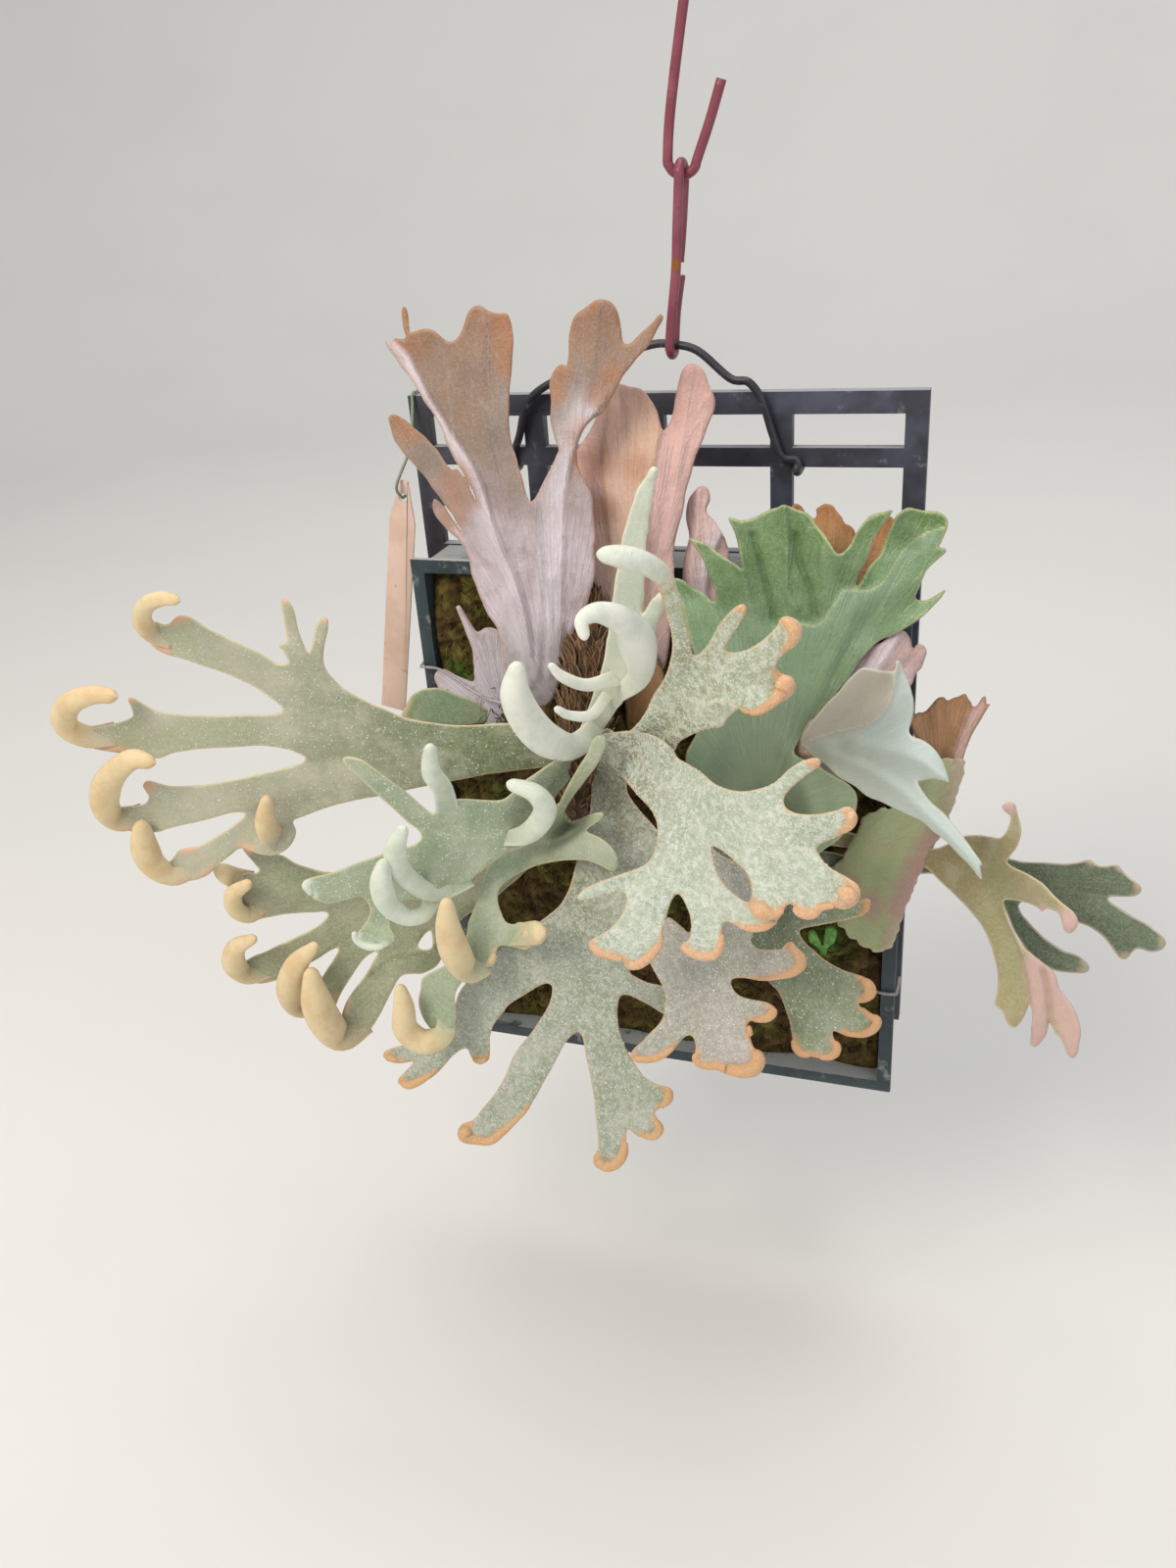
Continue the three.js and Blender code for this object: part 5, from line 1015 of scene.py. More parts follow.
# Fronds. A living leaf under a felt of white star-shaped hairs: matt and soft-edged, with the green showing
# through as blotches, a pale thickened margin and tips that dry to orange.
def feltedFrond(name, look):
    material, tree, shader = newMaterial(name, {
        "Roughness": 0.82, "Specular IOR Level": 0.3, "Sheen Weight": 0.3, "Sheen Roughness": 0.45,
        "Sheen Tint": hexColour("#eef2e6")})
    place = addNode(tree, "TexCoord", out="Object")
    fan = addNode(tree, "UVMap", uv_map="pieceUv")
    edge, tip, curl, root = (addNode(tree, "Attribute", out="Fac", attribute_name=key)
                             for key in ("edge", "tip", "curl", "root"))
    # from the foot's colour to the blade's: the leaf's own colour, and for centreFelt partly painted shade
    # near the root
    reach = {"Value": root, "From Min": 0.05, "From Max": look["baseReach"]}
    ageAndShade = addNode(tree, "MapRange", reach, **eased)
    colour = addNode(tree, "Mix", {0: ageAndShade, 6: look["base"], 7: look["blade"]}, **painted)
    colour, _ = blotches(tree, place, colour, look["mottle"], 16, 0.42, 0.66)
    colour, _ = blotches(tree, place, colour, look["green"], 30, 0.48, 0.62, look["greenShare"])
    # fine veins, 1.3 mm apart, that run out from the foot
    veins = addNode(tree, "Mapping", {"Vector": fan, "Scale": (0.75, 0.035, 1)})
    veins = addNode(tree, "TexVoronoi", {"Vector": veins, "Scale": 1.0}, feature="DISTANCE_TO_EDGE")
    veins = addNode(tree, "MapRange", {"Value": veins, "From Max": 0.12, "To Min": look["veinShare"],
                                       "To Max": 0.0})
    colour = addNode(tree, "Mix", {0: veins, 6: colour, 7: look["vein"]}, **painted)
    # frost: where the hairs are thick the felt whitens in clouds about 2 mm wide
    colour, clouds = blotches(tree, place, colour, look["felt"], 2.2, 0.4, 0.66, look["frost"], 4)
    # felt: tufts of white hairs about 1 mm across, thicker in some places than in others
    patches = addNode(tree, "TexNoise", {"Vector": place, "Scale": 1000 / 11, "Detail": 2.0})
    thick = {"Value": patches, "From Min": 0.4, "From Max": 0.62, "To Min": 0.3 * look["speckle"],
             "To Max": look["speckle"]}
    patches = addNode(tree, "MapRange", thick, **eased)
    hairy = {"Vector": place, "Scale": 1000 / 1.1, "Detail": 2.0, "Roughness": 0.65}
    tufts = {"Value": addNode(tree, "TexNoise", hairy), "From Min": 0.5, "From Max": 0.72}
    tufts = addNode(tree, "MapRange", tufts, **eased)
    tufts = addNode(tree, "Math", {0: tufts, 1: patches}, operation="MULTIPLY")
    # margin line, whose inner side wanders by up to 0.6 mm
    wander = addNode(tree, "TexNoise", {"Vector": place, "Scale": 1000 / 5, "Detail": 1.0})
    inFrom = addNode(tree, "Math", {0: wander, 1: -0.6, 2: edge}, operation="MULTIPLY_ADD")
    line = addNode(tree, "MapRange", {"Value": inFrom, "From Min": 0.0, "From Max": look["marginWidth"],
                                      "To Min": 0.75, "To Max": 0.0}, **eased)
    # the tips dry to orange, most at their rolled rim
    rim = addNode(tree, "MapRange", {"Value": inFrom, "From Min": 0.8, "From Max": look["tipDepth"],
                                     "To Min": look["tipShare"], "To Max": look["tipFill"]}, **eased)
    dried = addNode(tree, "Math", {0: tip, 1: rim}, operation="MULTIPLY")
    rolled, _ = blotches(tree, place, look["curl"], look["curlShade"], 9, 0.42, 0.64)
    # the nap of the felt is about 0.3 mm, drawn at 0.7 mm so that it shows
    nap = addNode(tree, "TexNoise", {"Vector": place, "Scale": 1000 / 0.7, "Detail": 2.0, "Roughness": 0.6})
    pale = addNode(tree, "MapRange", {"Value": nap, "From Min": 0.46, "From Max": 0.7, "To Max": 0.36})
    for mask, tint in ((tufts, look["felt"]), (line, look["margin"]), (dried, look["tip"]), (curl, rolled),
                       (pale, look["felt"])):
        colour = addNode(tree, "Mix", {0: mask, 6: colour, 7: tint}, **painted)
    surface(tree, shader, colour, [(1.2, nap), (1.0, tufts), (0.8, veins), (0.5, clouds)], 0.55, 0.3)
    return material


# Shield leaves. A firm leaf that dries like thin leather paper: a raised net of veins, a colour that goes
# from the foot to the lobes, and crumpled margins. A young one is green with a bluish bloom.
def shieldSkin(name, look):
    material, tree, shader = newMaterial(name, {
        "Roughness": look["roughness"], "Specular IOR Level": look["gloss"], "Sheen Weight": 0.15,
        "Sheen Roughness": 0.5})
    place = addNode(tree, "TexCoord", out="Object")
    fan = addNode(tree, "UVMap", uv_map="pieceUv")
    edge, tip, root, flap = (addNode(tree, "Attribute", out="Fac", attribute_name=key)
                             for key in ("edge", "tip", "root", "flap"))
    drift = addNode(tree, "TexNoise", {"Vector": place, "Scale": 1000 / 26, "Detail": 3.0, "Roughness": 0.6})
    drift = addNode(tree, "MapRange", {"Value": drift, "To Min": -0.3, "To Max": 0.3})
    along = addNode(tree, "Math", {0: root, 1: drift}, operation="ADD")
    colour = addNode(tree, "ValToRGB", {"Fac": along}, stops=look["ramp"])
    colour, _ = blotches(tree, place, colour, look["blotch"], 9, 0.48, 0.7, look["blotchShare"], 4)
    flap = addNode(tree, "Math", {0: flap, 1: look["flapShare"]}, operation="MULTIPLY")
    # fibres run out from the foot, about 0.8 mm apart
    fibres = addNode(tree, "Mapping", {"Vector": fan, "Scale": (1.3, 0.08, 1)})
    fibres = addNode(tree, "TexNoise", {"Vector": fibres, "Scale": 1.0, "Detail": 4.0, "Roughness": 0.65,
                                        "Distortion": 0.6})
    dark = addNode(tree, "MapRange", {"Value": fibres, "From Min": 0.42, "From Max": 0.62,
                                      "To Min": look["fibreShare"], "To Max": 0.0}, **eased)
    # veins: lengthwise ones 3 mm apart that join now and then, and a net of cells 2 to 3 mm wide
    bend = addNode(tree, "TexNoise", {"Vector": place, "Scale": 1000 / 14, "Detail": 2.0}, out=1)
    lines = []
    for spread, strength, width in (((0.34, 0.022, 1), 0.5, 0.06), ((0.5, 0.36, 1), 0.9, 0.09)):
        cells = addNode(tree, "Mapping", {"Vector": fan, "Scale": spread})
        cells = addNode(tree, "VectorMath", {0: bend, 1: (strength, strength, 0), 2: cells},
                        operation="MULTIPLY_ADD")
        gap = addNode(tree, "TexVoronoi", {"Vector": cells, "Scale": 1.0}, feature="DISTANCE_TO_EDGE")
        near = {"Value": gap, "From Max": width, "To Min": 1.0, "To Max": 0.0}
        lines.append(addNode(tree, "MapRange", near, **eased))
    net = addNode(tree, "Math", {0: lines[1], 1: look["netShare"], 2: lines[0]}, operation="MULTIPLY_ADD")
    drawn = addNode(tree, "Math", {0: net, 1: look["veinShare"]}, operation="MULTIPLY")
    wander = addNode(tree, "TexNoise", {"Vector": place, "Scale": 1000 / 5, "Detail": 2.0})
    inFrom = addNode(tree, "Math", {0: wander, 1: -1.6, 2: edge}, operation="MULTIPLY_ADD")
    line = addNode(tree, "MapRange", {"Value": inFrom, "From Min": -0.4, "From Max": look["marginWidth"],
                                      "To Min": look["marginShare"], "To Max": 0.0}, **eased)
    # the tip colour, laid on the tips and the tint places: the dried colour of the edges, and painted shade
    # in the green fan's grooves and notches and on the tall back leaf beside the front leaf
    dried = addNode(tree, "Math", {0: tip, 1: look["tipShare"]}, operation="MULTIPLY")
    grain = addNode(tree, "TexNoise", {"Vector": place, "Scale": 1000 / 0.9, "Detail": 3.0, "Roughness": 0.7})
    bloom = addNode(tree, "MapRange", {"Value": grain, "From Min": 0.45, "From Max": 0.7, "To Max": 0.22})
    for mask, tint in ((flap, "flap"), (dark, "fibre"), (drawn, "vein"), (line, "margin"), (dried, "tip"),
                       (bloom, "bloom")):
        colour = addNode(tree, "Mix", {0: mask, 6: colour, 7: look[tint]}, **painted)
    crumple = addNode(tree, "TexNoise", {"Vector": place, "Scale": 1000 / 5, "Detail": 3.0, "Roughness": 0.6})
    surface(tree, shader, colour, [(look["netHeight"], net), (0.8, fibres), (1.0, crumple), (0.3, grain)],
            look["relief"], 0.6)
    return material


greyFelt = {
    "base": "#7f7860", "blade": "#8d967f", "mottle": "#a6a99b", "green": "#84937a", "greenShare": 0.35,
    "vein": "#b3b9a8", "veinShare": 0.16, "felt": "#d2d6cc", "speckle": 0.6, "frost": 0.4,
    "margin": "#cfb088", "marginWidth": 0.55, "tip": "#d6a36e", "tipDepth": 3.0, "tipFill": 0.12,
    "tipShare": 0.9, "curl": "#e0b184", "curlShade": "#d79f70", "baseReach": 0.45,
}
oliveFelt = {
    **greyFelt, "base": "#63744a", "blade": "#abab94", "mottle": "#b5b3a0", "green": "#8b9a6f",
    "vein": "#b9bda4", "felt": "#cccfba", "speckle": 0.3, "frost": 0.12, "margin": "#dccba0",
    "tip": "#dcb08c", "curl": "#e6d0a4", "curlShade": "#dfc091",
}
whiteFelt = {
    **greyFelt, "base": "#c3c6ae", "blade": "#d3dacb", "mottle": "#c6cfc0", "green": "#bccab0",
    "vein": "#dfe6dc", "felt": "#e6eadf", "speckle": 0.3, "frost": 0.0, "margin": "#e9e6d2",
    "tip": "#dddccb", "curl": "#eceee4", "curlShade": "#dde3d6", "greenShare": 0.2,
}
speckledFelt = {
    **greyFelt, "base": "#7c6f52", "blade": "#b4c0aa", "mottle": "#a2b099", "green": "#98a98c",
    "vein": "#ccd4c5", "felt": "#eaefe7", "speckle": 0.8, "frost": 0.5, "margin": "#d3b98f",
    "tip": "#dca677", "curl": "#e3b288", "curlShade": "#dba372",
}
greenFelt = {
    **greyFelt, "base": "#98a07c", "blade": "#98a686", "mottle": "#abb29b", "green": "#88997a",
    "vein": "#bccbb0", "felt": "#ccd6c6", "speckle": 0.3, "frost": 0.15, "margin": "#cfc49a",
    "tip": "#d6bd96", "curl": "#e0e6d8", "curlShade": "#cfdac8",
}
lilacFelt = {**greyFelt, "blade": "#a3a092", "mottle": "#b0a8a2", "green": "#949885", "felt": "#d6d3d0"}
darkFelt = {
    **greyFelt, "base": "#737a5c", "blade": "#828f6a", "mottle": "#929b84", "green": "#73845c",
    "felt": "#b9bfb0", "speckle": 0.35, "frost": 0.3, "margin": "#cfae82", "tip": "#d9a273",
}
tanFelt = {
    **greyFelt, "base": "#846c47", "baseReach": 0.85, "blade": "#a29a6f", "mottle": "#aea486",
    "green": "#8f9a6a", "vein": "#bdb28c", "felt": "#c9c1a6", "speckle": 0.15, "frost": 0.1,
    "margin": "#d9c3a3", "tip": "#d2abab", "curl": "#d9b3a9", "curlShade": "#c99f98", "tipFill": 0.72,
    "tipShare": 0.8, "tipDepth": 5.0,
}
slateFelt = {
    **greyFelt, "base": "#5f6543", "blade": "#5a6751", "mottle": "#687660", "green": "#506045",
    "vein": "#8f9b86", "felt": "#a9b3a4", "speckle": 0.2, "frost": 0.1, "margin": "#cdb9a4",
    "tip": "#b3a58c", "curl": "#a9b3a4", "curlShade": "#8f9b86", "tipFill": 0.3,
}
# the olive felt with a darker blade and mottle: painted shade over this frond
lowLeftShadedFelt = {**oliveFelt, "base": "#6a7550", "blade": "#8b8f72", "mottle": "#979a80", "baseReach": 0.7}
# its dark olive foot reaches far over the blade: partly the frond's own colour at the foot and partly painted
# shade near its root
centreFelt = {
    **speckledFelt, "base": "#6d6d43", "blade": "#a6ac88", "mottle": "#a9b093", "baseReach": 0.8,
    "speckle": 0.5, "curl": "#e2e8da", "curlShade": "#d3dccb",
}

frondRims = {"ragged": 0.25, "tipRoll": 0.0, "lip": 0.3, "tipReach": 2.5, "step": 2.15}
roundFelt = {**greenFelt, "blade": "#7f9f74", "mottle": "#8fa783"}
fronds = [
    (frondLeftLong, "frond_left_long", {**oliveFelt, "baseReach": 0.75}, frondRims),
    (frondLeftLow, "frond_left_low", lowLeftShadedFelt, frondRims),
    (frondMidLeft, "frond_mid_left", {**greenFelt, "tip": "#dbe2d3"}, frondRims),
    (frondCentreUpright, "frond_centre_upright", whiteFelt, {"webbing": 4}),
    (frondCentreRight, "frond_centre_right", centreFelt, frondRims),
    (frondRightBroad, "frond_right_broad", speckledFelt, frondRims),
    (frondDouble, "frond_double", {**greenFelt, "curl": "#e6d0a4", "curlShade": "#dfc091"}, frondRims),
    (frondBottomCentre, "frond_bottom_centre", greyFelt, frondRims),
    (frondBottomRight, "frond_bottom_right", lilacFelt, frondRims),
    (frondLowRightDark, "frond_low_right_dark", darkFelt, frondRims),
    (frondRightLong, "frond_right_long", tanFelt, frondRims),
    (frondRightDark, "frond_right_dark", slateFelt, frondRims),
    (leafSmallRound, "leaf_small_round", roundFelt, {"tipRoll": 0}),
]
blades = {}
for leaf, node, look, changes in fronds:
    skin = feltedFrond(node + "_felt", look)
    blades[node] = leafPiece(node + "_blade", leaf, skin, node, "frond_felt", **changes)
print("fronds made:", len(fronds))


# Hairs. A star of four short white arms that lies on the blade; the tufts of them are the frost on a staghorn
hairs = {
    "colour": "#e9eee6", "arms": 4, "arm": 0.42, "unevenness": 0.4, "waist": 0.4, "rise": 0.16, "sunk": 0.12,
    "backShare": 0.3,
    "count": {"frond_right_broad": 3000, "frond_bottom_centre": 3000, "frond_bottom_right": 1700,
              "frond_centre_right": 1300, "frond_low_right_dark": 900, "frond_left_long": 1100,
              "frond_mid_left": 900},
}


def starHairs(name, blade, count, seed, material):
    # a place is a + sqrt(s)(1 - t)(b - a) + sqrt(s) t (c - a) on a triangle a, b, c, drawn by the triangles'
    # sizes; a star is a ring of points, every second one drawn in to the waist, between a raised middle and a
    # foot
    draw = np.random.default_rng(seed)
    mesh = blade.data
    mesh.calc_loop_triangles()
    corners = np.empty(len(mesh.loop_triangles) * 3, np.int32)
    mesh.loop_triangles.foreach_get("vertices", corners)
    places, dried = np.empty(len(mesh.vertices) * 3), np.empty(len(mesh.vertices))
    mesh.vertices.foreach_get("co", places)
    mesh.attributes["tip"].data.foreach_get("value", dried)
    corners = corners.reshape(-1, 3)
    a, b, c = places.reshape(-1, 3)[corners].transpose(1, 0, 2)
    normal = np.cross(b - a, c - a)
    share = np.linalg.norm(normal, axis=1)
    share = share * np.where((normal * (toFrame(eye) - a)).sum(1) > 0, 1, hairs["backShare"])
    share = share * (dried[corners].max(1) < 0.3)
    drawn = draw.choice(len(share), count, p=share / share.sum())
    a, b, c, normal = a[drawn], b[drawn], c[drawn], unit(normal[drawn])
    s, t = np.sqrt(draw.uniform(0, 1, (count, 1))), draw.uniform(0, 1, (count, 1))
    centre = a + s * (1 - t) * (b - a) + s * t * (c - a)
    across = unit(b - a)
    onward = np.cross(normal, across)
    points = 2 * hairs["arms"]
    k = np.arange(points)
    turn = draw.uniform(0, 2 * np.pi, (count, 1)) + k * 2 * np.pi / points
    arm = hairs["arm"] * draw.uniform(1 - hairs["unevenness"], 1 + hairs["unevenness"], (count, 1))
    arm = arm * np.where(k % 2, hairs["waist"], 1) / 1000
    ring = centre[:, None] + (np.cos(turn) * arm)[..., None] * across[:, None]
    ring = ring + (np.sin(turn) * arm)[..., None] * onward[:, None]
    top = centre + normal * hairs["rise"] / 1000
    foot = centre - normal * hairs["sunk"] / 1000
    vertices = np.concatenate([ring, top[:, None], foot[:, None]], 1).reshape(-1, 3)
    after, middle = (k + 1) % points, 0 * k + points
    star = np.concatenate([np.stack([k, after, middle], -1), np.stack([after, k, middle + 1], -1)])
    faces = (star[None] + np.arange(count)[:, None, None] * (points + 2)).reshape(-1, 3)
    makePiece(name, vertices * 1000 + panelTop, faces, material, (), "frond_felt")


hairSkin = mottled("star_hairs", {"Roughness": 0.85, "Specular IOR Level": 0.3}, hairs["colour"],
                   [("#d3dacb", 9, 0.4, 0.7, 0.8)])
for turn, (node, count) in enumerate(hairs["count"].items()):
    starHairs(node + "_hairs", blades[node], count, 40 + turn, hairSkin)
print("hairs made:", sum(hairs["count"].values()))

tallPaper = {
   
    "ramp": [(0.0, "#e6dde6"), (0.3, "#d9ccd5"), (0.5, "#aa9b9b"), (0.68, "#90806f"), (0.84, "#9a7a60"),
             (1.0, "#a1714a")],
    "blotch": "#8a7064", "blotchShare": 0.45, "vein": "#cfc0be", "veinShare": 0.1, "netShare": 0.6,
    "netHeight": 0.25, "fibre": "#93807f", "fibreShare": 0.22, "flap": "#ece4ee", "flapShare": 0.8,
    "margin": "#c08a60", "marginWidth": 0.5, "marginShare": 0.4, "tip": "#b27a50", "tipShare": 0.6,
    "bloom": "#cdc0c2", "roughness": 0.72, "gloss": 0.35, "relief": 0.95,
}
backPaper = {
    **tallPaper, "ramp": [(0.0, "#cdb1b1"), (0.4, "#dab6b0"), (0.7, "#deb5ad"), (1.0, "#deb1a8")],
    "blotch": "#b58e84", "blotchShare": 0.3, "margin": "#c9957f", "fibre": "#a3857b", "fibreShare": 0.15,
    "flap": "#d6b294", "flapShare": 0.9, "vein": "#dcc3b6", "tipShare": 0.45, "tip": "#b5724e",
}
rustPaper = {
    **tallPaper, "ramp": [(0.0, "#9d785e"), (0.5, "#b88a5e"), (1.0, "#c9935e")], "blotch": "#7a533a",
    "vein": "#cda37a", "margin": "#94633f", "tip": "#a57048", "bloom": "#d0aa80", "fibre": "#7a4f35",
    "flap": "#c49a92",
}
lilacPaper = {
    **tallPaper, "ramp": [(0.0, "#dccbd2"), (0.6, "#dbbfc3"), (1.0, "#d0b3ae")], "blotch": "#b08f92",
    "blotchShare": 0.25, "margin": "#c08e84", "tip": "#b08f86", "tipShare": 0.12, "fibre": "#a5868c",
    "fibreShare": 0.12,
}
# freshGreen's tip colour is a dark green: it colours the lobe tips, and at the green fan's tint places along
# its grooves and notches it is painted shade
freshGreen = {
    **tallPaper, "ramp": [(0.0, "#b6c3a2"), (0.35, "#93ab8e"), (0.6, "#7f9c72"), (1.0, "#5f8038")],
    "blotch": "#9db296", "blotchShare": 0.35, "vein": "#b3c6a0", "margin": "#c6c48f", "tip": "#4c6a30",
    "bloom": "#bccbb6", "veinShare": 0.14, "marginWidth": 0.4, "marginShare": 0.5, "fibre": "#5f7d52",
    "fibreShare": 0.3, "flap": "#a3bba1", "flapShare": 0.5, "roughness": 0.42, "gloss": 0.5, "relief": 0.5,
    "netHeight": 0.7,
}
youngBlue = {
    **freshGreen, "ramp": [(0.0, "#b5b0a0"), (0.3, "#b7beb4"), (0.6, "#bac5c1"), (1.0, "#b8c7c3")],
    "blotch": "#bac3bd", "vein": "#c2cec7", "veinShare": 0.08, "margin": "#cfd2bb", "bloom": "#cbd5d0",
    "relief": 0.2, "tip": "#a9b6b0", "tipShare": 0.2, "roughness": 0.55, "fibre": "#8fa197",
    "fibreShare": 0.15, "flap": "#b9a796", "flapShare": 0.75,
}
lowGreen = {
    **freshGreen, "ramp": [(0.0, "#a3936c"), (0.3, "#98a574"), (0.62, "#b3bd8e"), (1.0, "#d0d2a2")],
    "blotch": "#b5a180", "blotchShare": 0.6, "vein": "#c6caa2", "veinShare": 0.12, "margin": "#c9b28f",
    "marginWidth": 0.5, "bloom": "#cfd0a6", "tip": "#b07f80", "tipShare": 0.65, "flap": "#c79d9a",
    "flapShare": 0.6, "fibreShare": 0.08,
}
driedPaper = {
    **rustPaper, "ramp": [(0.0, "#b58a68"), (0.5, "#c1936c"), (1.0, "#cf9f78")], "flap": "#e2bcb4",
    "flapShare": 1.0,
}
pinkPaper = {**lilacPaper, "ramp": [(0.0, "#d9bab8"), (0.5, "#ecccc8"), (1.0, "#e9c2bc")]}
palePaper = {**lilacPaper, "ramp": [(0.0, "#f0eaf7"), (0.5, "#ede5f1"), (1.0, "#e4dbe6")], "blotchShare": 0.1}
shieldShape = {"tipRoll": 0.0, "lip": 0.0, "webbing": 5, "rim": 0.9, "ragged": 0.8, "rippleReach": 9}
torn = {"ragged": 1.2, "raggedLength": 14}

shields = [
    (shieldTallFront, "shield_tall_front", "shield_papery", tallPaper, {"ripple": 1.0}),
    (shieldTallBack, "shield_tall_back", "shield_papery", backPaper, {"ripple": 1.0}),
    (shieldOldRust, "shield_old_rust", "shield_papery", rustPaper, {}),
    (shieldGreenFan, "shield_green_fan", "shield_fresh", freshGreen, {"ripple": 1.2}),
    (shieldYoung, "shield_young", "shield_fresh", youngBlue, {"ripple": 0.8}),
    (shieldPinkLilac, "shield_pink_lilac", "shield_papery", lilacPaper, {"ripple": 1.2}),
    (shieldRightLow, "shield_right_low", "shield_fresh", lowGreen,
     {"ripple": 1.0, "ragged": 1.5, "raggedLength": 11}),
    (shieldDriedRight, "shield_dried_right", "shield_papery", driedPaper, torn),
    (shieldSmallPink, "shield_small_pink", "shield_papery", pinkPaper, {"ripple": 1.2}),
    (shieldDriedTips, "shield_dried_tips", "shield_papery", rustPaper, torn),
    (shieldLowLeft, "shield_low_left", "shield_papery", palePaper, {}),
]
for leaf, node, slot, look, changes in shields:
    skin = shieldSkin(node + "_skin", look)
    leafPiece(node + "_leaf", leaf, skin, node, slot, **{**shieldShape, **changes})
print("shield leaves made:", len(shields))


# Basket: moulded black plastic, matt from use, with pale mineral crust where water has dried on top faces
def stainedPlastic(name, look):
    material, tree, shader = newMaterial(name, {"Roughness": look["roughness"], "Specular IOR Level": 0.5})
    place = addNode(tree, "TexCoord", out="Object")
    colour, _ = blotches(tree, place, look["plastic"], look["worn"], 22, 0.42, 0.68, 0.8)
    up = addNode(tree, "SeparateXYZ", {0: addNode(tree, "NewGeometry", out="Normal")}, out=2)
    lying = {"Value": up, "From Min": 0.2, "From Max": 0.9, "To Min": look["crustBase"],
             "To Max": look["crustTop"]}
    up = addNode(tree, "MapRange", lying, **eased)
    crust = addNode(tree, "TexNoise", {"Vector": place, "Scale": 1000 / 9, "Detail": 5.0, "Roughness": 0.65})
    crust = addNode(tree, "Math", {0: crust, 1: up}, operation="ADD")
    crust = addNode(tree, "MapRange", {"Value": crust, "From Min": 0.78, "From Max": 1.0}, **eased)
    colour = addNode(tree, "Mix", {0: crust, 6: colour, 7: look["crust"]}, **painted)
    grain = addNode(tree, "TexNoise", {"Vector": place, "Scale": 1000 / 1.1, "Detail": 3.0, "Roughness": 0.6})
    matt = addNode(tree, "MapRange", {"Value": crust, "To Min": look["roughness"], "To Max": 0.9})
    tree.links.new(matt, shader.inputs["Roughness"])
    surface(tree, shader, colour, [(0.4, grain), (1.0, crust)], 0.35, 0.25)
    return material


def bevelledCopy(name, node, material, width):
    # the CAD node's own mesh with its doubles merged; a Bevel rounds every sharp edge
    mesh = nodes[node].data.copy()
    mesh.name = name
    work = bmesh.new()
    work.from_mesh(mesh)
    bmesh.ops.remove_doubles(work, verts=work.verts, dist=1e-5)
    work.to_mesh(mesh)
    work.free()
    mesh.materials.clear()
    mesh.materials.append(material)
    mesh.polygons.foreach_set("use_smooth", [True] * len(mesh.polygons))
    piece = placed(name, mesh)
    edges = piece.modifiers.new("edges", "BEVEL")
    edges.width, edges.segments, edges.harden_normals = width / 1000, 2, True
    edges.limit_method, edges.angle_limit = "ANGLE", math.radians(35)
    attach(piece, "root")
    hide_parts(node)


latticeLook = {
    "plastic": "#34363f", "worn": "#535668", "crust": "#9b9ba3", "roughness": 0.5, "crustBase": 0.2,
    "crustTop": 0.6,
}
basketLook = {
    "plastic": "#27343a", "worn": "#39494f", "crust": "#a6a8a6", "roughness": 0.45, "crustBase": 0.2,
    "crustTop": 0.55,
}
latticeSkin = stainedPlastic("lattice_moulding", latticeLook)
basketSkin = stainedPlastic("basket_moulding", basketLook)
bevelledCopy("grid_panel_moulding", "grid_panel", latticeSkin, 0.9)
bevelledCopy("pot_moulding", "pot", basketSkin, 0.5)
print("basket made")


# Wires
def coatedWire(name, look):
    # steel wire dipped in soft plastic: an even, slightly waxy skin that dulls and splits where it is bent
    material, tree, shader = newMaterial(name, {"Roughness": look["roughness"], "Specular IOR Level": 0.5})
    place = addNode(tree, "TexCoord", out="Object")
    colour, _ = blotches(tree, place, look["coat"], look["worn"], 14, 0.4, 0.7, 0.7)
    colour, _ = blotches(tree, place, colour, look["dirt"], 3.5, 0.6, 0.72, 0.6)
    if "rustAt" in look:  # where the coat has split
        away = addNode(tree, "VectorMath", {0: place, 1: tuple(toFrame(look["rustAt"]))}, out=1,
                       operation="DISTANCE")
        ragged = addNode(tree, "TexNoise", {"Vector": place, "Scale": 1000 / 1.6, "Detail": 2.0})
        away = addNode(tree, "Math", {0: ragged, 1: -0.0025, 2: away}, operation="MULTIPLY_ADD")
        rusty = {"Value": away, "From Min": 0.0004, "From Max": 0.0012, "To Min": 1.0, "To Max": 0.0}
        rust = addNode(tree, "MapRange", rusty, **eased)
        colour = addNode(tree, "Mix", {0: rust, 6: colour, 7: "#9a5a26"}, **painted)
    grain = addNode(tree, "TexNoise", {"Vector": place, "Scale": 1000 / 1.4, "Detail": 2.0})
    surface(tree, shader, colour, [(1.0, grain)], 0.25, 0.15)
    return material


def arc(centre, radius, first, last, count, plane):
    # count points of a circle in the XZ or the YZ plane
    angle = np.radians(np.linspace(first, last, count))
    points = np.tile(centre, (count, 1)).astype(float)
    points[:, 0 if plane == "XZ" else 1] += radius * np.cos(angle)
    points[:, 2] += radius * np.sin(angle)
    return points


def wirePiece(name, stations, diameter, material, node, slot, sides=16):
    vertices, faces = wireSurface(np.vstack(stations), diameter, sides, 6)
    makePiece(name, vertices, faces, material, [node], slot)


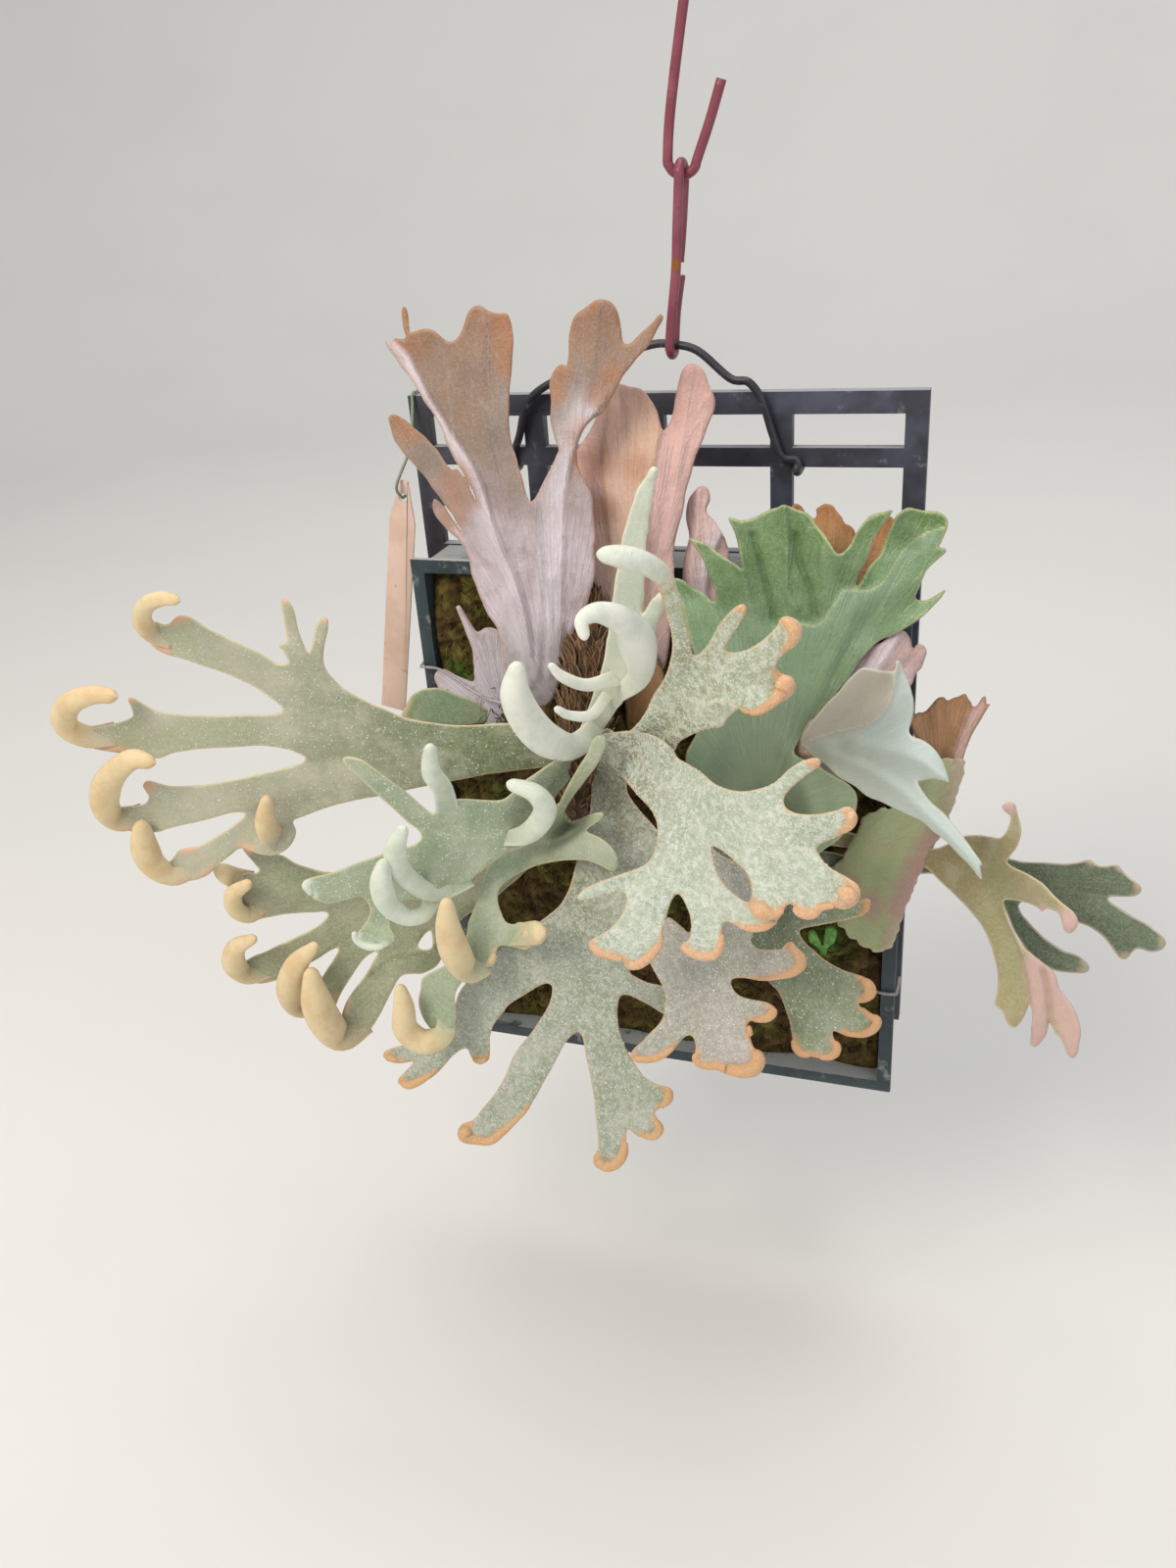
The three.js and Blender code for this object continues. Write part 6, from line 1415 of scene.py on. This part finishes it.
hookLook = {"coat": "#86404f", "worn": "#9d5a68", "dirt": "#6e3440", "roughness": 0.38,
            "rustAt": sight(690, 270, 3)}
hookSkin = coatedWire("dipped_pink_wire", hookLook)
upperHook = [
    [(28.5, 0, 100), (24.2, 0, 88)],
    arc((14.5, 0, 77.5), 5.2, -5, -185, 7, "XZ"),
    [(10.8, 0, 92), (15.5, 0, 118)],
    arc((11, 0, 150), 10.75, -14, 190, 9, "XZ"),
    [(0.85, 0, 141)],
]
lowerHook = [
    [(11.7, 1.4, 44.5), (12.7, 2.6, 55)],
    arc((14.0, 0, 72.3), 3.8, -5, 185, 7, "YZ"),
    [(12.6, -3, 56), (11.4, -2.3, 42), (9.4, -3.2, 26)],
    arc((8.5, 0, 17), 3.55, -185, 5, 7, "YZ"),
    [(9.5, 3.4, 28), (11.6, 3.4, 40)],
]
wirePiece("hook_upper_wire", upperHook, 3.5, hookSkin, "hook_upper", "coated_wire")
wirePiece("hook_lower_wire", lowerHook, 3.5, hookSkin, "hook_lower", "coated_wire")

hanger = {
    "wire": 3.0, "off": 1.8, "foot": -27.0, "back": 5.0, "rightLeg": 54.2, "apex": [8.5, 0, 17],
    # pixels of the photograph and depth in mm
    "left": [(530, 445, 2.2), (538, 412, 3), (562, 391, 3), (620, 367, 2), (664, 352, 0.6)],
    "right": [(712, 358, 0.6), (745, 386, 2.4), (764, 390, 3), (778, 410, 3), (788, 442, 2.4),
              (798, 466, 2.2)],
    "look": {"coat": "#2c2c33", "worn": "#46464f", "dirt": "#8a8880", "roughness": 0.42},
}


def legEnd(x):
    # down the panel's front, under its second rail and up again behind it
    off, foot, back = hanger["off"], hanger["foot"], hanger["back"]
    bend = [(-off, 3), (0.18 - off, -0.99), (0.6, -1.9), (back - 0.6, -1.9), (back + off - 0.18, -0.99),
            (back + off, 4)]
    return [(x, y, foot + up) for y, up in bend]


leftX = sight(525, 478, 0)[0]
bentHanger = [
    legEnd(leftX)[::-1],
    sight(*np.array(hanger["left"]).T),
    [hanger["apex"]],
    sight(*np.array(hanger["right"]).T),
    legEnd(hanger["rightLeg"]),
]
hangerSkin = coatedWire("black_garden_wire", hanger["look"])
wirePiece("hanger_wire_bent", bentHanger, hanger["wire"], hangerSkin, "wire_hanger", "hanger_wire")

# the tie wire is bent round the lattice's left rail and passes through the label's hole
railX = -97.5
holeX, _, holeZ = sight(412.5, 508, 12)
bentTie = [[
    (railX, 5.9, -5), (railX, 5.63, 0.63), (railX, 2.5, 0.9), (railX, -0.63, 0.63), (railX, -2.1, -5),
    (railX, -8, -18), (holeX - 1, -15, holeZ + 6), (holeX, -14.4, holeZ + 1.2), (holeX, -12.4, holeZ + 0.4),
    (holeX, -9.4, holeZ + 1.4), (holeX - 0.3, -8.6, holeZ + 6),
]]
tieLook = {"coat": "#7d8b74", "worn": "#98a48c", "dirt": "#4f5a48", "roughness": 0.5}
tieSkin = coatedWire("green_tie_wire", tieLook)
wirePiece("label_wire_bent", bentTie, 1.2, tieSkin, "label_wire", "label_wire", sides=10)


# Binding line: drawn clear nylon, slightly greyed, that lets most of the light through
clearNylon = {"Roughness": 0.22, "IOR": 1.53, "Transmission Weight": 0.55, "Specular IOR Level": 0.5}
nylon = mottled("drawn_nylon_line", clearNylon, "#d5d0d2", [("#a8a098", 4, 0.45, 0.7, 0.7)],
                strength=0.2, distance=0.1)
potBox = {"shift": 3.5, "half": 93.5, "wall": 2.4, "lip": 3.2}
ties = [
    ("tie_line_left", -1, (436, 680),
     [(456, 687, 37), (484, 706, 42), (500, 714, 42.6), (520, 718, 43), (548, 721, 46.2)]),
    ("tie_line_right", 1, (903, 1012), [(868, 1004, 25), (850, 990, 25.2), (836, 984, 25.4)]),
]
for node, side, rim, pixels in ties:
    z = sight(*rim, 30)[2]
    inside = potBox["shift"] + side * (potBox["half"] - potBox["wall"])
    outside = potBox["shift"] + side * (potBox["half"] + potBox["lip"])
    beside = outside + side * 0.9
    overRim = [(beside, -20, z + 1), (beside, -30, z + 0.5), (outside, -30.9, z), (inside, -31.1, z)]
    stations = [overRim, sight(*np.array(pixels, float).T)]
    wirePiece(node + "_nylon", stations, 1.2, nylon, node, "clear_line", sides=10)
print("wires made")


# Label: a cut strip of thin tan plastic, sun-faded, with a satin face and faint rubbed places
fadedPlastic = mottled("label_strip", {"Roughness": 0.55, "Specular IOR Level": 0.45}, "#eacdbe",
                       [("#dabba6", 18, 0.42, 0.66, 0.8), ("#b08f6c", 5, 0.6, 0.75, 0.5, 4)],
                       grain=(1.2, 3.0), strength=0.2, distance=0.15)
bevelledCopy("plant_label_strip", "plant_label", fadedPlastic, 0.25)
print("label made")


# Moss. Live and dead bog moss packed in the basket: matt olive and brown, bright green where it grows
def mossGrowth(name, look):
    material, tree, shader = newMaterial(name, {"Roughness": 0.92, "Specular IOR Level": 0.2})
    place = addNode(tree, "TexCoord", out="Object")
    colour, _ = blotches(tree, place, look["dead"], look["olive"], 18, 0.42, 0.6, 0.9)
    colour, _ = blotches(tree, place, colour, look["brown"], 7, 0.5, 0.68, 0.75)
    tone, fresh = (addNode(tree, "Attribute", out="Fac", attribute_name=key) for key in ("tone", "fresh"))
    colour = addNode(tree, "Mix", {0: fresh, 6: colour, 7: look["fresh"]}, **painted)
    # tone lifts or darkens the colour: at random from strand to strand and thread to thread, and on the bed
    # it is painted light on the raised lumps and painted shade in the hollows and on the hidden sides
    lift = addNode(tree, "MapRange", {"Value": tone, "To Min": look["dark"], "To Max": look["light"]})
    colour = addNode(tree, "HueSaturation", {"Color": colour, "Value": lift})
    grain = addNode(tree, "TexNoise", {"Vector": place, "Scale": 1000 / 0.9, "Detail": 3.0, "Roughness": 0.7})
    surface(tree, shader, colour, [(1.0, grain)], 0.8, 0.6)
    return material


mossForm = {
    "left": -87.3, "right": 94.3, "top": -62.7, "bottom": -280.3, "back": -3.0, "pitch": 1.3,
    # pixels of the photograph, depth and radius in mm
    "freshSpots": [(543, 892, 46, 8), (846, 962, 26, 9), (690, 930, 40, 7)],
    "look": {"dead": "#5d4a2c", "olive": "#6a612f", "brown": "#3a291c", "fresh": "#547531", "dark": 0.45,
             "light": 1.3},
    # name, count, length and width in mm, upward lean, share of live green
    "strands": [("moss_strands", 6200, 5.5, 0.55, 0.3, 0.35), ("moss_tips", 5200, 3.2, 0.8, 0.1, 0.75),
                ("moss_dead_stems", 1500, 11.0, 0.4, -0.5, 0.0)],
    "fibres": 130, "fibreStations": 9,
    "fibreLook": {"dead": "#4a3222", "olive": "#5c4a30", "brown": "#2c1c12", "fresh": "#6a5a3a", "dark": 0.6,
                  "light": 1.3},
}


def mossDepth(x, z):
    # mm in front of the panel: an even bed with a mound behind the crown, and slow lumps
    mound = np.exp(-((x + 12) / 62) ** 2 - ((z + 138) / 76) ** 2)
    lumps = np.sin(0.15 * x + 1.3) * np.sin(0.13 * z) + 0.5 * np.sin(0.09 * x - 0.11 * z)
    return 22 + 31 * mound + 1.2 * lumps


def mossFresh(points):
    # 0 to 1 where live green tufts grow: near a few places, and thinly elsewhere
    total = np.clip(waves(points[:, 0], points[:, 2], 38, 5) - 0.72, 0, 1) * 2
    for px, py, depth, radius in mossForm["freshSpots"]:
        away = np.linalg.norm(points - sight(px, py, depth), axis=1)
        total = np.maximum(total, np.exp(-(away / radius) ** 2))
    return np.clip(total, 0, 1)


def mossBed():
    # a closed bed whose front is mossDepth plus three sizes of lumps; its sides join the rim to the same rim
    # at the back, which is a narrow ring and a fan about the middle
    form = mossForm
    xs = np.arange(form["left"], form["right"], form["pitch"])
    zs = np.arange(form["bottom"], form["top"], form["pitch"])
    gx, gz = np.meshgrid(xs, zs)
    inside = np.minimum(np.minimum(gx - xs[0], xs[-1] - gx), np.minimum(gz - zs[0], zs[-1] - gz))
    rough = 1.1 * waves(gx, gz, 11, 31) + 0.8 * waves(gx, gz, 4.6, 32) + 0.5 * waves(gx, gz, 2.4, 33)
    front = mossDepth(gx, gz) + rough * np.clip(inside / 4, 0, 1) - 0.8
    face, rim = gridFaces(*gx.shape)
    grid = np.stack([gx, -front, gz], -1).reshape(-1, 3)
    border = grid[rim] * [1, 0, 1] + [0, form["back"], 0]
    middle = border.mean(0)
    vertices = np.vstack([grid, border, middle + 0.97 * (border - middle), middle])
    k = np.arange(len(rim))
    nxt, outer, inner = np.roll(k, -1), len(grid), len(grid) + len(rim)
    side = np.stack([rim, outer + k, outer + nxt, rim[nxt]], -1)
    ring = np.stack([outer + k, inner + k, inner + nxt, outer + nxt], -1)
    fan = np.stack([inner + k, np.full(len(k), len(vertices) - 1), inner + nxt], -1)
    quads = np.concatenate([face, side, ring])
    return vertices, np.concatenate([quads[:, :3], quads[:, [0, 2, 3]], fan]), rough.ravel()


def mossStrands(growth, draw, name, count, length, width, up, freshly):
    # stems foot + (ahead t + bend t^2) length, each a bent three-sided needle of two rings and a tip
    form = mossForm
    x = draw.uniform(form["left"] + 3, form["right"] - 3, count)
    z = draw.uniform(form["bottom"] + 3, form["top"] - 3, count)
    foot = np.stack([x, -mossDepth(x, z) + 1.6, z], -1)
    ahead = unit(draw.normal(0, 0.75, (count, 3)) + [0, -0.9, up])
    bend = draw.normal(0, 0.45, (count, 3)) + [0, 0.15, -0.35]
    size = length * draw.uniform(0.5, 1.25, count)[:, None, None]
    t = np.array([0.0, 0.55, 1.0])[None, :, None]
    line = foot[:, None] + (ahead[:, None] * t + bend[:, None] * t ** 2) * size
    inX = (line[..., 0] > form["left"]) & (line[..., 0] < form["right"])
    inZ = (line[..., 2] > form["bottom"]) & (line[..., 2] < form["top"])
    keep = (inX & inZ & (line[..., 1] < form["back"])).all(1)
    line, ahead = line[keep], ahead[keep]
    across = unit(np.cross(ahead, [0.31, 0.2, 0.93]))
    outward = np.cross(across, ahead)
    angle = np.radians([90, 210, 330])
    radius = width / 2 * draw.uniform(0.7, 1.2, len(line))[:, None] * np.array([0.85, 0.95])
    ring = (across[:, None, None] * np.cos(angle)[None, None, :, None]
            + outward[:, None, None] * np.sin(angle)[None, None, :, None]) * radius[:, :, None, None]
    rings = (line[:, :2, None] + ring).reshape(len(line), -1, 3)
    points = np.concatenate([rings, line[:, 2:]], 1)
    perStem = points.shape[1]
    s = np.arange(3)
    t = np.roll(s, -1)
    one = np.concatenate([[[0, 2, 1]], np.stack([s, t, 3 + t], -1), np.stack([s, 3 + t, 3 + s], -1),
                          np.stack([3 + s, 3 + t, 0 * s + perStem - 1], -1)])
    faces = (one[None] + perStem * np.arange(len(line))[:, None, None]).reshape(-1, 3)
    points = points.reshape(-1, 3)
    tone = np.repeat(draw.uniform(0, 1, len(line)), perStem)
    live = np.repeat(draw.uniform(0, 1, len(line)), perStem) > 0.97
    fresh = np.clip((mossFresh(points) + live * 0.6) * freshly, 0, 1)
    makePiece(name, points, outwards(points, faces), growth, (), "moss", {"tone": tone, "fresh": fresh},
              smooth=False)


def rootFibres(draw):
    # thin dark threads that wander over the bed, each a random walk smoothed along its length
    form, stations, threads = mossForm, mossForm["fibreStations"], []
    for _ in range(form["fibres"]):
        x = draw.uniform(form["left"] + 8, form["right"] - 8)
        z = draw.uniform(form["bottom"] + 8, form["top"] - 8)
        steps = np.cumsum(draw.normal(0, 2.6, (stations, 2)) + draw.normal(0, 2.0, 2), 0)
        px = np.clip(x + steps[:, 0], form["left"] + 1, form["right"] - 1)
        pz = np.clip(z + steps[:, 1], form["bottom"] + 1, form["top"] - 1)
        lift = mossDepth(px, pz) + draw.uniform(-0.6, 1.4, stations)
        threads.append(wireSurface(np.stack([px, -lift, pz], -1), draw.uniform(0.35, 0.7), 4, 3))
    tone = np.concatenate([np.full(len(some), draw.uniform()) for some, _ in threads])
    threadSkin = mossGrowth("root_fibre", form["fibreLook"])
    makePiece("root_fibres", *joined(*zip(*threads)), threadSkin, (), "moss",
              {"tone": tone, "fresh": np.zeros(len(tone))})


def mossPieces():
    # the bed first, then what grows on it, all drawn from one row of random numbers
    growth = mossGrowth("bog_moss", mossForm["look"])
    vertices, faces, rough = mossBed()
    hidden = len(vertices) - len(rough)
    # painted light and shade: the bed's tone is lighter on its raised lumps, darker in its hollows and dark
    # on its hidden sides and back
    tone = np.concatenate([np.clip(0.5 + rough * 0.3, 0, 1), np.full(hidden, 0.3)])
    fresh = np.concatenate([mossFresh(vertices[:len(rough)]), np.zeros(hidden)])
    makePiece("moss_bed", vertices, outwards(vertices, faces), growth, ["moss_root_ball"], "moss",
              {"tone": tone, "fresh": fresh})
    draw = np.random.default_rng(11)
    for strands in mossForm["strands"]:
        mossStrands(growth, draw, *strands)
    rootFibres(draw)


mossPieces()
print("moss made")


# Rhizome: a thick creeping stem hidden under dry, brown, spear-shaped scales with pale edges
def scaleSkin():
    material, tree, shader = newMaterial("stem_scales", {"Roughness": 0.68, "Specular IOR Level": 0.35})
    place = addNode(tree, "TexCoord", out="Object")
    colour, _ = blotches(tree, place, "#4a3322", "#6b4a30", 6, 0.42, 0.66)
    tone, side = (addNode(tree, "Attribute", out="Fac", attribute_name=key) for key in ("tone", "side"))
    pale = {"Value": side, "From Min": 0.55, "From Max": 1.0, "To Max": 0.75}
    pale = addNode(tree, "MapRange", pale, **eased)
    colour = addNode(tree, "Mix", {0: pale, 6: colour, 7: "#a08462"}, **painted)
    lift = addNode(tree, "MapRange", {"Value": tone, "To Min": 0.55, "To Max": 1.5})
    colour = addNode(tree, "HueSaturation", {"Color": colour, "Value": lift})
    grain = addNode(tree, "TexNoise", {"Vector": place, "Scale": 1000 / 0.8, "Detail": 2.0})
    surface(tree, shader, colour, [(1.0, grain)], 0.5, 0.2)
    return material


def stemLine(stations, plump):
    # centre, along, across, outward, half width and half thickness along the stem, all in mm
    line = smoothLine(stations, 6)
    points = sight(line[:, 0], line[:, 1], line[:, 3])
    half = line[:, 2] * mmPerPixel(line[:, 0], line[:, 1], line[:, 3])
    return points, *tubeFrame(points)[:3], half, half * plump


def scaledStem(name, stations, plump, node, count, size, seed):
    # the stem is an ellipse carried along its line; on it stand spear-shaped scales, each a grid of half
    # width w sin(pi (0.12 + 0.88 t))^0.6 that lifts off the stem by lift t^2 towards its point
    points, along, across, outward, half, thick = stemLine(stations, plump)
    vertices, faces = tubeSurface(points, across, outward, half * 0.94, thick * 0.94, 24)
    draw = np.random.default_rng(seed)
    place = draw.uniform(0.02, 0.9, count) * (len(points) - 1)
    turn = draw.uniform(0, 2 * np.pi, count)
    i = place.astype(int)
    blend = (place - i)[:, None]

    def at(values):
        return values[i] * (1 - blend) + values[np.minimum(i + 1, len(values) - 1)] * blend

    a, b, ahead = at(half[:, None])[:, 0] * 0.92, at(thick[:, None])[:, 0] * 0.92, unit(at(along))
    side, out = unit(at(across)), unit(at(outward))
    foot = at(points) + side * (a * np.cos(turn))[:, None] + out * (b * np.sin(turn))[:, None]
    normal = unit(side * (np.cos(turn) / np.maximum(a, 1))[:, None]
                  + out * (np.sin(turn) / np.maximum(b, 1))[:, None])
    ahead = unit(ahead * -1 + draw.normal(0, 0.22, (count, 3)))
    ahead = unit(ahead - normal * (ahead * normal).sum(1, keepdims=True))
    wide = np.cross(ahead, normal)
    rows, cols = 5, 3
    t, s = np.linspace(0, 1, rows), np.linspace(-1, 1, cols)
    long = size * draw.uniform(0.6, 1.2, count)
    width = long[:, None, None] * 0.16 * (np.sin(np.pi * (0.12 + 0.88 * t)).clip(0) ** 0.6)[None, :, None] * s
    rise = long[:, None, None] * (0.28 * t ** 2)[None, :, None] * draw.uniform(0.3, 1.3, count)[:, None, None]
    rise = rise + 0.25 + 0.5 * (1 - np.abs(s)) * (1 - t[:, None]) - 0.9 * (t[:, None] < 0.01)
    grid = (foot[:, None, None] + ahead[:, None, None] * (long[:, None] * t)[:, :, None, None]
            + wide[:, None, None] * width[..., None] + normal[:, None, None] * rise[..., None])
    under = grid - normal[:, None, None] * 0.35
    cell, rim = gridFaces(rows, cols)
    after, back = np.roll(rim, -1), rows * cols
    sides = np.stack([after, rim, rim + back, after + back], -1)
    one = np.concatenate([cell, cell[:, ::-1] + back, sides])
    scales = np.concatenate([grid, under], 1).reshape(count, -1, 3)
    perScale = scales.shape[1]
    starts = len(vertices) + perScale * np.arange(count)
    scaleFaces = (outwards(scales[0], one) + starts[:, None, None]).reshape(-1, 4)
    tone = np.concatenate([np.full(len(vertices), 0.2), np.repeat(draw.uniform(0, 1, count), perScale)])
    sideways = np.concatenate([np.zeros(len(vertices)), np.tile(np.abs(s), 2 * rows * count)])
    vertices = np.vstack([vertices, scales.reshape(-1, 3)])
    makePiece(name, vertices, faces.tolist() + scaleFaces.tolist(), scaleMaterial, [node], "scaly_stem",
              {"tone": tone, "side": sideways}, smooth=False)


scaleMaterial = scaleSkin()
scaledStem("rhizome_scales", rhizomeLine, 1.35, "rhizome", 900, 9.0, 21)
scaledStem("rhizome_side_scales", sideRhizomeLine, 0.8, "rhizome_side", 420, 8.0, 22)


# Bud of a young plant: a plump tip wrapped in pale, pink-brown felt
budFelt = mottled("bud_felt", {"Roughness": 0.8, "Sheen Weight": 0.3, "Sheen Roughness": 0.4}, "#b59a86",
                  [("#c9a58c", 8), ("#ded2c2", 1.6, 0.5, 0.65, 0.8)], strength=0.5, distance=0.3)
points, _, across, outward, half, thick = stemLine(budLine, 1.0)
near = np.clip(np.linspace(1, 0, len(points)) / 0.12, 0, 1)
near = np.sqrt(1 - (1 - near) ** 2)  # the point of the bud is rounded
vertices, faces = tubeSurface(points, across, outward, half * near, thick * near, 24)
makePiece("pup_bud_felt", vertices, faces, budFelt, ["pup_bud"], "bud_felt")

# Sprout: two soft bright green discs of a fern seedling
seedlingGreen = mottled("seedling_leaf", {"Roughness": 0.45, "Specular IOR Level": 0.5}, "#47802f",
                        [("#6fa446", 3, 0.42, 0.62)], grain=(1.2, 2.0), strength=0.4, distance=0.2)
leafPiece("moss_sprout_leaves", mossSprout, seedlingGreen, "moss_sprout", "sprout_green", step=0.8, webbing=2,
          ragged=0.3, raggedLength=9, ripple=0.2, tipRoll=0.0)
print("stems, bud and sprout made")


# Studio: a pale bowl of a floor far below the hanging plant, and soft lights
plantMiddle = (-0.02, -0.06, -0.32)
studio = {
    "floorZ": -0.56, "flat": 2.2, "rim": 4.2, "rise": 2.0, "floor": "#e6e4e0", "world": "#e6e9ec",
    "worldStrength": 0.4,
    # name, place, aim and size in metres, watts, tint
    "lights": [
        ("keyLight", (-0.7, -1.3, 1.0), plantMiddle, 1.0, 24.0, "#fff6ea"),
        ("fillLight", (1.3, -1.1, 0.3), plantMiddle, 1.4, 6.0, "#eef3ff"),
        ("topLight", (0.1, -0.1, 1.6), plantMiddle, 1.2, 11.0, "#ffffff"),
        ("backdropLight", (0.0, 1.2, 2.4), (0.0, 3.6, 0.2), 2.0, 36.0, "#ffffff"),
    ],
}


def addStudio():
    # the floor is a curve turned about Z: flat as far as studio["flat"] m, then rise s^2 high, where s goes
    # from 0 there to 1 at the rim
    sides, flat, rim = 72, studio["flat"], studio["rim"]
    radius = np.concatenate([np.linspace(0.0, flat, 6)[1:], np.linspace(flat, rim, 14)[1:]])
    height = studio["floorZ"] + studio["rise"] * np.clip((radius - flat) / (rim - flat), 0, 1) ** 2
    turn = np.linspace(0, 2 * np.pi, sides, endpoint=False)
    ring = np.stack([radius[:, None] * np.cos(turn), radius[:, None] * np.sin(turn),
                     np.tile(height[:, None], (1, sides))], -1).reshape(-1, 3)
    s = np.arange(sides)
    here, after = (np.arange(len(radius) - 1)[:, None] * sides + turned for turned in (s, (s + 1) % sides))
    quads = np.stack([here, here + sides, after + sides, after], -1).reshape(-1, 4)
    fan = np.stack([s, (s + 1) % sides, 0 * s + len(ring)], -1)
    mesh = bpy.data.meshes.new("studioFloor")
    mesh.from_pydata(ring.tolist() + [[0, 0, studio["floorZ"]]], [], quads.tolist() + fan.tolist())
    mesh.polygons.foreach_set("use_smooth", [True] * len(mesh.polygons))
    paint = mottled("painted_floor", {"Roughness": 0.85, "Specular IOR Level": 0.2}, studio["floor"],
                    [("#e2e0dc", 400, 0.4, 0.7, 0.5)])
    mesh.materials.append(paint)
    placed("studioFloor", mesh)
    for name, place, target, size, watts, tint in studio["lights"]:
        data = bpy.data.lights.new(name, "AREA")
        data.shape, data.size, data.energy, data.color = "DISK", size, watts, hexColour(tint)[:3]
        lamp = placed(name, data)
        lamp.location = place
        lamp.rotation_euler = (Vector(target) - Vector(place)).to_track_quat("-Z", "Y").to_euler()
    world = bpy.data.worlds.new("paleRoom")
    world.use_nodes = True
    sky = world.node_tree.nodes["Background"].inputs
    sky[0].default_value, sky[1].default_value = hexColour(studio["world"]), studio["worldStrength"]
    bpy.context.scene.world = world
    bpy.context.scene.view_settings.view_transform = "Standard"


addStudio()
print("studio made")
